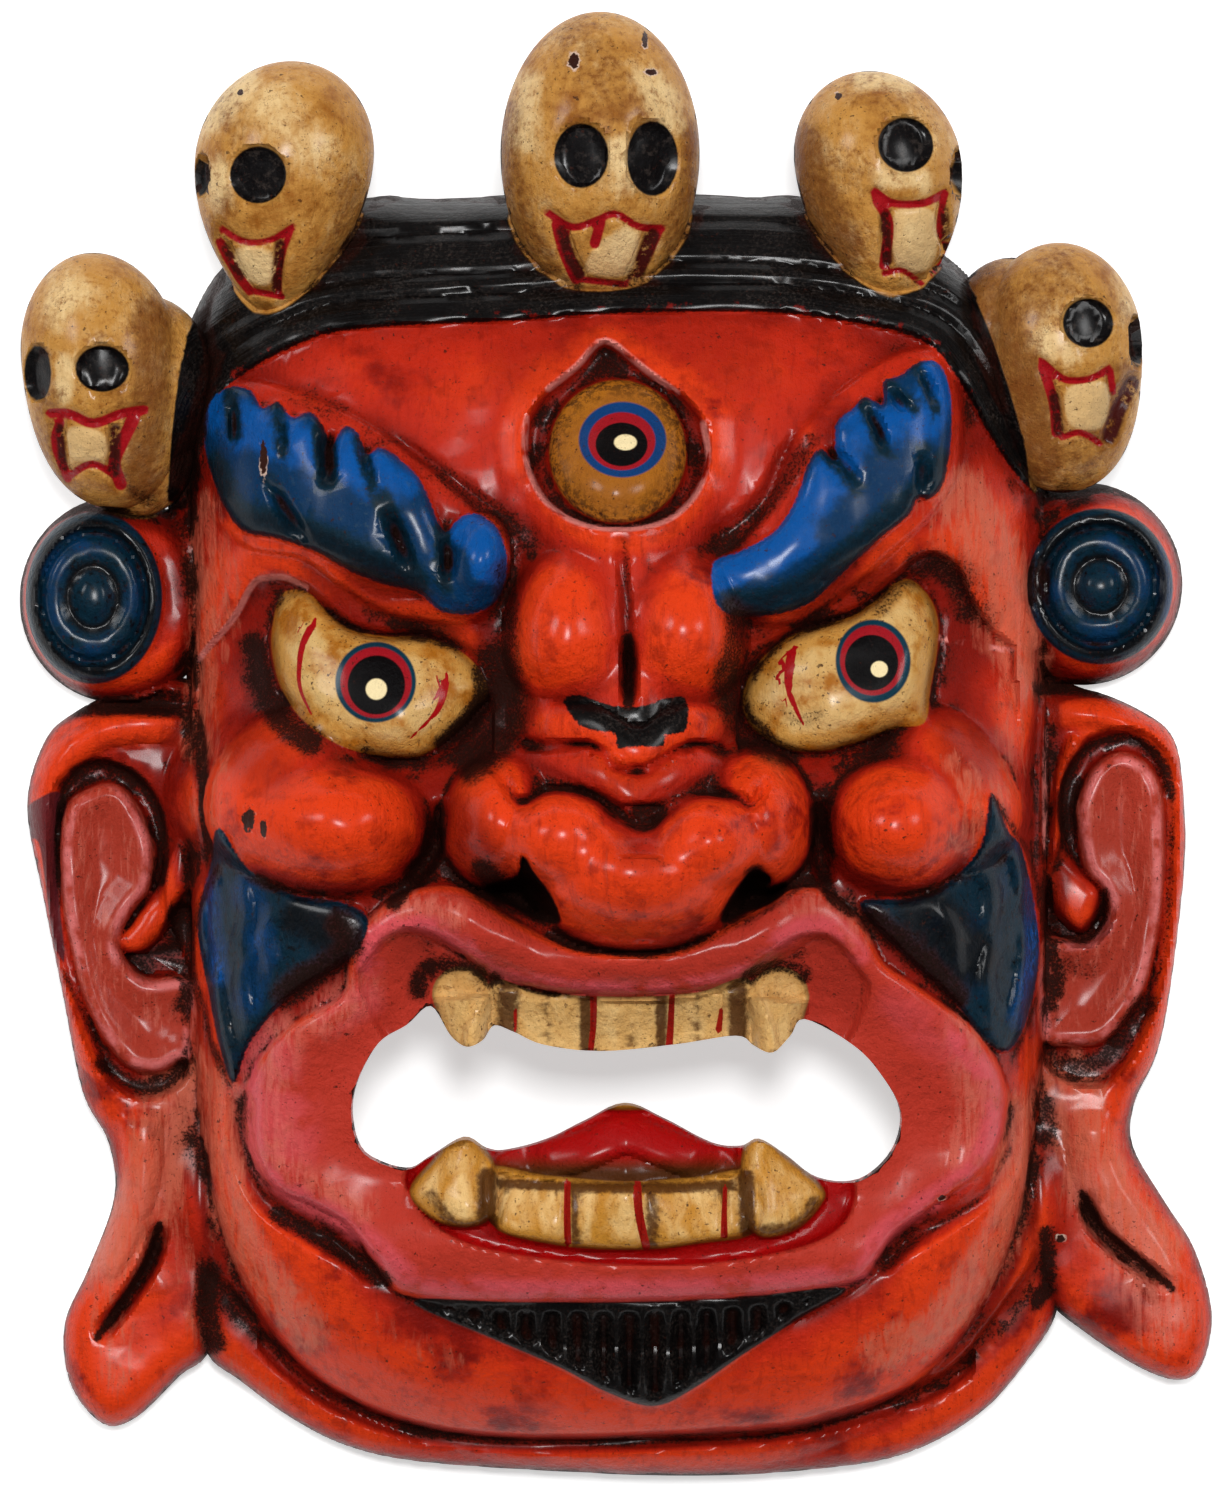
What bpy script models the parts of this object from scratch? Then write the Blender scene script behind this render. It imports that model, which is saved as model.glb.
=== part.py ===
# A wrathful protector's dance mask with a crown of five skulls, carved from one block of wood.
# It lies face up on its back rim. +X is the viewer's right, +Y the crown, +Z comes out of the face.
# Sizes are in millimetres, and MM turns them into metres. Heights are measured from the back rim.
import bmesh
import bpy
import numpy as np

MM = 0.001

# The block and the form of the head
GRID_STEP = 2.0
REACH_X = 154.37
LOWEST_Y = -186.43
HIGHEST_Y = 143.71
PLATE = 18.0            # height of the ears and the jaw band
CROWN = 67.0            # height along the middle of the face, which falls to the hair and the chin
HAIR_FALL = 23.0
CHIN_FALL = 29.0
CHEEK_FALL = 9.0
FACE_CENTRE = (0.5, -22.0)
FACE_HALF_WIDTH = 107.5
FACE_UP = 161.0
FACE_DOWN = 151.5
FACE_SQUARENESS_UP = 6.5
FACE_SQUARENESS_DOWN = 3.4
SIDE_SHARE = 0.40       # the share of the way in over which the side of the face rises
FRONT_EDGE = 7.0        # where the rounded front edge starts
EDGE_ROUND = 8.0
BACK_ROUND = 3.0
WALL = 14.0
THINNEST = 8.0
RIM = 15.0
NOSE_HOLLOW = 24.0
MOUTH_EXTRA = 6.0       # how much thicker the wall is round the mouth and behind the eyes
SKIN_STEP = 1.3
MASK_TRIANGLES = 9700
PRISM_LOW = -20.0
PRISM_HIGH = 140.0
THICKER = (((-58, 16), (50, 44)), ((58, 20), (50, 44)), ((2, -88), (104, 64)), ((0, 73), (40, 40)))
NOSE_HOLLOW_CENTRE = (4.0, -22.0)
NOSE_HOLLOW_RADII = (34.0, 30.0)
LOWEST_FRONT = 9.0      # the least height of the front before its edge is rounded
WALL_SLOPE = 0.9        # how far each side of its outline a carved wall slopes
WALL_SHARE = 0.4        # the share of a raised field's height that its wall takes
FOLD_TAPER = 0.08       # the share of a long fold's length over which its ends run out

HEAD = (
    (-60, 139), (-45, 138.3), (-4, 140.5), (32, 138.9), (46, 139), (64, 134.5), (86, 121.4), (97, 106),
    (106, 88), (109, 60), (108, 0), (108, -90), (110, -128), (111, -141), (105, -152), (92, -167),
    (73, -177.5), (50, -181.5), (20, -183.2), (-15, -182), (-50, -179.5), (-68, -175.5), (-82, -168.5),
    (-95, -159), (-103, -152.5), (-107, -138), (-107, -90), (-107, 0), (-113, 62), (-111.6, 92),
    (-106.6, 109), (-98, 122.5), (-82, 134),
)
EAR_LEFT = (
    (-104, 14), (-125, 14), (-137.4, 8.5), (-144.3, 1.3), (-148.4, -14.6), (-144.3, -37.4), (-139.4, -62),
    (-134.4, -86.6), (-128, -99), (-126.5, -113), (-133, -131), (-139, -145), (-137.5, -160), (-129.4, -170),
    (-121, -168.5), (-110, -158), (-102, -150), (-98, -120), (-98, -40),
)
EAR_RIGHT = (
    (104, 14), (118, 15), (133, 9), (140.5, 2), (142.8, -12), (143, -30), (139.5, -60), (136, -77),
    (130.5, -89), (130, -100), (138, -114), (145.5, -126), (149.9, -142), (147.5, -155), (142, -159),
    (132, -156), (118, -147), (108, -138), (100, -120), (100, -40),
)
BOSS_LEFT = {"centre": (-125.5, 37.5), "radii": (24.8, 26)}
BOSS_RIGHT = {"centre": (117.5, 41.5), "radii": (25, 25.5)}

HAIR_LINE = (
    (-108, 60), (-104, 74), (-101, 85), (-94, 92.5), (-80, 100), (-65, 104.1), (-25.6, 106.1), (-1.6, 107.9),
    (36, 108.4), (60, 105.4), (76.6, 101), (85, 91.5), (93, 77.5), (99, 69), (104, 64),
)
HAIR_BACK = ((125, 64), (125, 160), (-125, 160), (-125, 60))
HAIR_RISE = 3.4
HAIR_ROUND = 3.0
HAIR_NOTCHES = ((7.2, 2.0, 1.6), (12.5, 1.8, 1.3), (23.0, 2.2, 1.6))    # in from the line, half width, depth

THIRD_EYE_EDGE = (
    (-2.9, 100.5), (-10, 94), (-17, 88.5), (-21.5, 82), (-22.6, 73), (-19.8, 64.4), (-14.8, 58.5), (-8, 55.2),
    (0.5, 54), (10, 55.3), (16, 58.7), (20.6, 64.5), (22.7, 72), (21.5, 80.5), (16, 87.5), (7, 93.5),
)
THIRD_EYE_BALL = ((0.3, 73.4), (17.2, 18.2))
THIRD_EYE_SWELL = 1.6
THIRD_EYE_SINK = 5.6
THIRD_EYE_RISE = 9.0
THIRD_EYE_ROUND = 5.0
THIRD_EYE_SWELL_REACH = 9.0
THIRD_EYE_DOME = 0.85   # the share of the ball's radius over which it rounds off

BROW_MASS_LEFT = (
    (-106, 78), (-101, 90), (-92, 92), (-76, 87.5), (-60, 79.5), (-46, 69), (-34, 58.5), (-28.5, 50),
    (-28.5, 41), (-32, 33), (-40, 31), (-56, 33), (-68, 40), (-78, 47), (-92, 50), (-102, 60),
)
BROW_MASS_RIGHT = (
    (25, 46), (31, 51), (38, 62), (43, 75), (52, 86), (64, 95), (74, 99.5), (82, 98), (86, 86), (85, 70),
    (80, 60), (70, 50), (56, 38), (44, 31), (32, 31), (26, 36),
)
BROW_LEFT = (
    (-101.5, 86), (-96.5, 90), (-91, 89), (-88, 84.5), (-84, 86), (-80.5, 82), (-76, 83.3), (-72.5, 79.5),
    (-70.6, 75), (-67.3, 79.6), (-64, 78), (-61.5, 72.8), (-57.5, 74.2), (-49, 67), (-44.5, 57), (-42, 53.5),
    (-38.5, 57), (-34, 57.8), (-29, 53.5), (-27, 46), (-29, 37.5), (-35, 33.4), (-43, 33.8), (-49, 38.5),
    (-57.6, 40.6), (-65.8, 43.8), (-74.4, 48.7), (-84, 52), (-94, 55), (-100.5, 67), (-103, 78),
)
BROW_RIGHT = (
    (23.6, 44.5), (25, 46.8), (31, 48.8), (39.5, 54), (44.3, 61.5), (47.2, 70), (50.3, 74), (54, 71.5),
    (54.2, 80), (58.5, 84), (61.5, 87), (66, 85), (66.2, 91), (70, 92.3), (75, 95.8), (79.8, 95.5),
    (82.6, 89), (83, 78), (81, 66), (77.5, 61.8), (74.5, 62), (72, 57.5), (64.8, 51.7), (54.6, 42.1),
    (47, 35.5), (37, 32.8), (28, 33), (24.6, 35.5), (23.6, 40),
)
BROW_MASS_RISE = 3.5
BROW_RISE = 6.0
BROW_ROUND = 7.3
BROW_SLOT_TAPER = 0.45
BROW_CURL = ((-34, 46), (8, 12.5, 12.5), 64, 79, -8, 1.0)
BROW_SLOTS = (          # three points, half width, depth
    ((-96, 88.5), (-95, 80), (-95.3, 73), 1.7, 4.0),
    ((-84, 86), (-82, 78), (-83, 70), 1.5, 2.2),
    ((-72.5, 79.5), (-71, 71), (-72, 63.5), 2.6, 5.5),
    ((-64, 77), (-61, 69), (-59.5, 63), 1.6, 2.4),
    ((-86, 66.5), (-82, 59), (-76.5, 51), 2.8, 3.8),
    ((-57.5, 60.8), (-54, 52), (-49.5, 41.5), 2.8, 5.0),
    ((-43, 54), (-41.5, 47), (-42.5, 40), 2.3, 4.5),
    ((50.5, 74), (56, 71), (60, 64), 2.0, 3.0),
    ((61, 85.5), (65, 79), (66.5, 72.5), 1.8, 4.2),
    ((67.5, 90), (70.5, 85), (74, 84), 1.9, 3.2),
    ((74, 95), (77.5, 90), (79, 84), 1.8, 3.2),
    ((76, 74), (75.6, 67), (75, 61.5), 2.4, 3.8),
)
BROW_CREASES = (        # points, half width, depth
    (((-58, 79), (-46, 71), (-35, 62.5), (-26.5, 56), (-23, 49)), 1.6, 0.9),
    (((-89, 68), (-82, 60), (-74, 48)), 1.6, 1.2),
    (((21, 48.5), (28, 53.5), (37, 61), (42, 71), (47, 79)), 4.0, 2.4),
)

SOCKETS = (((-66, 18), (46, 32), -20), ((64, 21), (44, 32), 20))
SOCKET_SINK = 8.0
EYE_LEFT = (
    (-83.5, 38.5), (-85.8, 30.3), (-85.8, 23.8), (-83.7, 15.6), (-78.8, 8), (-71.2, 2.1), (-63, -1.2),
    (-54.9, -2.4), (-48.4, -2), (-42, 2.2), (-36.5, 7.5), (-31.6, 13.5), (-33.5, 19.2), (-38, 23.8),
    (-43.5, 26.6), (-50, 28), (-57.6, 28), (-65.8, 29.8), (-71.2, 33.6), (-77.1, 39.2),
)
EYE_RIGHT = (
    (31, 13), (33.2, 19), (38.2, 24.6), (45, 29), (53.8, 31.6), (59.2, 33.6), (64.7, 37.4), (69, 41.2),
    (73.2, 42), (77.6, 38), (80, 32), (79.7, 24), (78, 15), (76.4, 6.4), (69.5, 4.9), (60, 1.5), (51, -0.8),
    (42.5, -0.4), (36, 2.9), (32, 7.3),
)
EYE_BALLS = (((-60.5, 15.5), (33, 25), -18), ((58, 19.5), (32, 25), 22))
EYE_RISE = 13.5
EYE_ROUND = 9.0
EYE_CREASE = 1.2
EYE_CREASE_REACH = 2.5
EYE_LID_SINK = 4.2      # the step down along a lid's edge
EYE_LID_FADE = (5.0, 26.0)      # the step is full near the edge, and gone by here
EYE_LIDS = (                # the edge of each lid, and the corners that close the sunk place under it
    (((-104.8, 22.1), (-102, 25.4), (-95.6, 32.4), (-90.7, 40.6), (-87.4, 42.4), (-82, 42.4), (-77.1, 40),
      (-71.2, 34.1), (-65.8, 30.3), (-57.6, 28.4), (-49.5, 28.6), (-42.4, 26.7), (-37, 22.7), (-32.7, 17.3),
      (-30.5, 9.7)), ((-30, -40), (-108, -40))),
    (((29.8, 10), (31, 15), (33.5, 20.3), (38.4, 25.4), (45, 29.7), (53.8, 32.2), (59.2, 34.2), (64.7, 38),
      (69, 42), (72.9, 46.3), (77.8, 48.5), (82.2, 47.4), (85.5, 44), (88, 38), (93.1, 30.3), (99.2, 25.3)),
     ((104, -40), (30, -40))),
)
EYE_STRIPS = (              # the plump strip over each lid's edge: points, half width, height
    (((-34, 22), (-41, 30), (-50, 32.5), (-60, 33), (-69, 38), (-76, 44)), 4.5, 1.6),
    (((31, 22), (40, 30.5), (51, 36), (60, 40), (68, 49)), 4.5, 1.6),
)

NOSE_RIDGE = ((1, 60), (2, 30), (3, 0), (4, -24))
NOSE_RIDGE_HALF = (24, 34)      # half width at its top and at its tip
NOSE_RIDGE_RISE = (11, 20)
FROWN_LUMPS = (
    ((-12.2, 26.5), (16.5, 18, 24), 56, 87, 0, 9),
    ((17.2, 26.5), (15.8, 17.6, 24), 56, 87, 0, 9),
)
FROWN_FOLDS = (         # points, half width, depth, taper
    (((0.5, 55), (1.5, 44), (2.4, 34), (2.8, 22), (3, 10)), 2.0, 2.0, 0.3),
    (((2.8, 29), (3, 20), (3, 9)), 2.6, 8.0, 0.4),
    (((-28, 46), (-28, 30), (-27, 18), (-29, 6)), 8, 1.6, 0.3),
    (((30, 44), (30.5, 28), (28, 16), (29, 6)), 8, 1.8, 0.3),
)
NOSE_ROLLS = (          # points, half width, height
    (((-25, 8), (-16, 5.5), (-7, 5), (2, 0.5), (9, 0.5), (17, 5.5), (29, 3)), 6.0, 5),
    (((-35, 1), (-24, -4.5), (-14, -5), (-5, -6.5), (4, -11.5), (11, -9.5), (19, -5.5), (28, -6), (38, -1)),
     6.4, 5.5),
)
NOSE_LUMPS = (
    ((-28.5, -19), (15.5, 17, 18), 58, 94, -6, 10),
    ((34.5, -18), (15, 18, 18.5), 58, 94, 6, 10),
    ((4.8, -31), (29, 19.6, 19.5), 62, 107, 0, 8),
    ((-14, -22), (14, 12, 12), 84, 103.5, 10, 8),
    ((21.5, -23), (14, 12, 12), 84, 103.5, -8, 8),
)
NOSE_FOLDS = (
    (((5.5, -13), (5.6, -20), (5.6, -27)), 7, 4),
    (((-25.1, 3.4), (-21.7, 0.8), (-14, 0.6), (-7.5, 0.8), (-4, -0.8), (0.1, -4.4), (5.9, -5.4), (10.5, -3.5),
      (15.1, -0.6), (19.7, 0.9), (24.3, -0.1), (29, -2)), 1.8, 3.6),
    (((-36.6, -2.3), (-30.9, -4.1), (-27.4, -8.1), (-25.1, -12.1), (-21.7, -12.9), (-17.1, -10.6),
      (-7.9, -11), (-2.2, -13.3), (2.4, -17.3), (7, -18.9), (12.2, -16.1), (18.5, -12.7), (24.2, -11.5),
      (29.4, -11.8), (32.9, -13.9), (35.2, -11.5), (38, -5.2)), 1.9, 3.8),
)
NOSTRILS = (
    ((-23, -26.5), (-24.5, -31.5), (-32.4, -34.6), (-23, -40.4), (-14.3, -43), (-15.6, -37), (-19.8, -31)),
    ((33.6, -29.8), (37.8, -31.8), (37, -34.8), (41.5, -34), (38.2, -38), (30, -41), (26.2, -42.8),
     (26.6, -39.4), (29.6, -34.5)),
)
NOSTRIL_DEPTH = 16.0
NOSTRIL_ROUND = 4.0

CHEEK_LUMPS = (
    ((-80, -18), (24, 17, 30), 44, 74, -20, 9),
    ((82, -17), (19, 16, 30), 42, 71, 20, 9),
    ((-68.5, -18.5), (27, 20.5, 18), 42, 84.5, -6, 7),
    ((69, -19), (20.5, 19.5, 19), 42, 84, 4, 7),
)
CHEEK_FOLDS = (          # points, half width, depth
    (((-42, -12), (-45, -24), (-52, -34)), 3.4, 6),
    (((50, -12), (50, -24), (52, -34)), 3.0, 6),
)

WHISKER_LEFT = (
    (-98.5, -19.5), (-101.5, -30), (-104.8, -44), (-102, -60), (-99, -74), (-95.4, -83.5), (-91, -73),
    (-82, -62.5), (-73, -56.5), (-64, -50), (-61.5, -42), (-68, -38), (-80, -36), (-91, -30),
)
WHISKER_RIGHT = (
    (92.6, -11), (97, -20.5), (101, -25), (105, -42), (105.5, -55), (102, -69), (97, -75.5), (91, -72),
    (83, -62), (72, -52), (60, -38.5), (72, -37), (82, -33), (90, -24),
)
WHISKER_RISE = 4.0
WHISKER_ROUND = 4.0
STRAND_TAPER = 0.3
STRAND_POWER = 0.8
WHISKER_STRANDS = (     # points, half width, height
    (((-99.5, -26), (-103.5, -40), (-101, -52)), 3.4, 2.6),
    (((-102.5, -50), (-99.5, -66), (-96, -81)), 3.0, 2.4),
    (((-95, -31), (-92, -41), (-96, -54)), 2.6, 1.8),
    (((-90, -46), (-93.5, -58), (-91, -70)), 2.6, 2.0),
    (((-82, -38), (-87, -46), (-84, -57)), 2.6, 1.5),
    (((95, -17), (100.5, -28), (103, -40)), 3.2, 2.8),
    (((103.5, -38), (102.5, -54), (98.5, -72)), 3.0, 2.6),
    (((88, -27), (93.5, -36), (91, -49)), 2.8, 2.0),
    (((95.5, -45), (92, -57), (95.5, -69)), 2.8, 2.0),
    (((77, -38), (83, -45), (84, -58)), 2.6, 1.6),
)

MOUTH = (
    (-46, -63.8), (-52, -68.5), (-59, -73), (-64.5, -83), (-65.6, -92), (-62.5, -100.5), (-52.5, -104.4),
    (-46.5, -101.5), (-38, -96.6), (-32.5, -99.3), (-27.5, -99.8), (-17.4, -97.1), (-8, -92.5), (2, -88.1),
    (12, -92), (23.4, -97.9), (30.8, -98.9), (35.4, -97.1), (42, -101), (50.1, -106.8), (60.4, -107.2),
    (68.5, -100), (70.5, -90), (65, -80), (58, -73), (46.5, -67), (43, -71), (38.6, -75), (34, -73.5),
    (29.5, -71), (14.1, -73.2), (-4, -74.8), (-18, -73.2), (-25.5, -70), (-30.3, -68.5), (-33, -72),
    (-37, -73.6), (-41, -71),
)
LIPS = (
    (-38, -34.5), (-50, -35), (-60, -41), (-65.5, -51), (-68, -61), (-80, -68), (-89, -78), (-92.8, -90),
    (-91, -101), (-85, -109), (-73, -114.5), (-65, -120), (-58, -131), (-49, -136.5), (-15, -137.3),
    (25, -136.3), (56, -133), (64, -128), (69, -120.5), (81, -112), (92, -103.5), (97.3, -91), (95.5, -80),
    (88, -69), (76, -60), (66, -53), (61, -44), (52, -35.5), (42, -35), (30, -42), (17, -49), (5, -50.7),
    (-11, -49), (-25, -42.5),
)
LIPS_RISE = 8.0
LIPS_ROUND = 6.5
UPPER_LIP = ((-52, -39), (-42, -40.5), (-30, -46), (-15, -52.5), (5, -55), (20, -53.5), (33, -47.5),
             (45, -40.5), (53, -39.5))
UPPER_LIP_HALF = 8.0
UPPER_LIP_RISE = 6.0
MOUTH_DISH = 24.0       # how far out from the mouth its edge falls
MOUTH_DISH_DEPTH = 10.0
GUMS_ABOVE = (
    (-63, -60), (-61, -51.5), (-56, -46), (-50, -44.5), (-43, -46.5), (-36, -51.5), (-30, -56.3), (-18, -59),
    (0, -60.3), (18, -59.5), (29, -56.5), (37, -51), (45, -46), (53, -46.5), (59, -53), (62, -62),
    (48, -80), (0, -85), (-48, -80),
)
GUMS_BELOW = (
    (-52.5, -106), (-50.5, -112), (-46.2, -117), (-37.9, -122), (-26, -125), (-10, -127), (4, -127.8),
    (20, -127.6), (36, -125.6), (50, -122), (57.3, -116.5), (59, -108), (52, -103), (30, -94), (2, -82),
    (-30, -94), (-48, -101),
)
GUM_DEPTH = 5.0
GUM_ROUND = 2.5
JAW_ROLL = (
    (-98, -60), (-98, -88), (-97, -108), (-88, -127), (-72, -144), (-48, -156), (-20, -164), (10, -166),
    (40, -162), (64, -152), (84, -135), (97, -115), (101, -88), (101, -60),
)
JAW_ROLL_HALF = 17.0
JAW_ROLL_RISE = 6.0
JAW_ROLL_FADE = (-84.0, -118.0)
MOUTH_FOLDS = (          # points, half width, depth
    (((-93, -84), (-92.6, -100), (-87, -112), (-76, -119.8), (-66, -125), (-58, -132)), 4.5, 4.0),
    (((98.5, -86), (97.8, -102), (91, -111.5), (80, -118.5), (71, -123.5), (64, -130)), 3.6, 3.0),
    (((-103.5, -128), (-98, -137), (-89.9, -147.1), (-75.1, -160.9), (-55.3, -169.9), (-30.6, -173.8),
      (-4, -174), (23.1, -172.4), (47.9, -170), (77.6, -161.1), (90.4, -152.1), (103.3, -134.4),
      (108.3, -122)), 3.2, 3.6),
)

TEETH_UPPER = (               # middle, half width, low, high
    (-26.6, 3.0, -82, -59.5), (-15.2, 8.2, -82, -60.8), (3.0, 8.4, -82, -61.5), (19.6, 6.2, -82, -60.5),
    (29.4, 3.0, -82, -59.5),
)
TEETH_LOWER = ((-21, 8.1, -106.2), (-3.2, 9.1, -107.3), (16.4, 10.0, -107.2), (29.6, 2.6, -108))
TEETH_UPPER_ROW = ((-32, -58.5), (-18, -60.4), (3, -61.3), (20, -60.2), (34, -58), (36, -86), (-34, -86))
TEETH_LOWER_ROW = ((-32, -104), (-31, -117.5), (-18, -122.2), (2, -124), (20, -122.4), (35, -119), (34, -105),
             (20, -106), (2, -107), (-18, -105.5))
TEETH_ROW_RISE = 4.0
TEETH_UPPER_RISE = 1.6
TEETH_LOWER_RISE = 2.2
TEETH_LOWER_FOOT = -124.3
TEETH_LOWER_BEND = 0.0045
TEETH_ROUND = 3.5
FANG_TIP = 0.45
FANG_TAPER = 0.06
FANGS = (               # three points, half width, height
    ((-38.4, -61), (-37.8, -67), (-36.4, -80), 7.6, 8.0),
    ((40.2, -61.5), (39.8, -67), (38.6, -81), 7.9, 8.0),
)
CANINE_LEFT = (
    (-51.2, -109.5), (-45.6, -102), (-38, -95), (-32.6, -99), (-29.8, -105), (-31, -116), (-38.8, -118.5),
    (-46.5, -115.8),
)
CANINE_RIGHT = (
    (31, -108), (31.5, -99), (35.8, -95.5), (41, -100), (51.2, -109), (50, -114), (45, -118.8),
    (37, -121), (33, -118),
)
CANINE_RISE = 11.0
CANINE_ROUND = 9.0

TONGUE = (
    (-31, -101.5), (-17.4, -95), (-4.4, -88.6), (2.1, -84), (9.5, -89.5), (23.4, -95.9), (31, -101.5),
    (27, -106), (0, -107), (-26, -106),
)
TONGUE_CREST = ((-23, -103.2), (-9, -99.5), (2, -95.5), (13, -99), (25, -104))
TONGUE_RISE = 4.0
TONGUE_ROUND = 5.0

BEARD = (
    (-51, -137), (-25, -137.2), (5, -137.3), (30, -136.2), (57, -133.8), (45, -142), (31, -151),
    (19, -159.5), (9.3, -164), (-2, -160.5), (-14, -154), (-31, -146.5),
)
BEARD_RISE = 2.5
BEARD_ROUND = 3.0
BEARD_PITCH = 6.4
BEARD_DEPTH = 3.4

EAR_BOWLS = (           # the dark groove's outer edge
    ((-142.5, -26), (-141.4, -11), (-136.5, -5), (-130.9, -2.6), (-126, -3.4), (-120, -6.8), (-115, -13),
     (-112.8, -22), (-113.2, -33), (-112, -44), (-107, -58), (-107, -78), (-110, -85), (-118, -88),
     (-126, -85), (-131.5, -78), (-136, -67), (-140, -53), (-142, -40)),
    ((111, -22), (110.8, -12), (113, -4), (118.5, 2.6), (125.5, 5), (132, 4.4), (138, -0.5), (141, -8),
     (141, -25), (140.2, -42), (138, -56), (134.5, -68), (129, -78.5), (122, -84.5), (113.5, -84),
     (107.5, -77), (106.5, -50), (107, -38)),
)
EAR_BOWL_DEPTH = 6.0
EAR_BOWL_ROUND = 2.5
EAR_PADS = (            # the smooth cushion inside it
    ((-139.8, -20), (-137.9, -13.5), (-133.7, -10.4), (-128, -8.6), (-123.2, -10.4), (-119.4, -15.6),
     (-116.4, -22.6), (-115.8, -29), (-117.5, -35.9), (-122, -42), (-124.5, -50), (-118, -57.5),
     (-106, -58), (-106, -77), (-109.8, -79), (-114, -81.3), (-118.9, -81.5), (-123.1, -80), (-127.4, -75.4),
     (-131, -69.6), (-134.6, -61.2), (-136.9, -52), (-139, -42), (-140, -30)),
    ((115.3, -17), (116.3, -11.4), (119.8, -4.5), (125.5, -1), (130.6, -1.7), (135.3, -5.9), (137.5, -12),
     (137.9, -24), (137.5, -38), (135.6, -50), (132.6, -61), (127.6, -69), (121.9, -74), (114.9, -74.8),
     (106, -72), (106, -49), (113, -47.5), (120, -46), (123, -40), (121.5, -35), (117.5, -30)),
)
EAR_PAD_RISE = 6.0
EAR_PAD_ROUND = 3.4
EAR_PAD_DISH = 3.0      # how far the middle of the cushion lies below its edge
EAR_PAD_DISHED = (2.5, 11.0)    # where the dish begins and where it is full, in from the edge
EAR_FLAPS = (
    ((-109, -20), (-113.6, -31), (-117.5, -37.5), (-121.5, -43.4), (-125, -48), (-122.8, -51.4),
     (-118.2, -50.4), (-114, -46.2), (-110.2, -38.6), (-106, -34)),
    ((113.8, 3), (110.6, -5), (109.2, -16), (108.4, -30), (109, -36), (111, -41.5), (114.5, -45.2),
     (117.2, -45.8), (120.4, -40.6), (121.4, -35.8), (117.7, -31.6), (113.8, -26.6), (111.4, -18),
     (112.4, -8), (116.5, 0)),
)
EAR_FLAP_RISE = 5.0
EAR_FLAP_ROUND = 4.0
EAR_NOTCH = ((-110.2, -39.2), (-114, -46.6), (-118.2, -50.9), (-123.3, -52), (-118.9, -57), (-113.5, -56),
          (-105, -58), (-105, -42))
EAR_NOTCH_DEPTH = 7.0
EAR_NOTCH_ROUND = 3.0
EAR_ROLL_TAPER = 0.12
EAR_ROLL_POWER = 0.6
EAR_ROLLS = (           # points, half width, height, how wide the last end is beside the first
    (((-104, 5), (-122, 5.5), (-135, 1), (-142.8, -9), (-144, -30), (-140.5, -52), (-135, -72), (-126, -91)),
     4.5, 3, 0.7),
    (((-120, -90), (-119, -104), (-123, -120), (-130, -134)), 6, 2.5, 0.6),
    (((106, 9), (122, 10), (134, 5), (141, -6), (141.8, -30), (139.5, -52), (134.5, -74), (124, -89)),
     4.5, 3, 0.7),
    (((120, -90), (120, -104), (130, -122), (140, -138)), 7, 2.5, 0.8),
)
EAR_FOLDS = (           # points, half width, depth
    (((-114, -118), (-118, -131), (-131, -149)), 3, 7),
    (((106.5, -29), (107, -38), (110.5, -44.5), (116.5, -48), (121.5, -45), (123.6, -38)), 2.4, 6),
    (((116.5, -110), (122, -122), (140, -136.5)), 3, 7),
    (((-104, 11), (-118, 11.5), (-134, 11.5)), 4, 5),
    (((104, 16), (113, 16), (124, 16.5)), 4, 5),
)
EAR_JOIN = 4.0          # the rise of the face's side over which an ear meets it
EAR_INNER = 90.0        # the ears lie further out than this

BOSS_LEVEL = 17.0
BOSS_RISE = 8.0
DISC_LEFT = ((-131, 37.8), (17.4, 21.7))
DISC_RIGHT = ((121.1, 40.6), (18.5, 19.6))
DISC_RISE = 3.4
DISC_GROOVE = (0.80, 0.71)      # from the ring's inner edge to the inner dome's edge, as shares of the disc
DISC_DIMPLE = (0.36, 0.13)
DISC_DIMPLE_DEPTH = 1.4
DISC_KNOB = 0.23

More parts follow.
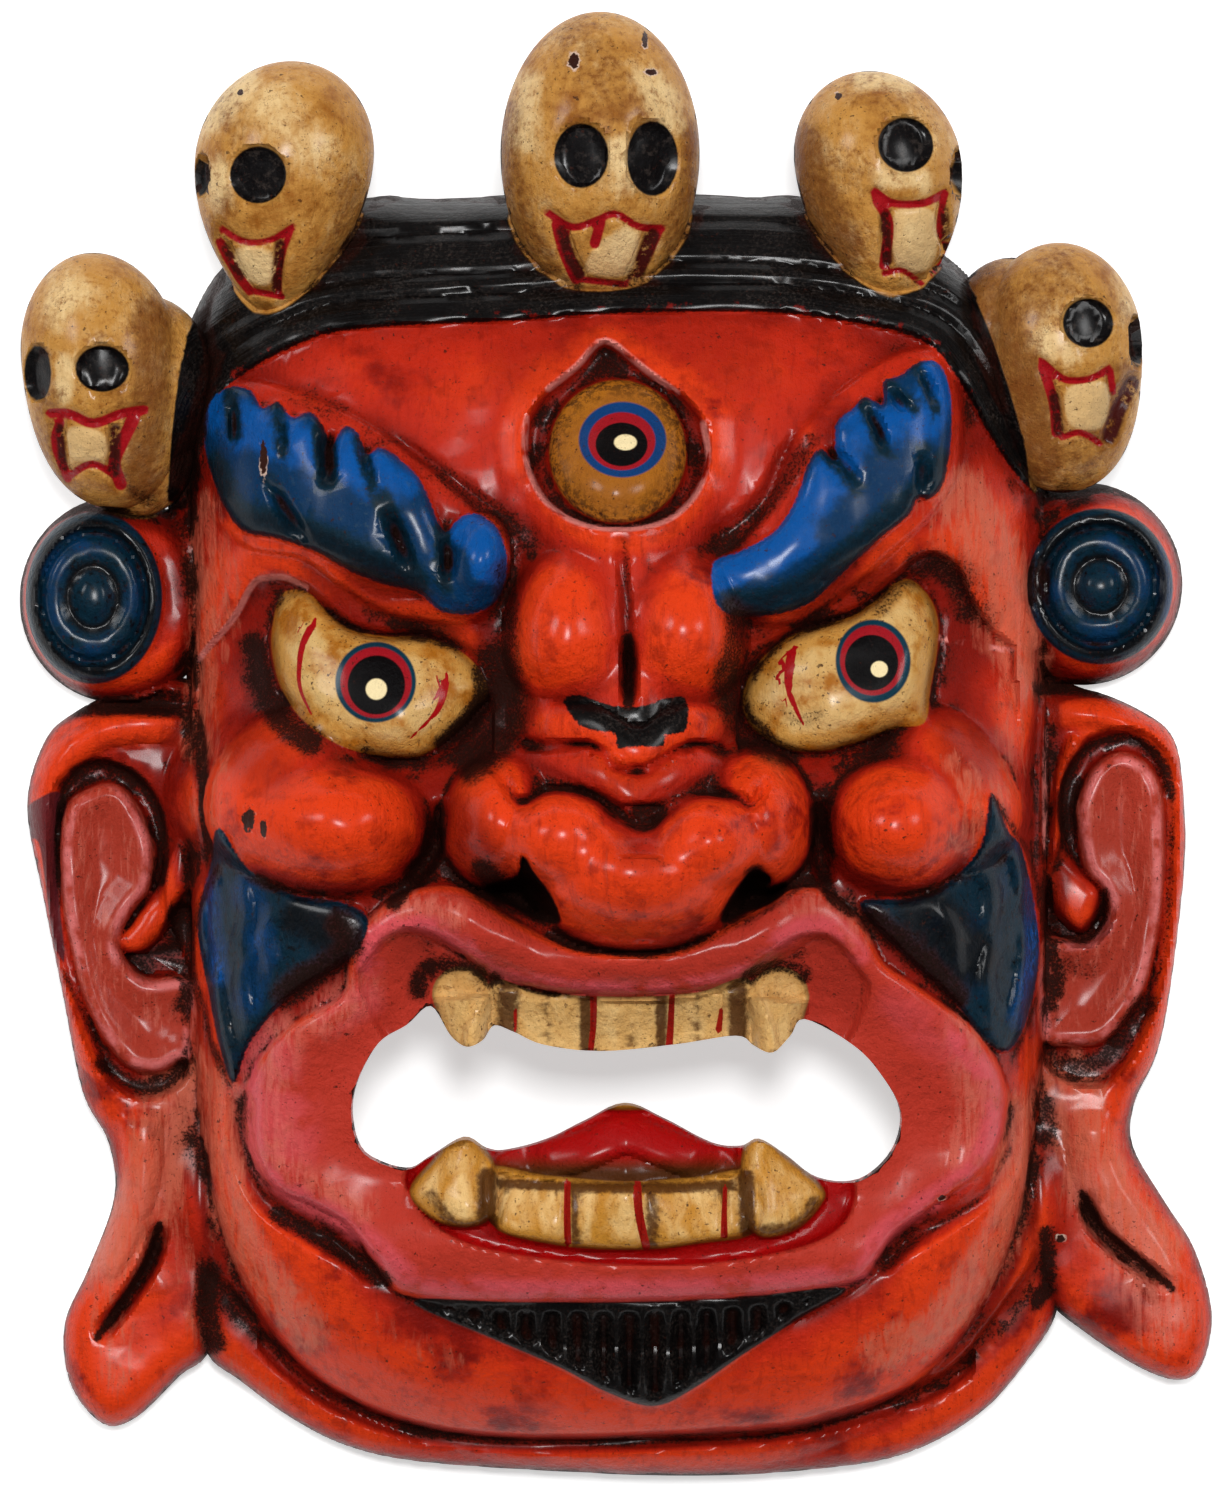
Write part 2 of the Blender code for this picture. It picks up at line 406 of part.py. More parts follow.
SKULLS = (              # jaw is how much narrower the chin is; the strokes are points and half width
    {"x": -4.1, "z": 43, "bottom": 111.4, "top": 183.4, "middle": 148, "width": 24.8, "depth": 24,
     "lean": 0.0, "jaw": 0.0, "eyes": ((-8.7, 146.5, 6.6, 7.8), (8.9, 146.0, 6.2, 9.1)),
     "lips": ((((-17.3, 132.8), (-11, 129), (-5, 130.6), (-0.2, 132.2), (5.4, 129.2), (11.5, 129)), 0.9),
              (((-14.5, 130), (-13, 124), (-10, 117)), 1.7), (((-10, 116.6), (-3, 115.8), (3.4, 115.2)), 0.8),
              (((-4, 130), (-5.4, 125)), 1.3), (((10.6, 128), (7.4, 121), (3.6, 115.6)), 0.8)),
     "slits": ((((8.8, 127), (6.6, 121.5), (4.4, 117)), 1.9),
               (((-13.6, 128), (-11.6, 122), (-9.2, 118)), 1.5))},
    {"x": -82.8, "z": 38, "bottom": 107.8, "top": 171.4, "middle": 147, "width": 22.3, "depth": 22,
     "lean": 0.07, "jaw": 0.34, "eyes": ((-88.8, 142.1, 6.9, 6.9), (-103.2, 142.6, 1.8, 5)),
     "lips": ((((-98.2, 129.2), (-92.5, 125.8), (-86, 126), (-80, 129.4)), 0.8),
              (((-98.6, 126), (-95.5, 119.5), (-91.4, 114)), 1.2),
              (((-80.6, 129), (-83.6, 120), (-84, 113)), 0.8),
              (((-91.4, 114), (-83.2, 112.4)), 0.8)),
     "slits": ((((-83.4, 125), (-84.6, 114.5)), 1.3), (((-97.2, 124.6), (-93.8, 117.5)), 1.2))},
    {"x": 65.2, "z": 38, "bottom": 108.9, "top": 168.9, "middle": 146, "width": 20.9, "depth": 22,
     "lean": -0.09, "jaw": 0.3, "eyes": ((71.7, 149.6, 6.8, 6.7), (85.2, 143.4, 1.9, 5.8)),
     "lips": ((((63.8, 138), (68.6, 135), (76, 135.2), (81.6, 138)), 1.0),
              (((64.4, 136), (67.4, 130), (66.4, 120)), 1.3),
              (((81.4, 137.6), (80.4, 129), (83, 124.2), (79, 118)), 0.9),
              (((66.5, 117.9), (70.9, 118.7), (76, 115.7)), 0.7)),
     "slits": ((((66.6, 132), (67.2, 121)), 1.3), (((81.4, 134), (82.4, 125)), 1.1))},
    {"x": -128.6, "z": 31, "bottom": 60, "top": 123.9, "middle": 97, "width": 20.2, "depth": 21,
     "lean": -0.08, "jaw": -0.15, "eyes": ((-144.2, 93.5, 3.4, 6.7), (-127.7, 94.3, 6.5, 5.6)),
     "lips": ((((-141, 83.4), (-136, 83.2), (-130, 80.8), (-123, 83.2), (-117.4, 84.2)), 1.2),
              (((-138.4, 81.4), (-139.8, 76), (-137, 67.6)), 1.2),
              (((-120, 82), (-123, 76), (-125, 71), (-123.6, 66)), 1.6),
              (((-136.6, 68), (-130.4, 70.8), (-124, 67.4)), 0.9)),
     "slits": ((((-138.6, 80), (-138, 70)), 1.1), (((-124.6, 79), (-125.2, 69)), 1.5))},
    {"x": 111.0, "z": 31, "bottom": 64, "top": 126.4, "middle": 101, "width": 20.4, "depth": 21,
     "lean": -0.02, "jaw": -0.2, "eyes": ((117.2, 105.7, 6.2, 6), (129.8, 101.6, 2.1, 6.2)),
     "lips": ((((105.3, 96.3), (111.4, 91.6), (118, 92), (122.6, 94.6)), 0.9),
              (((105.8, 95), (108.6, 86), (109.4, 78.6)), 1.3), (((122.6, 94.4), (123.6, 88.6)), 0.9),
              (((110.9, 77.4), (115.4, 78.6), (120.4, 76)), 0.8)),
     "slits": ((((128.6, 91), (125.6, 86), (122.8, 78)), 2.0), (((108.6, 88), (110, 79)), 1.3))},
)
SKULL_SOCKET_DEPTH = 3.0
SKULL_LIP_DEPTH = 1.6
SKULL_SLIT_DEPTH = 2.6
SKULL_CORE = 8.0        # no cut reaches nearer to the middle line than this
SKULL_CHIN_BACK = 3.0   # how far the chin lies back
SKULL_WEBS = (          # flanks that slope from the outer skulls to the hair
    {"centre": (-118, 91, 24), "radii": (17.5, 22.5, 19)},
    {"centre": (99, 103, 24), "radii": (16.5, 20, 19)},
    {"centre": (-120.5, 80, 20), "radii": (17, 22, 15)},
)


def smooth_step(low, high, value):
    t = np.clip((value - low) / (high - low), 0, 1)
    return t * t * (3 - 2 * t)


def round_up(t):
    t = np.clip(t, 0, 1)
    return np.sqrt(1 - (1 - t) ** 2)


def smooth_max(a, b, soft):
    t = np.clip(0.5 + 0.5 * (a - b) / soft, 0, 1)
    return b + (a - b) * t + soft * t * (1 - t)


def smooth_curve(points, closed, steps=5):
    # A Catmull-Rom curve through the points.
    points = np.array(points, float)
    if closed:
        points = np.vstack([points[-1], points, points[:2]])
    else:
        points = np.vstack([2 * points[0] - points[1], points, 2 * points[-1] - points[-2]])
    t = np.linspace(0, 1, steps, endpoint=False)[:, None]
    pieces = []
    for a, b, c, d in zip(points, points[1:], points[2:], points[3:]):
        pieces.append(0.5 * (2 * b + (c - a) * t + (2 * a - 5 * b + 4 * c - d) * t ** 2
                             + (3 * b - a - 3 * c + d) * t ** 3))
    if not closed:
        pieces.append(points[-2:-1])
    return np.vstack(pieces)


def path_distance(path, x, y):
    # The distance to an open path, and how far along it the nearest place is, from 0 to 1.
    runs = np.hypot(*np.diff(path, axis=0).T)
    starts = np.concatenate([[0], np.cumsum(runs)])
    nearest = np.full(x.shape, 1e6)
    along = np.zeros(x.shape)
    for i, run in enumerate(runs):
        ax, ay = path[i]
        ux, uy = (path[i + 1] - path[i]) / run
        t = np.clip((x - ax) * ux + (y - ay) * uy, 0, run)
        gap = np.hypot(x - ax - t * ux, y - ay - t * uy)
        closer = gap < nearest
        nearest = np.where(closer, gap, nearest)
        along = np.where(closer, starts[i] + t, along)
    return nearest, along / starts[-1]


def inside_distance(outline, x, y):
    # The distance in from a closed outline: positive inside and negative outside.
    closed = np.vstack([outline, outline[:1]])
    nearest, _ = path_distance(closed, x, y)
    inside = np.zeros(x.shape, bool)
    for (ax, ay), (bx, by) in zip(closed, closed[1:]):
        if ay != by:
            crosses = (ay > y) != (by > y)
            inside ^= crosses & (x < ax + (y - ay) * (bx - ax) / (by - ay))
    return np.where(inside, nearest, -nearest)


def nearby(points, reach, x, y):
    low = np.min(points, axis=0) - reach
    high = np.max(points, axis=0) + reach
    return (x > low[0]) & (x < high[0]) & (y > low[1]) & (y < high[1])


def ellipse_distance(centre, radii, turn, x, y):
    c, s = np.cos(np.radians(turn)), np.sin(np.radians(turn))
    u = (x - centre[0]) * c + (y - centre[1]) * s
    v = (y - centre[1]) * c - (x - centre[0]) * s
    return np.hypot(u / radii[0], v / radii[1])


def dome(z, x, y, centre, reach, foot, top, turn=0, soft=2.0):
    # A rounded swelling that stands out of the surface. It may reach further up than down.
    half, below, above = reach
    near = nearby(np.array([centre]), max(reach) * 1.3, x, y)
    c, s = np.cos(np.radians(turn)), np.sin(np.radians(turn))
    u = (x[near] - centre[0]) * c + (y[near] - centre[1]) * s
    v = (y[near] - centre[1]) * c - (x[near] - centre[0]) * s
    d = np.hypot(u / half, v / np.where(v > 0, above, below))
    lift = foot + (top - foot) * np.sqrt(np.clip(1 - d ** 2, 0, 1)) - 60 * np.clip(d - 1, 0, None)
    z[near] = smooth_max(z[near], lift, soft)


def bead(z, x, y, points, width, height, taper=0.15, power=0.5, tip=1.0):
    # A rounded ridge along a path, as wide at its last end as tip says. A negative height cuts a groove.
    path = smooth_curve(points, False)
    near = nearby(path, width * max(tip, 1), x, y)
    gap, along = path_distance(path, x[near], y[near])
    ends = smooth_step(0, taper, along) * smooth_step(0, taper, 1 - along)
    across = gap / (width * (1 + (tip - 1) * along))
    z[near] += height * ends * np.clip(1 - across ** 2, 0, 1) ** power


def groove(z, x, y, points, width, depth, taper=0.2):
    bead(z, x, y, points, width, -depth, taper, 1.3)


def field_profile(inside, edge):
    # A sloping wall along the outline, and a rounded shoulder behind it.
    wall = smooth_step(-WALL_SLOPE, WALL_SLOPE, inside)
    return wall * (WALL_SHARE + (1 - WALL_SHARE) * round_up(inside / edge))


def plate(z, x, y, points, height, edge):
    # A raised field with rounded edges. A negative height sinks it.
    outline = smooth_curve(points, True)
    near = nearby(outline, WALL_SLOPE, x, y)
    inside = inside_distance(outline, x[near], y[near])
    z[near] += height * field_profile(inside, edge)
    return near, inside


def tooth(z, x, y, middle, half, low, high, height):
    sides = np.minimum(half - np.abs(x - middle), np.minimum(high - y, y - low))
    z += height * field_profile(sides, TEETH_ROUND)


def block_distance(x, y):
    head = inside_distance(smooth_curve(HEAD, True), x, y)
    block = head.copy()
    for points in (EAR_LEFT, EAR_RIGHT):
        block = np.maximum(block, inside_distance(smooth_curve(points, True), x, y))
    for boss in (BOSS_LEFT, BOSS_RIGHT):
        d = ellipse_distance(boss["centre"], boss["radii"], 0, x, y)
        block = np.maximum(block, (1 - d) * min(boss["radii"]))
    return head, block


def head_form(x, y):
    # A rounded block: level along the middle, and rising steeply from its edge all round.
    u = np.abs(x - FACE_CENTRE[0]) / FACE_HALF_WIDTH
    v = y - FACE_CENTRE[1]
    up = (u ** FACE_SQUARENESS_UP + (np.abs(v) / FACE_UP) ** FACE_SQUARENESS_UP) ** (1 / FACE_SQUARENESS_UP)
    down = (u ** FACE_SQUARENESS_DOWN
            + (np.abs(v) / FACE_DOWN) ** FACE_SQUARENESS_DOWN) ** (1 / FACE_SQUARENESS_DOWN)
    t = np.clip((1 - np.where(v > 0, up, down)) / SIDE_SHARE, 0, 1)
    crown = CROWN - CHEEK_FALL * (x / 100) ** 2
    crown -= HAIR_FALL * (np.clip(y, 0, None) / HIGHEST_Y) ** 2.6
    crown -= CHIN_FALL * (np.clip(y, None, 0) / LOWEST_Y) ** 3
    foot = PLATE + 9 * smooth_step(95, 135, y)
    return foot + (crown - foot) * (1 - (1 - t) ** 2.2) ** 0.62


def carve_hair(z, x, y):
    line = smooth_curve(HAIR_LINE, False)
    outline = np.vstack([line, HAIR_BACK])
    inside = inside_distance(outline, x, y)
    z += HAIR_RISE * field_profile(inside, HAIR_ROUND)
    for place, half, depth in HAIR_NOTCHES:
        z -= depth * np.clip(1 - np.abs(inside - place) / half, 0, 1)


def carve_third_eye(z, x, y):
    plate(z, x, y, THIRD_EYE_EDGE, -THIRD_EYE_SINK, THIRD_EYE_ROUND)
    rim = smooth_curve(THIRD_EYE_EDGE, True)
    near = nearby(rim, THIRD_EYE_SWELL_REACH, x, y)
    out = -inside_distance(rim, x[near], y[near])
    swell = smooth_step(-WALL_SLOPE, WALL_SLOPE, out) * smooth_step(THIRD_EYE_SWELL_REACH, WALL_SLOPE, out)
    z[near] += THIRD_EYE_SWELL * swell
    centre, radii = THIRD_EYE_BALL
    ball = (1 - ellipse_distance(centre, radii, 0, x, y)) * radii[0]
    z += THIRD_EYE_RISE * field_profile(ball, radii[0] * THIRD_EYE_DOME)


def carve_brows(z, x, y):
    for mass in (BROW_MASS_LEFT, BROW_MASS_RIGHT):
        plate(z, x, y, mass, BROW_MASS_RISE, BROW_ROUND)
    for brow in (BROW_LEFT, BROW_RIGHT):
        plate(z, x, y, brow, BROW_RISE, BROW_ROUND)
    dome(z, x, y, *BROW_CURL)
    for a, b, c, width, depth in BROW_SLOTS:
        groove(z, x, y, (a, b, c), width, depth, BROW_SLOT_TAPER)
    for points, width, depth in BROW_CREASES:
        groove(z, x, y, points, width, depth)


def carve_lid(z, x, y, edge, corners):
    # A crisp step down along the lid's edge, that rises again slowly to nothing.
    path = smooth_curve(edge, False)
    steep, gone = EYE_LID_FADE
    near = nearby(path, gone, x, y)
    gap, _ = path_distance(path, x[near], y[near])
    inside = inside_distance(np.vstack([path, corners]), x[near], y[near]) > 0
    wall = smooth_step(-WALL_SLOPE, WALL_SLOPE, np.where(inside, gap, -gap))
    z[near] -= EYE_LID_SINK * wall * smooth_step(gone, steep, gap)


def carve_eyes(z, x, y):
    for socket in SOCKETS:
        z -= SOCKET_SINK * smooth_step(1, 0.5, ellipse_distance(*socket, x, y).clip(0.5, 1))
    for points, width, height in EYE_STRIPS:
        bead(z, x, y, points, width, height)
    for lid in EYE_LIDS:
        carve_lid(z, x, y, *lid)
    for outline, eyeball in ((EYE_LEFT, EYE_BALLS[0]), (EYE_RIGHT, EYE_BALLS[1])):
        inside = inside_distance(smooth_curve(outline, True), x, y)
        z -= EYE_CREASE * smooth_step(-EYE_CREASE_REACH, 0, inside)
        ball = np.sqrt(np.clip(1 - ellipse_distance(*eyeball, x, y) ** 2, 0, 1))
        z += (EYE_RISE * ball + EYE_CREASE) * field_profile(inside, EYE_ROUND)


def carve_nose(z, x, y):
    path = smooth_curve(NOSE_RIDGE, False)
    low_half, high_half = NOSE_RIDGE_HALF
    low_rise, high_rise = NOSE_RIDGE_RISE
    near = nearby(path, high_half, x, y)
    gap, along = path_distance(path, x[near], y[near])
    half = low_half + (high_half - low_half) * along
    rise = low_rise + (high_rise - low_rise) * along
    z[near] += rise * np.clip(1 - (gap / half) ** 2, 0, 1) ** 1.5
    for lump in FROWN_LUMPS:
        dome(z, x, y, *lump)
    for fold in FROWN_FOLDS:
        groove(z, x, y, *fold)
    for points, width, height in NOSE_ROLLS:
        bead(z, x, y, points, width, height)
    for lump in NOSE_LUMPS:
        dome(z, x, y, *lump)
    for points, width, depth in NOSE_FOLDS:
        groove(z, x, y, points, width, depth, FOLD_TAPER)
    for nostril in NOSTRILS:
        plate(z, x, y, nostril, -NOSTRIL_DEPTH, NOSTRIL_ROUND)


def carve_cheeks(z, x, y):
    for cheek in CHEEK_LUMPS:
        dome(z, x, y, *cheek)
    for points, width, depth in CHEEK_FOLDS:
        groove(z, x, y, points, width, depth)


def carve_whiskers(z, x, y):
    for whisker in (WHISKER_LEFT, WHISKER_RIGHT):
        plate(z, x, y, whisker, WHISKER_RISE, WHISKER_ROUND)
    for points, width, height in WHISKER_STRANDS:
        bead(z, x, y, points, width, height, STRAND_TAPER, STRAND_POWER)


def carve_mouth(z, x, y):
    gap, _ = path_distance(smooth_curve(JAW_ROLL, False), x, y)
    start, full = JAW_ROLL_FADE
    fade = smooth_step(start, full, y)
    z += JAW_ROLL_RISE * fade * np.clip(1 - (gap / JAW_ROLL_HALF) ** 2, 0, 1) ** 0.8
    plate(z, x, y, LIPS, LIPS_RISE, LIPS_ROUND)
    out = -inside_distance(smooth_curve(MOUTH, True), x, y)
    z -= MOUTH_DISH_DEPTH * smooth_step(MOUTH_DISH, 0, out)
    bead(z, x, y, UPPER_LIP, UPPER_LIP_HALF, UPPER_LIP_RISE)
    for gum in (GUMS_ABOVE, GUMS_BELOW):
        plate(z, x, y, gum, -GUM_DEPTH, GUM_ROUND)
    for points, width, depth in MOUTH_FOLDS:
        groove(z, x, y, points, width, depth, FOLD_TAPER)


def carve_teeth(z, x, y):
    for row in (TEETH_UPPER_ROW, TEETH_LOWER_ROW):
        plate(z, x, y, row, TEETH_ROW_RISE, TEETH_ROUND)
    for middle, half, low, high in TEETH_UPPER:
        tooth(z, x, y, middle, half, low, high, TEETH_UPPER_RISE)
    low = TEETH_LOWER_FOOT + TEETH_LOWER_BEND * x ** 2
    for middle, half, high in TEETH_LOWER:
        tooth(z, x, y, middle, half, low, high, TEETH_LOWER_RISE)
    for a, b, c, width, height in FANGS:
        bead(z, x, y, (a, b, c), width, height, FANG_TAPER, 0.5, FANG_TIP)
    for canine in (CANINE_LEFT, CANINE_RIGHT):
        plate(z, x, y, canine, CANINE_RISE, CANINE_ROUND)


def carve_tongue(z, x, y):
    plate(z, x, y, TONGUE, TONGUE_RISE, TONGUE_ROUND)
    bead(z, x, y, TONGUE_CREST, TONGUE_ROUND, TONGUE_RISE)


def carve_beard(z, x, y):
    near, inside = plate(z, x, y, BEARD, BEARD_RISE, BEARD_ROUND)
    flutes = 0.5 - 0.5 * np.cos(2 * np.pi * x[near] / BEARD_PITCH)
    z[near] -= BEARD_DEPTH * flutes * smooth_step(0.5 * BEARD_ROUND, 1.3 * BEARD_ROUND, inside)


def carve_ears(z, x, y):
    # The ears are carved on the plate, and the sides of the face rise out of them.
    ear = np.full(x.shape, PLATE)
    for points, width, height, tip in EAR_ROLLS:
        bead(ear, x, y, points, width, height, EAR_ROLL_TAPER, EAR_ROLL_POWER, tip)
    for bowl, pad, flap in zip(EAR_BOWLS, EAR_PADS, EAR_FLAPS):
        plate(ear, x, y, bowl, -EAR_BOWL_DEPTH, EAR_BOWL_ROUND)
        near, inside = plate(ear, x, y, pad, EAR_PAD_RISE, EAR_PAD_ROUND)
        ear[near] -= EAR_PAD_DISH * smooth_step(*EAR_PAD_DISHED, inside)
        plate(ear, x, y, flap, EAR_FLAP_RISE, EAR_FLAP_ROUND)
    plate(ear, x, y, EAR_NOTCH, -EAR_NOTCH_DEPTH, EAR_NOTCH_ROUND)
    for points, width, depth in EAR_FOLDS:
        groove(ear, x, y, points, width, depth)
    side = smooth_step(0, EAR_JOIN, z - PLATE)
    beside = (np.abs(x) > EAR_INNER) & (y < BOSS_RIGHT["centre"][1])
    z[beside] = (ear + (np.maximum(z, ear) - ear) * side)[beside]


def carve_boss(z, x, y, boss, disc):
    d = ellipse_distance(boss["centre"], boss["radii"], 0, x, y)
    lift = BOSS_LEVEL + BOSS_RISE * round_up((1 - d) * 3)
    z[:] = np.where(d < 1, np.maximum(z, lift), z)
    d = ellipse_distance(*disc, 0, x, y)
    size = disc[1][0]
    z += (BOSS_LEVEL + BOSS_RISE - z) * smooth_step(-WALL_SLOPE, WALL_SLOPE, (1 - d) * size)
    groove_out, groove_in = DISC_GROOVE
    ring = field_profile((1 - d) * size, 3) - field_profile((groove_out - d) * size, 2)
    z += DISC_RISE * (ring + field_profile((groove_in - d) * size, 3))
    dimple, half = DISC_DIMPLE
    z -= DISC_DIMPLE_DEPTH * np.clip(1 - np.abs(d - dimple) / half, 0, 1)
    z += DISC_DIMPLE_DEPTH * round_up((DISC_KNOB - d) / DISC_KNOB)


def front_height(x, y):
    _, block = block_distance(x, y)
    z = head_form(x, y)
    carve_hair(z, x, y)
    carve_brows(z, x, y)
    carve_third_eye(z, x, y)
    carve_eyes(z, x, y)
    carve_nose(z, x, y)
    carve_mouth(z, x, y)
    carve_cheeks(z, x, y)
    carve_whiskers(z, x, y)
    carve_teeth(z, x, y)
    carve_tongue(z, x, y)
    carve_beard(z, x, y)
    carve_ears(z, x, y)
    carve_boss(z, x, y, BOSS_LEFT, DISC_LEFT)
    carve_boss(z, x, y, BOSS_RIGHT, DISC_RIGHT)
    z = np.maximum(z, LOWEST_FRONT)
    return FRONT_EDGE + (z - FRONT_EDGE) * round_up(block / EDGE_ROUND)


def back_height(x, y):
    # The hollow follows the form of the head a wall's thickness behind it, and leaves a flat rim.
    head, block = block_distance(x, y)
    hollow = head_form(x, y) - WALL
    nose = ellipse_distance(NOSE_HOLLOW_CENTRE, NOSE_HOLLOW_RADII, 0, x, y)
    hollow += NOSE_HOLLOW * np.clip(1 - nose ** 2, 0, 1) ** 2
    for centre, radii in THICKER:
        near = np.clip(ellipse_distance(centre, radii, 0, x, y), 0.5, 1)
        hollow -= MOUTH_EXTRA * smooth_step(1, 0.5, near)
    hollow = np.minimum(hollow, front_height(x, y) - THINNEST)
    depth = smooth_step(RIM, RIM + 12, head)
    edge = BACK_ROUND * (1 - round_up(block / BACK_ROUND))
    return np.maximum(hollow, 0) * depth + edge


def remove_everything():
    for thing in list(bpy.data.objects):
        bpy.data.objects.remove(thing, do_unlink=True)


def add_object(name, mesh_builder, collection, guide=True):
    mesh = bpy.data.meshes.new(name)
    mesh_builder.to_mesh(mesh)
    mesh_builder.free()
    thing = bpy.data.objects.new(name, mesh)
    collection.objects.link(thing)
    if guide:
        thing.hide_render = True
        thing.display_type = "WIRE"
    return thing


def prism(name, outline, collection):
    shape = bmesh.new()
    corners = [shape.verts.new((px * MM, py * MM, PRISM_LOW * MM)) for px, py in outline]
    floor = shape.faces.new(corners)
    top = bmesh.ops.extrude_face_region(shape, geom=[floor])["geom"]
    rise = [part for part in top if isinstance(part, bmesh.types.BMVert)]
    bmesh.ops.translate(shape, verts=rise, vec=(0, 0, (PRISM_HIGH - PRISM_LOW) * MM))
    bmesh.ops.recalc_face_normals(shape, faces=shape.faces)
    return add_object(name, shape, collection)


def ellipse_outline(centre, radii, count=64):
    angles = np.linspace(0, 2 * np.pi, count, endpoint=False)
    return np.stack([centre[0] + radii[0] * np.cos(angles), centre[1] + radii[1] * np.sin(angles)], 1)


def combine(thing, operation, other=None, group=None, solver="EXACT"):
    step = thing.modifiers.new(operation.lower(), "BOOLEAN")
    step.operation = operation
    step.solver = solver
    if group:
        step.operand_type = "COLLECTION"
        step.collection = group
    else:
        step.object = other


def carved_block(collection):
    # A slab of fine squares whose top takes the carving and whose underside takes the hollow.
    shape = bmesh.new()
    columns = int(2 * REACH_X / GRID_STEP)
    rows = int((HIGHEST_Y - LOWEST_Y) / GRID_STEP)
    bmesh.ops.create_grid(shape, x_segments=columns, y_segments=rows, size=1)
    middle = (HIGHEST_Y + LOWEST_Y) / 2
    for corner in shape.verts:
        corner.co.x *= REACH_X
        corner.co.y = middle + corner.co.y * (HIGHEST_Y - LOWEST_Y) / 2
    under = list(shape.verts)
    top = bmesh.ops.extrude_face_region(shape, geom=list(shape.faces))["geom"]
    over = [part for part in top if isinstance(part, bmesh.types.BMVert)]
    for corners, height in ((under, back_height), (over, front_height)):
        places = np.array([corner.co for corner in corners])
        for corner, rise in zip(corners, height(places[:, 0], places[:, 1])):
            corner.co.z = rise
    bmesh.ops.scale(shape, verts=shape.verts, vec=(MM, MM, MM))
    bmesh.ops.recalc_face_normals(shape, faces=shape.faces)
    return add_object("mask", shape, collection, guide=False)


def skull_strokes(strokes, x, y):
    # How far inside the nearest of some strokes each place is.
    field = np.full(x.shape, -SKULL_CORE)
    for points, half in strokes:
        gap, _ = path_distance(smooth_curve(points, False), x, y)
        field = np.maximum(field, half - gap)
    return field


def skull_cuts(skull, x, y):
    # How deep the sockets and the mouth are cut at each place on the face of a skull.
    depth = np.zeros(x.shape)
    for ex, ey, rx, ry in skull["eyes"]:
        d = ellipse_distance((ex, ey), (rx, ry), 0, x, y)
        depth = np.maximum(depth, SKULL_SOCKET_DEPTH * round_up((1.08 - d) * 4))
    for kind, deepest in (("lips", SKULL_LIP_DEPTH), ("slits", SKULL_SLIT_DEPTH)):
        inside = skull_strokes(skull[kind], x, y)
        depth = np.maximum(depth, deepest * smooth_step(-WALL_SLOPE, WALL_SLOPE, inside))
    return depth


def add_skull(name, skull, collection):
    shape = bmesh.new()
    bmesh.ops.create_uvsphere(shape, u_segments=40, v_segments=26, radius=1)
    ball = np.array([corner.co for corner in shape.verts])
    side, up, out = ball[:, 0], ball[:, 2], -ball[:, 1]
    below = np.clip(-up, 0, 1) ** 2
    side = side * (1 - skull["jaw"] * below)
    tall = np.where(up > 0, skull["top"] - skull["middle"], skull["middle"] - skull["bottom"])
    y = skull["middle"] + up * tall
    x = skull["x"] + side * skull["width"] + skull["lean"] * (y - skull["middle"])
    z = skull["z"] + out * skull["depth"] - SKULL_CHIN_BACK * below
    cut = skull_cuts(skull, x, y) * (out > 0)
    core = np.stack([np.full(x.shape, skull["x"]), y, np.full(x.shape, skull["z"])], 1)
    places = np.stack([x, y, z], 1)
    reach = np.linalg.norm(places - core, axis=1)
    shrink = 1 - cut / np.maximum(reach, SKULL_CORE)
    places = core + (places - core) * shrink[:, None]
    for corner, place in zip(shape.verts, places):
        corner.co = place * MM
    bmesh.ops.recalc_face_normals(shape, faces=shape.faces)
    return add_object(name, shape, collection)


def add_web(name, web, collection):
    shape = bmesh.new()
    bmesh.ops.create_uvsphere(shape, u_segments=24, v_segments=16, radius=1)
    bmesh.ops.scale(shape, verts=shape.verts, vec=np.array(web["radii"]) * MM)
    bmesh.ops.translate(shape, verts=shape.verts, vec=np.array(web["centre"]) * MM)
    return add_object(name, shape, collection)


def even_out(mask):
    # One skin of even squares, so that the thinning starts without slivers where shapes meet.
    skin = mask.modifiers.new("even out", "REMESH")
    skin.mode = "VOXEL"
    skin.voxel_size = SKIN_STEP * MM


def thin_out(mask):
    bpy.context.view_layer.update()
    evaluated = mask.evaluated_get(bpy.context.evaluated_depsgraph_get()).data
    evaluated.calc_loop_triangles()
    thin = mask.modifiers.new("thin out", "DECIMATE")
    thin.ratio = MASK_TRIANGLES / len(evaluated.loop_triangles)
    thin.use_collapse_triangulate = True


def painted_wood():
    material = bpy.data.materials.new("red lacquered wood")
    material.use_nodes = True
    shader = material.node_tree.nodes["Principled BSDF"]
    shader.inputs["Base Color"].default_value = (0.48, 0.035, 0.012, 1)
    shader.inputs["Roughness"].default_value = 0.35
    shader.inputs["Metallic"].default_value = 0.0
    return material


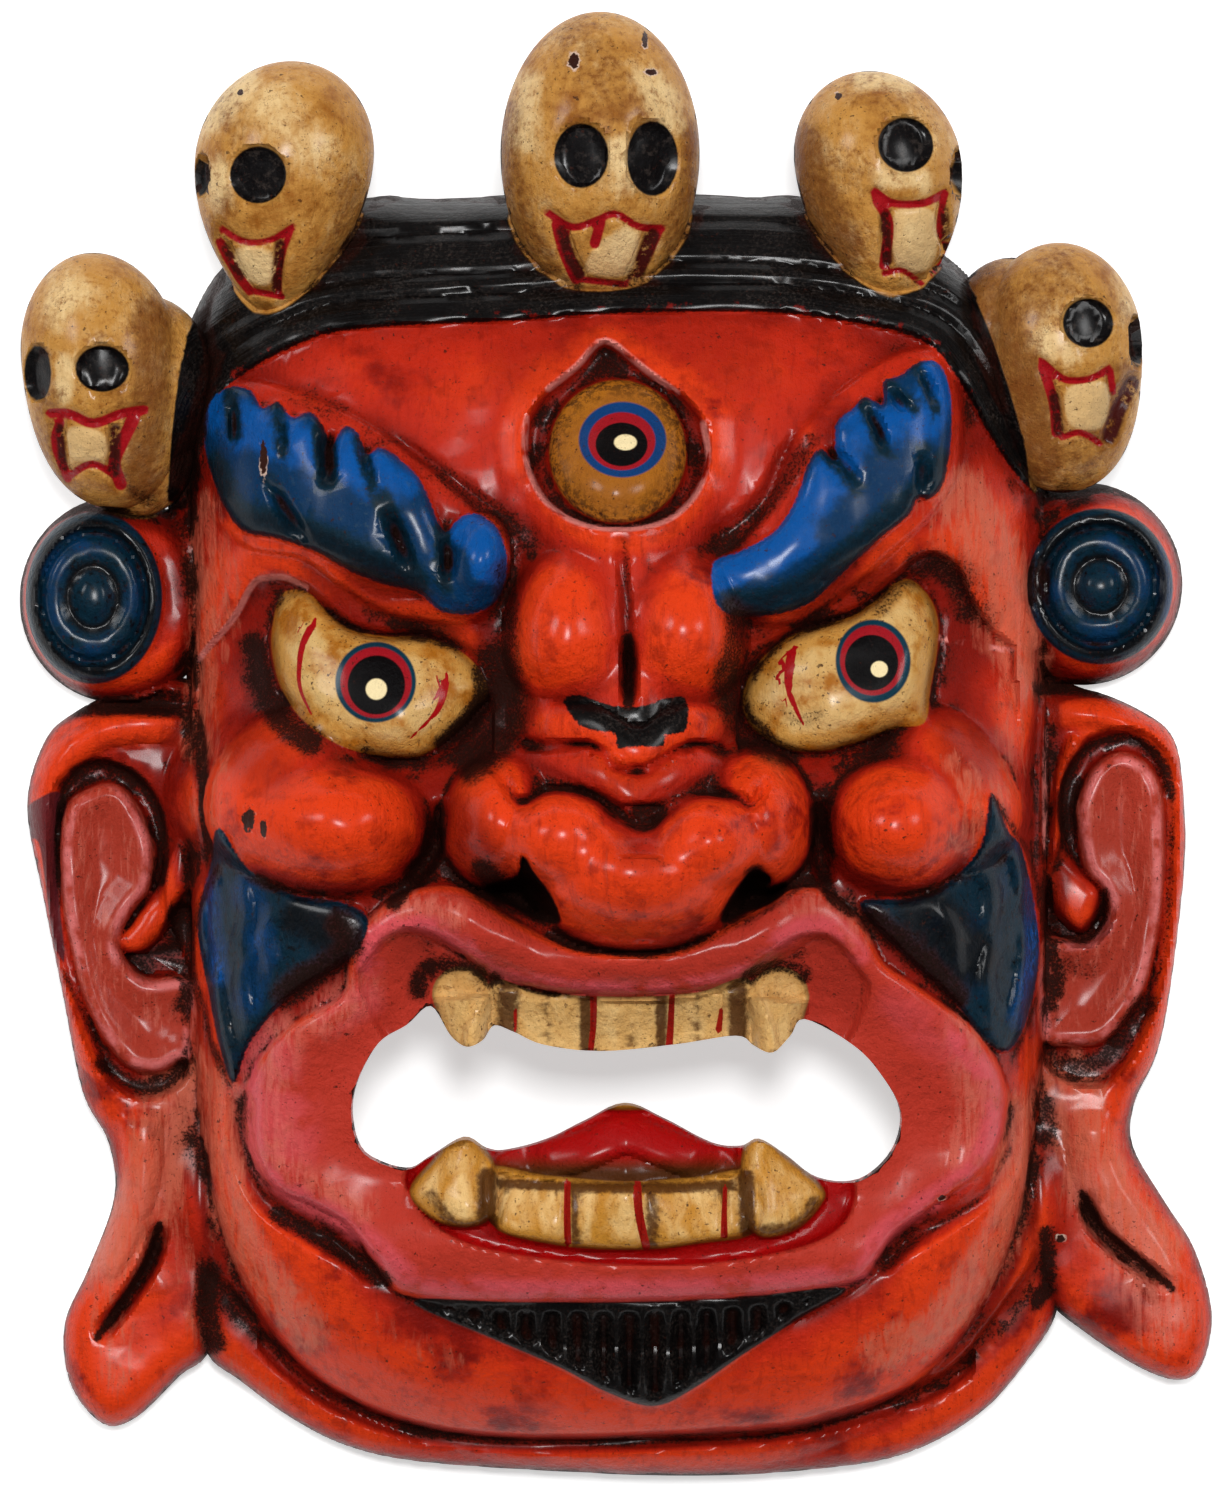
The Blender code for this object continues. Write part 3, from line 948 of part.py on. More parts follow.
def build():
    remove_everything()
    scene_collection = bpy.context.scene.collection
    guides = bpy.data.collections.new("guides")
    crown = bpy.data.collections.new("skulls")
    scene_collection.children.link(guides)
    scene_collection.children.link(crown)

    blank = prism("blank", smooth_curve(HEAD, True), guides)
    for name, points in (("ear left", EAR_LEFT), ("ear right", EAR_RIGHT)):
        combine(blank, "UNION", prism(name, smooth_curve(points, True), guides))
    for name, boss in (("boss left", BOSS_LEFT), ("boss right", BOSS_RIGHT)):
        combine(blank, "UNION", prism(name, ellipse_outline(boss["centre"], boss["radii"]), guides))
    mouth = prism("mouth", smooth_curve(MOUTH, True), guides)
    for i, skull in enumerate(SKULLS):
        add_skull(f"skull {i}", skull, crown)
    for i, web in enumerate(SKULL_WEBS):
        add_web(f"web {i}", web, crown)

    mask = carved_block(scene_collection)
    # The exact solver leaves edges with four faces on a mesh as fine as this one.
    combine(mask, "INTERSECT", blank, solver="MANIFOLD")
    combine(mask, "DIFFERENCE", mouth, solver="MANIFOLD")
    combine(mask, "UNION", group=crown, solver="MANIFOLD")
    even_out(mask)
    thin_out(mask)
    mask.data.materials.append(painted_wood())


build()
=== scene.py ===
# A wrathful protector's dance mask with a crown of five skulls, carved from one block of wood and painted.
# It lies face up on its back rim: +X is the viewer's right, +Y the crown, and +Z comes out of the face.
# Sizes are in millimetres, and the finished mesh is scaled to metres. Heights start at the back rim.
import math

import bpy
import numpy as np
from mathutils import Matrix, Vector, noise
from mathutils.bvhtree import BVHTree


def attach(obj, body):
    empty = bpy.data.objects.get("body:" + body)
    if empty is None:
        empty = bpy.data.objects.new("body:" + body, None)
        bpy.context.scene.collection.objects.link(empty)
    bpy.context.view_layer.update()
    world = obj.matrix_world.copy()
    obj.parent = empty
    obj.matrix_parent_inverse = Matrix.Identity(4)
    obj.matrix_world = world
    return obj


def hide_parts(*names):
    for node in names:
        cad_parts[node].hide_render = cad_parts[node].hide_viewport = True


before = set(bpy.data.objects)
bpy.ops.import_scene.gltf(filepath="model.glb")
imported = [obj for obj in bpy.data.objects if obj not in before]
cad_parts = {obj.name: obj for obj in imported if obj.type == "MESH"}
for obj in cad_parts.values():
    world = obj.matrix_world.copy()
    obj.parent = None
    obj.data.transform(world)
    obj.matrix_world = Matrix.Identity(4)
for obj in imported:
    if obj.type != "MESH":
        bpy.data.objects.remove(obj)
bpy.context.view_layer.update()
print("frame loaded")


def smoothStep(low, high, value):
    t = np.clip((value - low) / (high - low), 0, 1)
    return t * t * (3 - 2 * t)


def roundUp(t):
    t = np.clip(t, 0, 1)
    return np.sqrt(1 - (1 - t) ** 2)


def smoothMax(a, b, soft):
    t = np.clip(0.5 + 0.5 * (a - b) / soft, 0, 1)
    return b + (a - b) * t + soft * t * (1 - t)


def smoothCurve(points, closed, steps=5):
    # A Catmull-Rom curve through the points.
    points = np.array(points, float)
    if closed:
        points = np.vstack([points[-1], points, points[:2]])
    else:
        points = np.vstack([2 * points[0] - points[1], points, 2 * points[-1] - points[-2]])
    t = np.linspace(0, 1, steps, endpoint=False)[:, None]
    pieces = []
    for a, b, c, d in zip(points, points[1:], points[2:], points[3:]):
        pieces.append(0.5 * (2 * b + (c - a) * t + (2 * a - 5 * b + 4 * c - d) * t ** 2
                             + (3 * b - a - 3 * c + d) * t ** 3))
    if not closed:
        pieces.append(points[-2:-1])
    return np.vstack(pieces)


def pathDistance(path, x, y):
    # The distance to an open path, and how far along it the nearest place is, from 0 to 1.
    runs = np.hypot(*np.diff(path, axis=0).T)
    starts = np.concatenate([[0], np.cumsum(runs)])
    nearest = np.full(x.shape, 1e6)
    along = np.zeros(x.shape)
    for i, run in enumerate(runs):
        ax, ay = path[i]
        ux, uy = (path[i + 1] - path[i]) / run
        t = np.clip((x - ax) * ux + (y - ay) * uy, 0, run)
        gap = np.hypot(x - ax - t * ux, y - ay - t * uy)
        closer = gap < nearest
        nearest = np.where(closer, gap, nearest)
        along = np.where(closer, starts[i] + t, along)
    return nearest, along / starts[-1]


def insideDistance(outline, x, y):
    # The distance in from a closed outline: positive inside and negative outside.
    closed = np.vstack([outline, outline[:1]])
    nearest, _ = pathDistance(closed, x, y)
    inside = np.zeros(x.shape, bool)
    for (ax, ay), (bx, by) in zip(closed, closed[1:]):
        if ay != by:
            crosses = (ay > y) != (by > y)
            inside ^= crosses & (x < ax + (y - ay) * (bx - ax) / (by - ay))
    return np.where(inside, nearest, -nearest)


def nearby(points, reach, x, y):
    low = np.min(points, axis=0) - reach
    high = np.max(points, axis=0) + reach
    return (x > low[0]) & (x < high[0]) & (y > low[1]) & (y < high[1])


def ellipseDistance(centre, radii, turn, x, y):
    c, s = np.cos(np.radians(turn)), np.sin(np.radians(turn))
    u = (x - centre[0]) * c + (y - centre[1]) * s
    v = (y - centre[1]) * c - (x - centre[0]) * s
    return np.hypot(u / radii[0], v / radii[1])


def dome(z, x, y, centre, reach, foot, top, turn=0, soft=2.0):
    # A rounded swelling that stands out of the surface. It may reach further up than down.
    half, below, above = reach
    near = nearby(np.array([centre]), max(reach) * 1.3, x, y)
    c, s = np.cos(np.radians(turn)), np.sin(np.radians(turn))
    u = (x[near] - centre[0]) * c + (y[near] - centre[1]) * s
    v = (y[near] - centre[1]) * c - (x[near] - centre[0]) * s
    d = np.hypot(u / half, v / np.where(v > 0, above, below))
    lift = foot + (top - foot) * np.sqrt(np.clip(1 - d ** 2, 0, 1)) - 60 * np.clip(d - 1, 0, None)
    z[near] = smoothMax(z[near], lift, soft)


def bead(z, x, y, points, width, height, taper=0.15, power=0.5, tip=1.0):
    # A rounded ridge along a path, as wide at its last end as tip says. A negative height cuts a groove.
    path = smoothCurve(points, False)
    near = nearby(path, width * max(tip, 1), x, y)
    gap, along = pathDistance(path, x[near], y[near])
    ends = smoothStep(0, taper, along) * smoothStep(0, taper, 1 - along)
    across = gap / (width * (1 + (tip - 1) * along))
    z[near] += height * ends * np.clip(1 - across ** 2, 0, 1) ** power


foldTaper = 0.08        # a long fold fades out only at its very ends


def groove(z, x, y, points, width, depth, taper=0.2):
    bead(z, x, y, points, width, -depth, taper, 1.3)


def grooves(z, x, y, each, taper=0.2):
    for points, width, depth in each:
        groove(z, x, y, points, width, depth, taper)


def fieldProfile(inside, edge):
    # A sloping wall along the outline, and a rounded shoulder behind it.
    wall = smoothStep(-block["wallSlope"], block["wallSlope"], inside)
    return wall * (block["wallShare"] + (1 - block["wallShare"]) * roundUp(inside / edge))


def plate(z, x, y, points, height, edge):
    # A raised field with rounded edges. A negative height sinks it.
    outline = smoothCurve(points, True)
    near = nearby(outline, block["wallSlope"], x, y)
    inside = insideDistance(outline, x[near], y[near])
    z[near] += height * fieldProfile(inside, edge)
    return near, inside


def plates(z, x, y, outlines, height, edge):
    for points in outlines:
        plate(z, x, y, points, height, edge)


def domes(z, x, y, each):
    for lump in each:
        dome(z, x, y, *lump)


def tooth(z, x, y, middle, half, low, high, height):
    sides = np.minimum(half - np.abs(x - middle), np.minimum(high - y, y - low))
    z += height * fieldProfile(sides, teeth["round"])


block = {
    "cell": 0.8,
    "prismLow": -20.0,
    "prismHigh": 140.0,
    "triangles": 188000,
    "reachX": 154.37,
    "lowestY": -186.43,
    "highestY": 143.71,
    "plate": 18.0,
    "lowestFront": 9.0,
    "frontEdge": 7.0,
    "edgeRound": 8.0,
    "backRound": 3.0,
    "wallSlope": 0.9,
    "wallShare": 0.4,
}


head = {
    "outline": (
        (-60, 139), (-45, 138.3), (-4, 140.5), (32, 138.9), (46, 139), (64, 134.5), (86, 121.4), (97, 106),
        (106, 88), (109, 60), (108, 0), (108, -90), (110, -128), (111, -141), (105, -152), (92, -167),
        (73, -177.5), (50, -181.5), (20, -183.2), (-15, -182), (-50, -179.5), (-68, -175.5), (-82, -168.5),
        (-95, -159), (-103, -152.5), (-107, -138), (-107, -90), (-107, 0), (-113, 62), (-111.6, 92),
        (-106.6, 109), (-98, 122.5), (-82, 134),
    ),
    "crown": 67.0,
    "hairFall": 23.0,
    "hairPower": 2.6,
    "chinFall": 29.0,
    "chinPower": 3,
    "cheekFall": 9.0,
    "centre": (0.5, -22.0),
    "halfWidth": 107.5,
    "up": 161.0,
    "down": 151.5,
    "squareUp": 6.5,
    "squareDown": 3.4,
    "sideShare": 0.40,
    "sidePowers": (2.2, 0.62),
    "footRise": 9.0,
    "footRises": (95, 135),
}


def blockDistance(x, y):
    inHead = insideDistance(smoothCurve(head["outline"], True), x, y)
    inBlock = inHead.copy()
    for side in ("left", "right"):
        inBlock = np.maximum(inBlock, insideDistance(smoothCurve(ears[side], True), x, y))
        d = ellipseDistance(bosses[side]["centre"], bosses[side]["radii"], 0, x, y)
        inBlock = np.maximum(inBlock, (1 - d) * min(bosses[side]["radii"]))
    return inHead, inBlock


def headForm(x, y):
    # A rounded block: level along the middle, and rising steeply from its edge all round.
    u = np.abs(x - head["centre"][0]) / head["halfWidth"]
    v = y - head["centre"][1]
    up = (u ** head["squareUp"] + (np.abs(v) / head["up"]) ** head["squareUp"]) ** (1 / head["squareUp"])
    down = (u ** head["squareDown"]
            + (np.abs(v) / head["down"]) ** head["squareDown"]) ** (1 / head["squareDown"])
    t = np.clip((1 - np.where(v > 0, up, down)) / head["sideShare"], 0, 1)
    crown = head["crown"] - head["cheekFall"] * (x / 100) ** 2
    crown -= head["hairFall"] * (np.clip(y, 0, None) / block["highestY"]) ** head["hairPower"]
    crown -= head["chinFall"] * (np.clip(y, None, 0) / block["lowestY"]) ** head["chinPower"]
    start, end = head["footRises"]
    foot = block["plate"] + head["footRise"] * smoothStep(start, end, y)
    bulge, blunt = head["sidePowers"]
    return foot + (crown - foot) * (1 - (1 - t) ** bulge) ** blunt


hair = {
    "line": (
        (-108, 60), (-104, 74), (-101, 85), (-94, 92.5), (-80, 100), (-65, 104.1), (-25.6, 106.1),
        (-1.6, 107.9), (36, 108.4), (60, 105.4), (76.6, 101), (85, 91.5), (93, 77.5), (99, 69), (104, 64),
    ),
    "behind": ((125, 64), (125, 160), (-125, 160), (-125, 60)),
    "rise": 3.4,
    "round": 3.0,
    "notches": ((7.2, 2.0, 1.6), (12.5, 1.8, 1.3), (23.0, 2.2, 1.6)),   # place, half width, depth
}


def carveHair(z, x, y):
    line = smoothCurve(hair["line"], False)
    outline = np.vstack([line, hair["behind"]])
    inside = insideDistance(outline, x, y)
    z += hair["rise"] * fieldProfile(inside, hair["round"])
    for place, half, depth in hair["notches"]:
        z -= depth * np.clip(1 - np.abs(inside - place) / half, 0, 1)


thirdEye = {
    "edge": (
        (-2.9, 100.5), (-10, 94), (-17, 88.5), (-21.5, 82), (-22.6, 73), (-19.8, 64.4), (-14.8, 58.5),
        (-8, 55.2), (0.5, 54), (10, 55.3), (16, 58.7), (20.6, 64.5), (22.7, 72), (21.5, 80.5), (16, 87.5),
        (7, 93.5),
    ),
    "ball": ((0.3, 73.4), (17.2, 18.2)),
    "swell": 1.6,
    "swellReach": 9.0,
    "sink": 5.6,
    "sinkRound": 5.0,
    "rise": 9.0,
    "roundShare": 0.85,
}


def carveThirdEye(z, x, y):
    plate(z, x, y, thirdEye["edge"], -thirdEye["sink"], thirdEye["sinkRound"])
    rim = smoothCurve(thirdEye["edge"], True)
    near = nearby(rim, thirdEye["swellReach"], x, y)
    out = -insideDistance(rim, x[near], y[near])
    slope = block["wallSlope"]
    foot = smoothStep(thirdEye["swellReach"], slope, out)
    z[near] += thirdEye["swell"] * smoothStep(-slope, slope, out) * foot
    centre, radii = thirdEye["ball"]
    ball = (1 - ellipseDistance(centre, radii, 0, x, y)) * radii[0]
    z += thirdEye["rise"] * fieldProfile(ball, radii[0] * thirdEye["roundShare"])


brows = {
    "massLeft": (
        (-106, 78), (-101, 90), (-92, 92), (-76, 87.5), (-60, 79.5), (-46, 69), (-34, 58.5), (-28.5, 50),
        (-28.5, 41), (-32, 33), (-40, 31), (-56, 33), (-68, 40), (-78, 47), (-92, 50), (-102, 60),
    ),
    "massRight": (
        (25, 46), (31, 51), (38, 62), (43, 75), (52, 86), (64, 95), (74, 99.5), (82, 98), (86, 86),
        (85, 70), (80, 60), (70, 50), (56, 38), (44, 31), (32, 31), (26, 36),
    ),
    "left": (
        (-101.5, 86), (-96.5, 90), (-91, 89), (-88, 84.5), (-84, 86), (-80.5, 82), (-76, 83.3),
        (-72.5, 79.5), (-70.6, 75), (-67.3, 79.6), (-64, 78), (-61.5, 72.8), (-57.5, 74.2), (-49, 67),
        (-44.5, 57), (-42, 53.5), (-38.5, 57), (-34, 57.8), (-29, 53.5), (-27, 46), (-29, 37.5),
        (-35, 33.4), (-43, 33.8), (-49, 38.5), (-57.6, 40.6), (-65.8, 43.8), (-74.4, 48.7), (-84, 52),
        (-94, 55), (-100.5, 67), (-103, 78),
    ),
    "right": (
        (23.6, 44.5), (25, 46.8), (31, 48.8), (39.5, 54), (44.3, 61.5), (47.2, 70), (50.3, 74), (54, 71.5),
        (54.2, 80), (58.5, 84), (61.5, 87), (66, 85), (66.2, 91), (70, 92.3), (75, 95.8), (79.8, 95.5),
        (82.6, 89), (83, 78), (81, 66), (77.5, 61.8), (74.5, 62), (72, 57.5), (64.8, 51.7), (54.6, 42.1),
        (47, 35.5), (37, 32.8), (28, 33), (24.6, 35.5), (23.6, 40),
    ),
    "massRise": 3.5,
    "massRound": 7.0,
    "rise": 6.0,
    "round": 7.5,
    "slotTaper": 0.45,
    "curl": ((-34, 46), (8, 12.5, 12.5), 64, 79, -8, 1.0),
    "slots": (          # three points, half width, depth
        ((-96, 88.5), (-95, 80), (-95.3, 73), 1.7, 4), ((-84, 86), (-82, 78), (-83, 70), 1.5, 2.2),
        ((-72.5, 79.5), (-71, 71), (-72, 63.5), 2.6, 5.5), ((-64, 77), (-61, 69), (-59.5, 63), 1.6, 2.4),
        ((-86, 66.5), (-82, 59), (-76.5, 51), 2.8, 3.8), ((-57.5, 60.8), (-54, 52), (-49.5, 41.5), 2.8, 5),
        ((-43, 54), (-41.5, 47), (-42.5, 40), 2.3, 4.5), ((50.5, 74), (56, 71), (60, 64), 2, 3),
        ((61, 85.5), (65, 79), (66.5, 72.5), 1.8, 4.2), ((67.5, 90), (70.5, 85), (74, 84), 1.9, 3.2),
        ((74, 95), (77.5, 90), (79, 84), 1.8, 3.2), ((76, 74), (75.6, 67), (75, 61.5), 2.4, 3.8),
    ),
    "creases": (        # points, half width, depth
        (((-58, 79), (-46, 71), (-35, 62.5), (-26.5, 56), (-23, 49)), 1.6, 0.9),
        (((-89, 68), (-82, 60), (-74, 48)), 1.6, 1.2),
        (((21, 48.5), (28, 53.5), (37, 61), (42, 71), (47, 79)), 4, 2.4),
    ),
}


def carveBrows(z, x, y):
    plates(z, x, y, (brows["massLeft"], brows["massRight"]), brows["massRise"], brows["massRound"])
    plates(z, x, y, (brows["left"], brows["right"]), brows["rise"], brows["round"])
    dome(z, x, y, *brows["curl"])
    for a, b, c, width, depth in brows["slots"]:
        groove(z, x, y, (a, b, c), width, depth, brows["slotTaper"])
    grooves(z, x, y, brows["creases"])


eyes = {
    "sockets": (((-66, 18), (46, 32), -20), ((64, 21), (44, 32), 20)),
    "socketSink": 8.0,
    "left": (
        (-83.5, 38.5), (-85.8, 30.3), (-85.8, 23.8), (-83.7, 15.6), (-78.8, 8), (-71.2, 2.1), (-63, -1.2),
        (-54.9, -2.4), (-48.4, -2), (-42, 2.2), (-36.5, 7.5), (-31.6, 13.5), (-33.5, 19.2), (-38, 23.8),
        (-43.5, 26.6), (-50, 28), (-57.6, 28), (-65.8, 29.8), (-71.2, 33.6), (-77.1, 39.2),
    ),
    "right": (
        (31, 13), (33.2, 19), (38.2, 24.6), (45, 29), (53.8, 31.6), (59.2, 33.6), (64.7, 37.4), (69, 41.2),
        (73.2, 42), (77.6, 38), (80, 32), (79.7, 24), (78, 15), (76.4, 6.4), (69.5, 4.9), (60, 1.5),
        (51, -0.8), (42.5, -0.4), (36, 2.9), (32, 7.3),
    ),
    "balls": (((-60.5, 15.5), (33, 25), -18), ((58, 19.5), (32, 25), 22)),
    "rise": 13.5,
    "round": 9.0,
    "crease": 1.2,
    "lidSink": 4.2,
    "lidFade": (5.0, 26.0),
    "lids": (                # the edge of each lid, and the corners that close the sunk place under it
        (((-104.8, 22.1), (-102, 25.4), (-95.6, 32.4), (-90.7, 40.6), (-87.4, 42.4), (-82, 42.4), (-77.1, 40),
          (-71.2, 34.1), (-65.8, 30.3), (-57.6, 28.4), (-49.5, 28.6), (-42.4, 26.7), (-37, 22.7),
          (-32.7, 17.3), (-30.5, 9.7)), ((-30, -40), (-108, -40))),
        (((29.8, 10), (31, 15), (33.5, 20.3), (38.4, 25.4), (45, 29.7), (53.8, 32.2), (59.2, 34.2),
          (64.7, 38), (69, 42), (72.9, 46.3), (77.8, 48.5), (82.2, 47.4), (85.5, 44), (88, 38),
          (93.1, 30.3), (99.2, 25.3)),
         ((104, -40), (30, -40))),
    ),
    "strips": (              # the plump strip over each lid's edge: points, half width, height
        (((-34, 22), (-41, 30), (-50, 32.5), (-60, 33), (-69, 38), (-76, 44)), 4.5, 1.6),
        (((31, 22), (40, 30.5), (51, 36), (60, 40), (68, 49)), 4.5, 1.6),
    ),
}


def carveLid(z, x, y, edge, corners):
    # A crisp step down along the lid's edge, that rises again slowly to nothing.
    path = smoothCurve(edge, False)
    steep, gone = eyes["lidFade"]
    near = nearby(path, gone, x, y)
    gap, _ = pathDistance(path, x[near], y[near])
    inside = insideDistance(np.vstack([path, corners]), x[near], y[near]) > 0
    wall = smoothStep(-block["wallSlope"], block["wallSlope"], np.where(inside, gap, -gap))
    z[near] -= eyes["lidSink"] * wall * smoothStep(gone, steep, gap)


def carveEyes(z, x, y):
    for socket in eyes["sockets"]:
        z -= eyes["socketSink"] * smoothStep(1, 0.5, ellipseDistance(*socket, x, y).clip(0.5, 1))
    for points, width, height in eyes["strips"]:
        bead(z, x, y, points, width, height)
    for lid in eyes["lids"]:
        carveLid(z, x, y, *lid)
    for outline, eyeball in ((eyes["left"], eyes["balls"][0]), (eyes["right"], eyes["balls"][1])):
        inside = insideDistance(smoothCurve(outline, True), x, y)
        z -= eyes["crease"] * smoothStep(-2.5, 0, inside)
        ball = np.sqrt(np.clip(1 - ellipseDistance(*eyeball, x, y) ** 2, 0, 1))
        z += (eyes["rise"] * ball + eyes["crease"]) * fieldProfile(inside, eyes["round"])


nose = {
    "ridge": ((1, 60), (2, 30), (3, 0), (4, -24)),
    "ridgeHalf": (24, 34),
    "ridgeRise": (11, 20),
    "frownLumps": (
        ((-12.2, 26.5), (16.5, 18, 24), 56, 87, 0, 9), ((17.2, 26.5), (15.8, 17.6, 24), 56, 87, 0, 9),
    ),
    "frownFolds": (         # points, half width, depth, taper
        (((0.5, 55), (1.5, 44), (2.4, 34), (2.8, 22), (3, 10)), 2, 2, 0.3),
        (((2.8, 29), (3, 20), (3, 9)), 2.6, 8, 0.4),
        (((-28, 46), (-28, 30), (-27, 18), (-29, 6)), 8, 1.6, 0.3),
        (((30, 44), (30.5, 28), (28, 16), (29, 6)), 8, 1.8, 0.3),
    ),
    "rolls": (          # points, half width, height
        (((-25, 8), (-16, 5.5), (-7, 5), (2, 0.5), (9, 0.5), (17, 5.5), (29, 3)), 6, 5),
        (((-35, 1), (-24, -4.5), (-14, -5), (-5, -6.5), (4, -11.5), (11, -9.5), (19, -5.5), (28, -6),
          (38, -1)),
         6.4, 5.5),
    ),
    "lumps": (
        ((-28.5, -19), (15.5, 17, 18), 58, 94, -6, 10), ((34.5, -18), (15, 18, 18.5), 58, 94, 6, 10),
        ((4.8, -31), (29, 19.6, 19.5), 62, 107, 0, 8), ((-14, -22), (14, 12, 12), 84, 103.5, 10, 8),
        ((21.5, -23), (14, 12, 12), 84, 103.5, -8, 8),
    ),
    "folds": (
        (((5.5, -13), (5.6, -20), (5.6, -27)), 7, 4),
        (((-25.1, 3.4), (-21.7, 0.8), (-14, 0.6), (-7.5, 0.8), (-4, -0.8), (0.1, -4.4), (5.9, -5.4),
          (10.5, -3.5), (15.1, -0.6), (19.7, 0.9), (24.3, -0.1), (29, -2)), 1.8, 3.6),
        (((-36.6, -2.3), (-30.9, -4.1), (-27.4, -8.1), (-25.1, -12.1), (-21.7, -12.9), (-17.1, -10.6),
          (-7.9, -11), (-2.2, -13.3), (2.4, -17.3), (7, -18.9), (12.2, -16.1), (18.5, -12.7), (24.2, -11.5),
          (29.4, -11.8), (32.9, -13.9), (35.2, -11.5), (38, -5.2)), 1.9, 3.8),
    ),
    "nostrils": (
        ((-23, -26.5), (-24.5, -31.5), (-32.4, -34.6), (-23, -40.4), (-14.3, -43), (-15.6, -37),
         (-19.8, -31)),
        ((33.6, -29.8), (37.8, -31.8), (37, -34.8), (41.5, -34), (38.2, -38), (30, -41), (26.2, -42.8),
         (26.6, -39.4), (29.6, -34.5)),
    ),
    "nostrilDepth": 16.0,
    "nostrilRound": 4.0,
}


def carveNose(z, x, y):
    path = smoothCurve(nose["ridge"], False)
    lowHalf, highHalf = nose["ridgeHalf"]
    lowRise, highRise = nose["ridgeRise"]
    near = nearby(path, highHalf, x, y)
    gap, along = pathDistance(path, x[near], y[near])
    half = lowHalf + (highHalf - lowHalf) * along
    rise = lowRise + (highRise - lowRise) * along
    z[near] += rise * np.clip(1 - (gap / half) ** 2, 0, 1) ** 1.5
    domes(z, x, y, nose["frownLumps"])
    for fold in nose["frownFolds"]:
        groove(z, x, y, *fold)
    for points, width, height in nose["rolls"]:
        bead(z, x, y, points, width, height)
    domes(z, x, y, nose["lumps"])
    grooves(z, x, y, nose["folds"], foldTaper)
    plates(z, x, y, nose["nostrils"], -nose["nostrilDepth"], nose["nostrilRound"])


cheeks = {
    "lumps": (
        ((-80, -18), (24, 17, 30), 44, 74, -20, 9), ((82, -17), (19, 16, 30), 42, 71, 20, 9),
        ((-68.5, -18.5), (27, 20.5, 18), 42, 84.5, -6, 7), ((69, -19), (20.5, 19.5, 19), 42, 84, 4, 7),
    ),
    "folds": (          # points, half width, depth
        (((-42, -12), (-45, -24), (-52, -34)), 3.4, 6), (((50, -12), (50, -24), (52, -34)), 3, 6),
    ),
}


def carveCheeks(z, x, y):
    domes(z, x, y, cheeks["lumps"])
    grooves(z, x, y, cheeks["folds"])


whiskers = {
    "left": (
        (-98.5, -19.5), (-101.5, -30), (-104.8, -44), (-102, -60), (-99, -74), (-95.4, -83.5), (-91, -73),
        (-82, -62.5), (-73, -56.5), (-64, -50), (-61.5, -42), (-68, -38), (-80, -36), (-91, -30),
    ),
    "right": (
        (92.6, -11), (97, -20.5), (101, -25), (105, -42), (105.5, -55), (102, -69), (97, -75.5), (91, -72),
        (83, -62), (72, -52), (60, -38.5), (72, -37), (82, -33), (90, -24),
    ),
    "rise": 4.0,
    "round": 4.0,
    "strands": (        # points, half width, height
        (((-99.5, -26), (-103.5, -40), (-101, -52)), 3.4, 2.6),
        (((-102.5, -50), (-99.5, -66), (-96, -81)), 3, 2.4),
        (((-95, -31), (-92, -41), (-96, -54)), 2.6, 1.8), (((-90, -46), (-93.5, -58), (-91, -70)), 2.6, 2),
        (((-82, -38), (-87, -46), (-84, -57)), 2.6, 1.5), (((95, -17), (100.5, -28), (103, -40)), 3.2, 2.8),
        (((103.5, -38), (102.5, -54), (98.5, -72)), 3, 2.6), (((88, -27), (93.5, -36), (91, -49)), 2.8, 2),
        (((95.5, -45), (92, -57), (95.5, -69)), 2.8, 2), (((77, -38), (83, -45), (84, -58)), 2.6, 1.6),
    ),
}


def carveWhiskers(z, x, y):
    plates(z, x, y, (whiskers["left"], whiskers["right"]), whiskers["rise"], whiskers["round"])
    for points, width, height in whiskers["strands"]:
        bead(z, x, y, points, width, height, 0.3, 0.8)


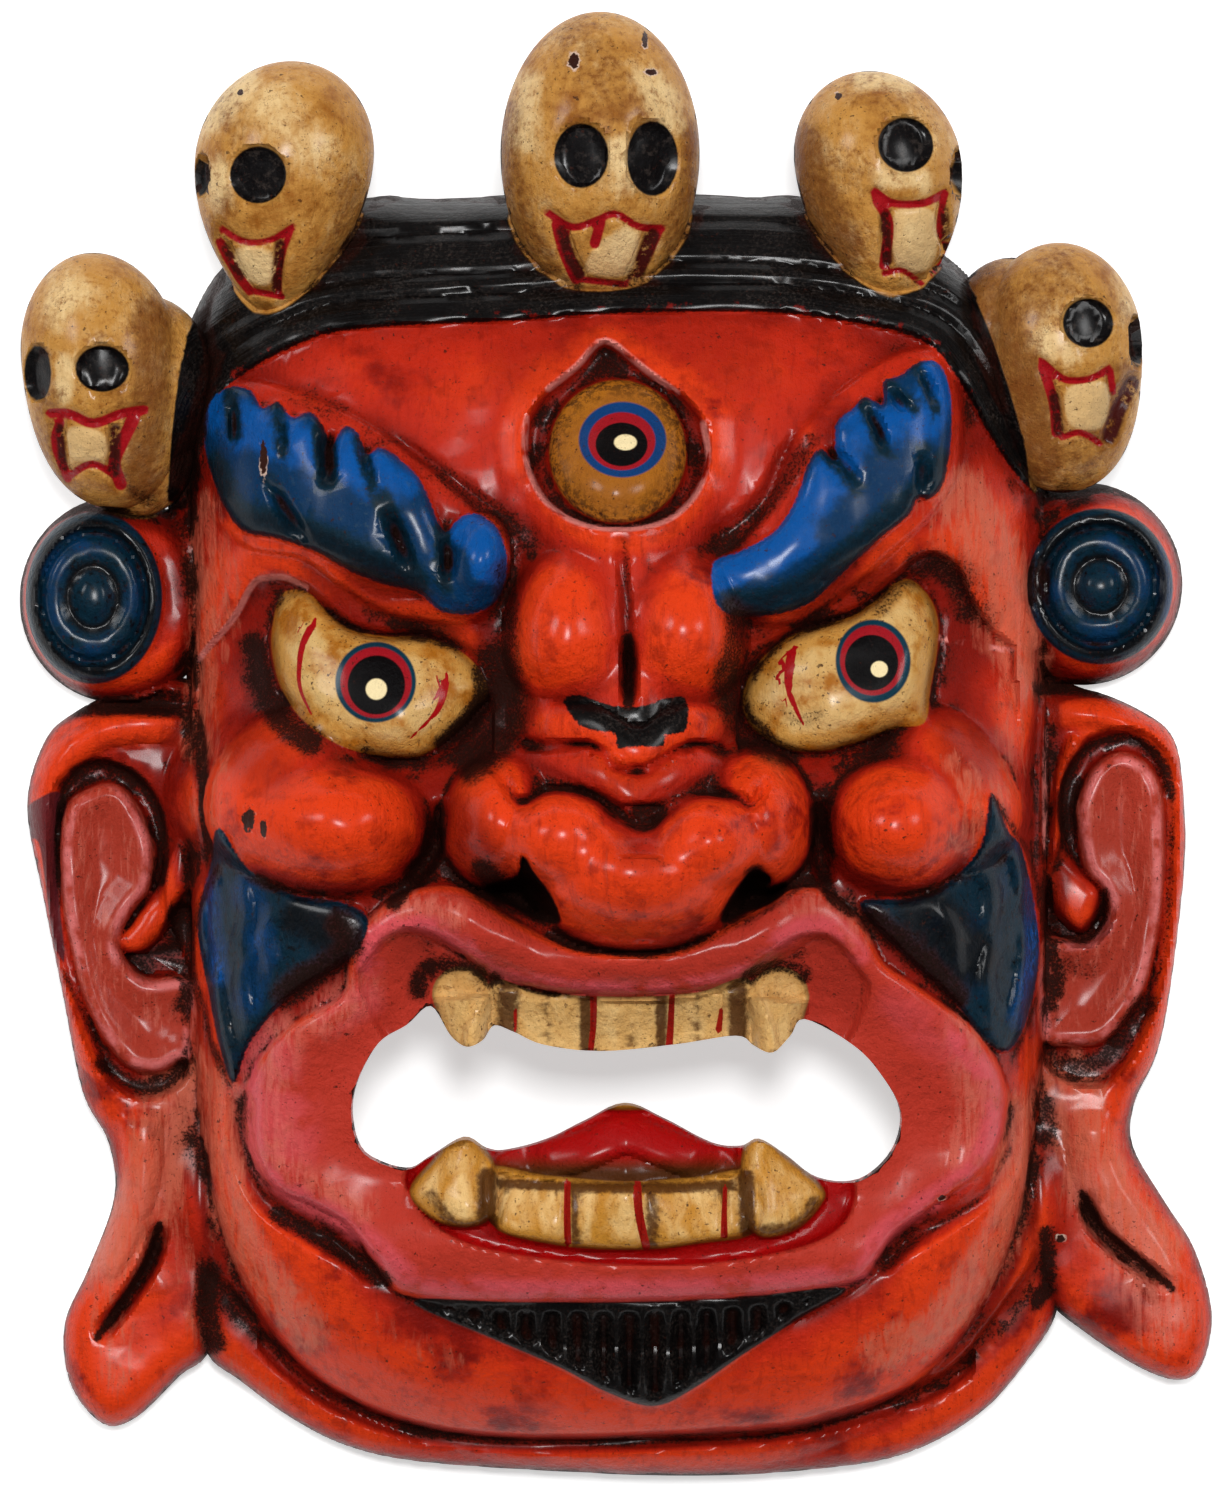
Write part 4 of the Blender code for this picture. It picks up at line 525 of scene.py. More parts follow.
mouth = {
    "opening": (
        (-46, -63.8), (-52, -68.5), (-59, -73), (-64.5, -83), (-65.6, -92), (-62.5, -100.5),
        (-52.5, -104.4), (-46.5, -101.5), (-38, -96.6), (-32.5, -99.3), (-27.5, -99.8), (-17.4, -97.1),
        (-8, -92.5), (2, -88.1), (12, -92), (23.4, -97.9), (30.8, -98.9), (35.4, -97.1), (42, -101),
        (50.1, -106.8), (60.4, -107.2), (68.5, -100), (70.5, -90), (65, -80), (58, -73), (46.5, -67),
        (43, -71), (38.6, -75), (34, -73.5), (29.5, -71), (14.1, -73.2), (-4, -74.8), (-18, -73.2),
        (-25.5, -70), (-30.3, -68.5), (-33, -72), (-37, -73.6), (-41, -71),
    ),
    "lips": (
        (-38, -34.5), (-50, -35), (-60, -41), (-65.5, -51), (-68, -61), (-80, -68), (-89, -78),
        (-92.8, -90), (-91, -101), (-85, -109), (-73, -114.5), (-65, -120), (-58, -131), (-49, -136.5),
        (-15, -137.3), (25, -136.3), (56, -133), (64, -128), (69, -120.5), (81, -112), (92, -103.5),
        (97.3, -91), (95.5, -80), (88, -69), (76, -60), (66, -53), (61, -44), (52, -35.5), (42, -35),
        (30, -42), (17, -49), (5, -50.7), (-11, -49), (-25, -42.5),
    ),
    "lipsRise": 8.0,
    "lipsRound": 6.5,
    "upperLip": ((-52, -39), (-42, -40.5), (-30, -46), (-15, -52.5), (5, -55), (20, -53.5), (33, -47.5),
                 (45, -40.5), (53, -39.5)),
    "upperLipHalf": 8.0,
    "upperLipRise": 6.0,
    "dish": 24.0,
    "dishDepth": 10.0,
    "gumsAbove": (
        (-63, -60), (-61, -51.5), (-56, -46), (-50, -44.5), (-43, -46.5), (-36, -51.5), (-30, -56.3),
        (-18, -59), (0, -60.3), (18, -59.5), (29, -56.5), (37, -51), (45, -46), (53, -46.5), (59, -53),
        (62, -62), (48, -80), (0, -85), (-48, -80),
    ),
    "gumsBelow": (
        (-52.5, -106), (-50.5, -112), (-46.2, -117), (-37.9, -122), (-26, -125), (-10, -127), (4, -127.8),
        (20, -127.6), (36, -125.6), (50, -122), (57.3, -116.5), (59, -108), (52, -103), (30, -94), (2, -82),
        (-30, -94), (-48, -101),
    ),
    "gumDepth": 5.0,
    "gumRound": 2.5,
    "jawRoll": (
        (-98, -60), (-98, -88), (-97, -108), (-88, -127), (-72, -144), (-48, -156), (-20, -164), (10, -166),
        (40, -162), (64, -152), (84, -135), (97, -115), (101, -88), (101, -60),
    ),
    "jawHalf": 17.0,
    "jawRise": 6.0,
    "jawFade": (-84.0, -118.0),
    "folds": (          # points, half width, depth
        (((-93, -84), (-92.6, -100), (-87, -112), (-76, -119.8), (-66, -125), (-58, -132)), 4.5, 4),
        (((98.5, -86), (97.8, -102), (91, -111.5), (80, -118.5), (71, -123.5), (64, -130)), 3.6, 3),
        (((-103.5, -128), (-98, -137), (-89.9, -147.1), (-75.1, -160.9), (-55.3, -169.9), (-30.6, -173.8),
          (-4, -174), (23.1, -172.4), (47.9, -170), (77.6, -161.1), (90.4, -152.1), (103.3, -134.4),
          (108.3, -122)), 3.2, 3.6),
    ),
}


def carveMouth(z, x, y):
    gap, _ = pathDistance(smoothCurve(mouth["jawRoll"], False), x, y)
    start, full = mouth["jawFade"]
    fade = smoothStep(start, full, y)
    z += mouth["jawRise"] * fade * np.clip(1 - (gap / mouth["jawHalf"]) ** 2, 0, 1) ** 0.8
    plate(z, x, y, mouth["lips"], mouth["lipsRise"], mouth["lipsRound"])
    out = -insideDistance(smoothCurve(mouth["opening"], True), x, y)
    z -= mouth["dishDepth"] * smoothStep(mouth["dish"], 0, out)
    bead(z, x, y, mouth["upperLip"], mouth["upperLipHalf"], mouth["upperLipRise"])
    plates(z, x, y, (mouth["gumsAbove"], mouth["gumsBelow"]), -mouth["gumDepth"], mouth["gumRound"])
    grooves(z, x, y, mouth["folds"], foldTaper)


teeth = {
    "upper": (               # middle, half width, low, high
        (-26.6, 3, -82, -59.5), (-15.2, 8.2, -82, -60.8), (3, 8.4, -82, -61.5), (19.6, 6.2, -82, -60.5),
        (29.4, 3, -82, -59.5),
    ),
    "lower": ((-21, 8.1, -106.2), (-3.2, 9.1, -107.3), (16.4, 10.0, -107.2), (29.6, 2.6, -108)),
    "upperRow": ((-32, -58.5), (-18, -60.4), (3, -61.3), (20, -60.2), (34, -58), (36, -86), (-34, -86)),
    "lowerRow": ((-32, -104), (-31, -117.5), (-18, -122.2), (2, -124), (20, -122.4), (35, -119), (34, -105),
                 (20, -106), (2, -107), (-18, -105.5)),
    "rowRise": 4.0,
    "upperRise": 1.6,
    "lowerRise": 2.2,
    "lowerFoot": -124.3,
    "lowerBend": 0.0045,
    "round": 3.5,
    "fangTip": 0.45,
    "fangs": (               # three points, half width, height
        ((-38.4, -61), (-37.8, -67), (-36.4, -80), 7.6, 8),
        ((40.2, -61.5), (39.8, -67), (38.6, -81), 7.9, 8),
    ),
    "canineLeft": (
        (-51.2, -109.5), (-45.6, -102), (-38, -95), (-32.6, -99), (-29.8, -105), (-31, -116),
        (-38.8, -118.5), (-46.5, -115.8),
    ),
    "canineRight": (
        (31, -108), (31.5, -99), (35.8, -95.5), (41, -100), (51.2, -109), (50, -114), (45, -118.8),
        (37, -121), (33, -118),
    ),
    "canineRise": 11.0,
    "canineRound": 9.0,
}


def carveTeeth(z, x, y):
    plates(z, x, y, (teeth["upperRow"], teeth["lowerRow"]), teeth["rowRise"], teeth["round"])
    for middle, half, low, high in teeth["upper"]:
        tooth(z, x, y, middle, half, low, high, teeth["upperRise"])
    low = teeth["lowerFoot"] + teeth["lowerBend"] * x ** 2
    for middle, half, high in teeth["lower"]:
        tooth(z, x, y, middle, half, low, high, teeth["lowerRise"])
    for a, b, c, width, height in teeth["fangs"]:
        bead(z, x, y, (a, b, c), width, height, 0.06, 0.5, teeth["fangTip"])
    plates(z, x, y, (teeth["canineLeft"], teeth["canineRight"]), teeth["canineRise"], teeth["canineRound"])


tongue = {
    "outline": (
        (-31, -101.5), (-17.4, -95), (-4.4, -88.6), (2.1, -84), (9.5, -89.5), (23.4, -95.9), (31, -101.5),
        (27, -106), (0, -107), (-26, -106),
    ),
    "crest": ((-23, -103.2), (-9, -99.5), (2, -95.5), (13, -99), (25, -104)),
    "crestHalf": 5.0,
    "rise": 4.0,
    "round": 5.0,
}


def carveTongue(z, x, y):
    plate(z, x, y, tongue["outline"], tongue["rise"], tongue["round"])
    bead(z, x, y, tongue["crest"], tongue["crestHalf"], tongue["rise"])


beard = {
    "outline": (
        (-51, -137), (-25, -137.2), (5, -137.3), (30, -136.2), (57, -133.8), (45, -142), (31, -151),
        (19, -159.5), (9.3, -164), (-2, -160.5), (-14, -154), (-31, -146.5),
    ),
    "rise": 2.5,
    "round": 3.0,
    "pitch": 6.4,
    "depth": 3.4,
}


def carveBeard(z, x, y):
    near, inside = plate(z, x, y, beard["outline"], beard["rise"], beard["round"])
    flutes = 0.5 - 0.5 * np.cos(2 * np.pi * x[near] / beard["pitch"])
    z[near] -= beard["depth"] * flutes * smoothStep(1.5, 4, inside)


ears = {
    "left": (
        (-104, 14), (-125, 14), (-137.4, 8.5), (-144.3, 1.3), (-148.4, -14.6), (-144.3, -37.4),
        (-139.4, -62), (-134.4, -86.6), (-128, -99), (-126.5, -113), (-133, -131), (-139, -145),
        (-137.5, -160), (-129.4, -170), (-121, -168.5), (-110, -158), (-102, -150), (-98, -120), (-98, -40),
    ),
    "right": (
        (104, 14), (118, 15), (133, 9), (140.5, 2), (142.8, -12), (143, -30), (139.5, -60), (136, -77),
        (130.5, -89), (130, -100), (138, -114), (145.5, -126), (149.9, -142), (147.5, -155), (142, -159),
        (132, -156), (118, -147), (108, -138), (100, -120), (100, -40),
    ),
    "bowls": (           # the dark groove's outer edge
        ((-142.5, -26), (-141.4, -11), (-136.5, -5), (-130.9, -2.6), (-126, -3.4), (-120, -6.8), (-115, -13),
         (-112.8, -22), (-113.2, -33), (-112, -44), (-107, -58), (-107, -78), (-110, -85), (-118, -88),
         (-126, -85), (-131.5, -78), (-136, -67), (-140, -53), (-142, -40)),
        ((111, -22), (110.8, -12), (113, -4), (118.5, 2.6), (125.5, 5), (132, 4.4), (138, -0.5), (141, -8),
         (141, -25), (140.2, -42), (138, -56), (134.5, -68), (129, -78.5), (122, -84.5), (113.5, -84),
         (107.5, -77), (106.5, -50), (107, -38)),
    ),
    "bowlDepth": 6.0,
    "bowlRound": 2.5,
    "pads": (            # the smooth cushion inside it
        ((-139.8, -20), (-137.9, -13.5), (-133.7, -10.4), (-128, -8.6), (-123.2, -10.4), (-119.4, -15.6),
         (-116.4, -22.6), (-115.8, -29), (-117.5, -35.9), (-122, -42), (-124.5, -50), (-118, -57.5),
         (-106, -58), (-106, -77), (-109.8, -79), (-114, -81.3), (-118.9, -81.5), (-123.1, -80),
         (-127.4, -75.4), (-131, -69.6), (-134.6, -61.2), (-136.9, -52), (-139, -42), (-140, -30)),
        ((115.3, -17), (116.3, -11.4), (119.8, -4.5), (125.5, -1), (130.6, -1.7), (135.3, -5.9), (137.5, -12),
         (137.9, -24), (137.5, -38), (135.6, -50), (132.6, -61), (127.6, -69), (121.9, -74), (114.9, -74.8),
         (106, -72), (106, -49), (113, -47.5), (120, -46), (123, -40), (121.5, -35), (117.5, -30)),
    ),
    "padRise": 6.0,
    "padRound": 3.4,
    "padDish": 3.0,
    "flaps": (
        ((-109, -20), (-113.6, -31), (-117.5, -37.5), (-121.5, -43.4), (-125, -48), (-122.8, -51.4),
         (-118.2, -50.4), (-114, -46.2), (-110.2, -38.6), (-106, -34)),
        ((113.8, 3), (110.6, -5), (109.2, -16), (108.4, -30), (109, -36), (111, -41.5), (114.5, -45.2),
         (117.2, -45.8), (120.4, -40.6), (121.4, -35.8), (117.7, -31.6), (113.8, -26.6), (111.4, -18),
         (112.4, -8), (116.5, 0)),
    ),
    "flapRise": 5.0,
    "flapRound": 4.0,
    "notch": ((-110.2, -39.2), (-114, -46.6), (-118.2, -50.9), (-123.3, -52), (-118.9, -57), (-113.5, -56),
              (-105, -58), (-105, -42)),
    "notchDepth": 7.0,
    "notchRound": 3.0,
    "rolls": (           # points, half width, height, how wide the last end is beside the first
        (((-104, 5), (-122, 5.5), (-135, 1), (-142.8, -9), (-144, -30), (-140.5, -52), (-135, -72),
          (-126, -91)),
         4.5, 3, 0.7),
        (((-120, -90), (-119, -104), (-123, -120), (-130, -134)), 6, 2.5, 0.6),
        (((106, 9), (122, 10), (134, 5), (141, -6), (141.8, -30), (139.5, -52), (134.5, -74), (124, -89)),
         4.5, 3, 0.7),
        (((120, -90), (120, -104), (130, -122), (140, -138)), 7, 2.5, 0.8),
    ),
    "folds": (           # points, half width, depth
        (((-114, -118), (-118, -131), (-131, -149)), 3, 7),
        (((106.5, -29), (107, -38), (110.5, -44.5), (116.5, -48), (121.5, -45), (123.6, -38)), 2.4, 6),
        (((116.5, -110), (122, -122), (140, -136.5)), 3, 7),
        (((-104, 11), (-118, 11.5), (-134, 11.5)), 4, 5), (((104, 16), (113, 16), (124, 16.5)), 4, 5),
    ),
    "join": 4.0,
}


def carveEars(z, x, y):
    # The ears are carved on the plate, and the sides of the face rise out of them.
    ear = np.full(x.shape, block["plate"])
    for points, width, height, tip in ears["rolls"]:
        bead(ear, x, y, points, width, height, 0.12, 0.6, tip)
    for bowl, pad, flap in zip(ears["bowls"], ears["pads"], ears["flaps"]):
        plate(ear, x, y, bowl, -ears["bowlDepth"], ears["bowlRound"])
        near, inside = plate(ear, x, y, pad, ears["padRise"], ears["padRound"])
        ear[near] -= ears["padDish"] * smoothStep(2.5, 11, inside)
        plate(ear, x, y, flap, ears["flapRise"], ears["flapRound"])
    plate(ear, x, y, ears["notch"], -ears["notchDepth"], ears["notchRound"])
    grooves(ear, x, y, ears["folds"])
    side = smoothStep(0, ears["join"], z - block["plate"])
    beside = (np.abs(x) > 90) & (y < bosses["right"]["centre"][1])
    z[beside] = (ear + (np.maximum(z, ear) - ear) * side)[beside]


bosses = {
    "left": {"centre": (-125.5, 37.5), "radii": (24.8, 26)},
    "right": {"centre": (117.5, 41.5), "radii": (25, 25.5)},
    "level": 17.0,
    "rise": 8.0,
    "discLeft": ((-131, 37.8), (17.4, 21.7)),
    "discRight": ((121.1, 40.6), (18.5, 19.6)),
    "discRise": 3.4,
    "groove": (0.80, 0.71),
    "dimple": (0.36, 0.13),
    "dimpleDepth": 1.4,
    "knob": 0.23,
}


def carveBoss(z, x, y, boss, disc):
    d = ellipseDistance(boss["centre"], boss["radii"], 0, x, y)
    lift = bosses["level"] + bosses["rise"] * roundUp((1 - d) * 3)
    z[:] = np.where(d < 1, np.maximum(z, lift), z)
    d = ellipseDistance(*disc, 0, x, y)
    size = disc[1][0]
    slope = block["wallSlope"]
    z += (bosses["level"] + bosses["rise"] - z) * smoothStep(-slope, slope, (1 - d) * size)
    grooveOut, grooveIn = bosses["groove"]
    ring = fieldProfile((1 - d) * size, 3) - fieldProfile((grooveOut - d) * size, 2)
    z += bosses["discRise"] * (ring + fieldProfile((grooveIn - d) * size, 3))
    dimple, half = bosses["dimple"]
    z -= bosses["dimpleDepth"] * np.clip(1 - np.abs(d - dimple) / half, 0, 1)
    z += bosses["dimpleDepth"] * roundUp((bosses["knob"] - d) / bosses["knob"])


toolMarks = {
    "patches": ((17.0, 0.9), (6.5, 0.35)),      # how far apart the swellings lie, and their height
    "gougeWidth": 8.0,
    "gougeLength": 24.0,
    "gougeDepth": 1.2,
}


def uneven(x, y):
    # The slight unevenness that hand carving leaves.
    lift = np.zeros(x.shape)
    for pitch, height in toolMarks["patches"]:
        rows = zip(x / pitch, y / pitch)
        lift += height * np.array([noise.noise((a, b, pitch)) for a, b in rows])
    return lift


def frontHeight(x, y):
    _, inBlock = blockDistance(x, y)
    z = headForm(x, y)
    carveHair(z, x, y)
    carveBrows(z, x, y)
    carveThirdEye(z, x, y)
    carveEyes(z, x, y)
    carveNose(z, x, y)
    carveMouth(z, x, y)
    carveCheeks(z, x, y)
    carveWhiskers(z, x, y)
    carveTeeth(z, x, y)
    carveTongue(z, x, y)
    carveBeard(z, x, y)
    carveEars(z, x, y)
    carveBoss(z, x, y, bosses["left"], bosses["discLeft"])
    carveBoss(z, x, y, bosses["right"], bosses["discRight"])
    z = np.maximum(z + uneven(x, y), block["lowestFront"])
    return block["frontEdge"] + (z - block["frontEdge"]) * roundUp(inBlock / block["edgeRound"])


hollow = {
    "wall": 14.0,
    "thinnest": 8.0,
    "rim": 15.0,
    "noseDepth": 24.0,
    "noseCentre": (4.0, -22.0),
    "noseRadii": (34.0, 30.0),
    "extra": 6.0,
    "thicker": (((-58, 16), (50, 44)), ((58, 20), (50, 44)), ((2, -88), (104, 64)), ((0, 73), (40, 40))),
}


def backHeight(x, y, front):
    # The hollow follows the form of the head a wall's thickness behind it, and leaves a flat rim.
    inHead, inBlock = blockDistance(x, y)
    deep = headForm(x, y) - hollow["wall"]
    tip = ellipseDistance(hollow["noseCentre"], hollow["noseRadii"], 0, x, y)
    deep += hollow["noseDepth"] * np.clip(1 - tip ** 2, 0, 1) ** 2
    for centre, radii in hollow["thicker"]:
        near = np.clip(ellipseDistance(centre, radii, 0, x, y), 0.5, 1)
        deep -= hollow["extra"] * smoothStep(1, 0.5, near)
    across = x / toolMarks["gougeWidth"] + 0.8 * np.sin(y / toolMarks["gougeLength"] * 2)
    down = np.pi * y / toolMarks["gougeLength"] + across
    scoop = np.abs(np.sin(across * np.pi)) + 0.4 * np.abs(np.sin(down))
    deep += toolMarks["gougeDepth"] * (scoop - 1)
    deep = np.minimum(deep, front - hollow["thinnest"])
    share = smoothStep(hollow["rim"], hollow["rim"] + 12, inHead)
    edge = block["backRound"] * (1 - roundUp(inBlock / block["backRound"]))
    return np.maximum(deep, 0) * share + edge


skulls = {      # red and slit are strokes: points, half width. jaw is how much narrower the chin is
    "each": (
        {"x": -4.1, "z": 43, "bottom": 111.4, "top": 183.4, "middle": 148, "width": 24.8, "depth": 24,
         "lean": 0.0, "jaw": 0.0, "eyes": ((-8.7, 146.5, 6.6, 7.8), (8.9, 146.0, 6.2, 9.1)),
         "red": ((((-17.3, 132.8), (-11, 129), (-5, 130.6), (-0.2, 132.2), (5.4, 129.2), (11.5, 129)), 0.9),
                 (((-14.5, 130), (-13, 124), (-10, 117)), 1.7),
                 (((-10, 116.6), (-3, 115.8), (3.4, 115.2)), 0.8), (((-4, 130), (-5.4, 125)), 1.3),
                 (((10.6, 128), (7.4, 121), (3.6, 115.6)), 0.8)),
         "slit": ((((8.8, 127), (6.6, 121.5), (4.4, 117)), 1.9),
                  (((-13.6, 128), (-11.6, 122), (-9.2, 118)), 1.5)),
         "tooth": ((-4, 126), (4, 128.6), (6, 127.6), (3.2, 117.4), (-8, 118.2))},
        {"x": -82.8, "z": 38, "bottom": 107.8, "top": 171.4, "middle": 147, "width": 22.3, "depth": 22,
         "lean": 0.07, "jaw": 0.34, "eyes": ((-88.8, 142.1, 6.9, 6.9), (-103.2, 142.6, 1.8, 5)),
         "red": ((((-98.2, 129.2), (-92.5, 125.8), (-86, 126), (-80, 129.4)), 0.8),
                 (((-98.6, 126), (-95.5, 119.5), (-91.4, 114)), 1.2),
                 (((-80.6, 129), (-83.6, 120), (-84, 113)), 0.8), (((-91.4, 114), (-83.2, 112.4)), 0.8)),
         "slit": ((((-83.4, 125), (-84.6, 114.5)), 1.3), (((-97.2, 124.6), (-93.8, 117.5)), 1.2)),
         "tooth": ((-95.2, 124), (-86, 123.6), (-85.6, 115.4), (-91, 116))},
        {"x": 65.2, "z": 38, "bottom": 108.9, "top": 168.9, "middle": 146, "width": 20.9, "depth": 22,
         "lean": -0.09, "jaw": 0.3, "eyes": ((71.7, 149.6, 6.8, 6.7), (85.2, 143.4, 1.9, 5.8)),
         "red": ((((63.8, 138), (68.6, 135), (76, 135.2), (81.6, 138)), 1.0),
                 (((64.4, 136), (67.4, 130), (66.4, 120)), 1.3),
                 (((81.4, 137.6), (80.4, 129), (83, 124.2), (79, 118)), 0.9),
                 (((66.5, 117.9), (70.9, 118.7), (76, 115.7)), 0.7)),
         "slit": ((((66.6, 132), (67.2, 121)), 1.3), (((81.4, 134), (82.4, 125)), 1.1)),
         "tooth": ((69, 133.6), (79, 133.2), (79.4, 121), (74, 118), (68.6, 121))},
        {"x": -128.6, "z": 31, "bottom": 60, "top": 123.9, "middle": 97, "width": 20.2, "depth": 21,
         "lean": -0.08, "jaw": -0.15, "eyes": ((-144.2, 93.5, 3.4, 6.7), (-127.7, 94.3, 6.5, 5.6)),
         "red": ((((-141, 83.4), (-136, 83.2), (-130, 80.8), (-123, 83.2), (-117.4, 84.2)), 1.2),
                 (((-138.4, 81.4), (-139.8, 76), (-137, 67.6)), 1.2),
                 (((-120, 82), (-123, 76), (-125, 71), (-123.6, 66)), 1.6),
                 (((-136.6, 68), (-130.4, 70.8), (-124, 67.4)), 0.9)),
         "slit": ((((-138.6, 80), (-138, 70)), 1.1), (((-124.6, 79), (-125.2, 69)), 1.5)),
         "tooth": ((-136.4, 80), (-127.4, 78.6), (-127, 72), (-135.6, 72))},
        {"x": 111.0, "z": 31, "bottom": 64, "top": 126.4, "middle": 101, "width": 20.4, "depth": 21,
         "lean": -0.02, "jaw": -0.2, "eyes": ((117.2, 105.7, 6.2, 6), (129.8, 101.6, 2.1, 6.2)),
         "red": ((((105.3, 96.3), (111.4, 91.6), (118, 92), (122.6, 94.6)), 0.9),
                 (((105.8, 95), (108.6, 86), (109.4, 78.6)), 1.3), (((122.6, 94.4), (123.6, 88.6)), 0.9),
                 (((110.9, 77.4), (115.4, 78.6), (120.4, 76)), 0.8)),
         "slit": ((((128.6, 91), (125.6, 86), (122.8, 78)), 2.0), (((108.6, 88), (110, 79)), 1.3)),
         "tooth": ((111.6, 89.6), (122, 91), (121.6, 80), (112.6, 80))},
    ),
    "segments": 120,
    "rings": 84,
    "webSegments": 48,
    "webRings": 32,
    "socketShare": 1.08,
    "socketDepth": 3.0,
    "redDepth": 1.6,
    "slitDepth": 2.6,
    "webs": (
        {"centre": (-118, 91, 24), "radii": (17.5, 22.5, 19)},
        {"centre": (99, 103, 24), "radii": (16.5, 20, 19)},
        {"centre": (-120.5, 80, 20), "radii": (17, 22, 15)},
    ),
    "hairEdges": (      # the bone ends here, and the hair begins
        ((-104.6, 112), (-107.2, 102), (-109.2, 91), (-110.8, 79), (-112.4, 62), (-96, 60), (-98, 104)),
        ((85.6, 122.5), (90, 111), (94, 100.6), (98.6, 86), (102, 74), (103.6, 62), (88, 60), (82, 106),
         (84.4, 120)),
    ),
    "brownStainAndShade": (          # stain and painted shade: points, half width, strength
        (((-66, 140), (-67, 130), (-72, 120)), 4, 0.7), (((-98, 160), (-93, 153)), 5, 0.5),
        (((-116, 108), (-115.5, 95), (-117, 80), (-119, 66)), 5, 1),
        (((-140, 88), (-143, 80), (-138, 66)), 3, 0.7), (((-122, 89), (-116, 76)), 4, 0.6),
        (((-128, 102), (-121, 99)), 2.5, 0.5),
        (((-26.5, 158), (-27, 146), (-23, 130), (-16, 118)), 3.5, 0.8),
        (((19.5, 152), (18.6, 140), (14, 126)), 4, 0.75), (((-10, 175), (-3, 166), (3, 158)), 8, 0.6),
        (((-13, 154), (-8, 156)), 2, 0.6), (((-16, 116), (-3, 112.6), (8, 116)), 2.5, 0.7),
        (((46, 150), (49, 138), (56, 124)), 6, 1), (((60, 163), (70, 160)), 5, 0.5),
        (((56, 144), (62, 140)), 4, 0.5), (((70, 122), (75, 119)), 2.5, 0.8),
        (((-96, 137), (-100, 131)), 3, 0.6), (((90, 119), (96, 103), (102, 88), (105, 72)), 7, 1),
        (((110, 118), (102, 110)), 7, 0.7), (((118, 113), (127, 108)), 3, 0.6),
        (((126, 92), (121, 78)), 5, 0.9), (((112, 74), (117, 70)), 4, 0.7),
    ),
    # paler bone: wear and painted highlight
    "paleWearAndLight": (
        (((-100, 158), (-94, 166)), 5, 0.8), (((-99, 145), (-98, 136)), 3, 0.8),
        (((-84, 158), (-78, 150)), 6, 0.5), (((-92, 120), (-88, 119)), 3.5, 0.9),
        (((-140, 108), (-134, 114)), 4, 0.6), (((-137, 96), (-137, 88)), 2, 0.8),
        (((-22, 165), (-24, 152)), 4, 0.7), (((8, 165), (14, 156)), 4, 0.7),
        (((0.5, 148), (2, 139)), 3, 0.8), (((0, 122), (2, 126)), 3, 0.6), (((62, 166), (72, 165)), 3, 0.7),
        (((66, 141), (76, 141)), 2.5, 0.7), (((74, 128), (76, 124)), 3, 0.7),
        (((106, 101), (112, 97)), 3, 0.6), (((124, 117), (128, 110)), 2.5, 0.4),
    ),
}


def skullStrokes(kind, x, y, each=skulls["each"]):
    # How far inside the nearest stroke of one kind each place is.
    field = np.full(x.shape, -8.0)
    for skull in each:
        for points, half in skull[kind]:
            path = smoothCurve(points, False)
            near = nearby(path, 8, x, y)
            gap, _ = pathDistance(path, x[near], y[near])
            field[near] = np.maximum(field[near], half - gap)
    return field


def skullCuts(skull, x, y):
    # How deep the sockets and the mouth are cut at each place on the face of a skull.
    depth = np.zeros(x.shape)
    for ex, ey, rx, ry in skull["eyes"]:
        d = ellipseDistance((ex, ey), (rx, ry), 0, x, y)
        bowl = roundUp((skulls["socketShare"] - d) * 4) * (d < skulls["socketShare"])
        depth = np.maximum(depth, skulls["socketDepth"] * bowl)
    for kind in ("red", "slit"):
        inside = skullStrokes(kind, x, y, (skull,))
        depth = np.maximum(depth, skulls[kind + "Depth"] * smoothStep(-0.9, 0.7, inside))
    return depth


def deselectAll():
    if bpy.context.object and bpy.context.object.mode != "OBJECT":
        bpy.ops.object.mode_set(mode="OBJECT")
    bpy.ops.object.select_all(action="DESELECT")


def pick(piece):
    deselectAll()
    piece.select_set(True)
    bpy.context.view_layer.objects.active = piece


def finishModifier(piece, kind, **settings):
    pick(piece)
    step = piece.modifiers.new(kind.lower(), kind)
    for name, value in settings.items():
        setattr(step, name, value)
    bpy.ops.object.modifier_apply(modifier=step.name)


def combine(piece, operation, other):
    finishModifier(piece, "BOOLEAN", operation=operation, object=other, solver="MANIFOLD")
    bpy.data.objects.remove(other, do_unlink=True)


def places(piece):
    found = np.empty(len(piece.data.vertices) * 3)
    piece.data.vertices.foreach_get("co", found)
    return found.reshape(-1, 3)


def setPlaces(piece, found):
    piece.data.vertices.foreach_set("co", np.ascontiguousarray(found, float).ravel())
    piece.data.update()


def facesOutward(piece):
    pick(piece)
    bpy.ops.object.mode_set(mode="EDIT")
    bpy.ops.mesh.select_all(action="SELECT")
    bpy.ops.mesh.normals_make_consistent(inside=False)
    bpy.ops.object.mode_set(mode="OBJECT")


def addPrism(name, outline):
    # A straight prism over an outline, long enough to pass right through the block.
    deselectAll()
    bpy.ops.mesh.primitive_circle_add(vertices=len(outline), radius=1, fill_type="NGON")
    prism = bpy.context.object
    prism.name = name
    setPlaces(prism, np.column_stack([outline, np.full(len(outline), block["prismLow"])]))
    rise = block["prismHigh"] - block["prismLow"]
    bpy.ops.object.mode_set(mode="EDIT")
    bpy.ops.mesh.select_all(action="SELECT")
    bpy.ops.mesh.extrude_region_move(TRANSFORM_OT_translate={"value": (0, 0, rise)})
    bpy.ops.object.mode_set(mode="OBJECT")
    facesOutward(prism)
    return prism


def ellipseOutline(centre, radii, count=96):
    angles = np.linspace(0, 2 * np.pi, count, endpoint=False)
    return np.stack([centre[0] + radii[0] * np.cos(angles), centre[1] + radii[1] * np.sin(angles)], 1)


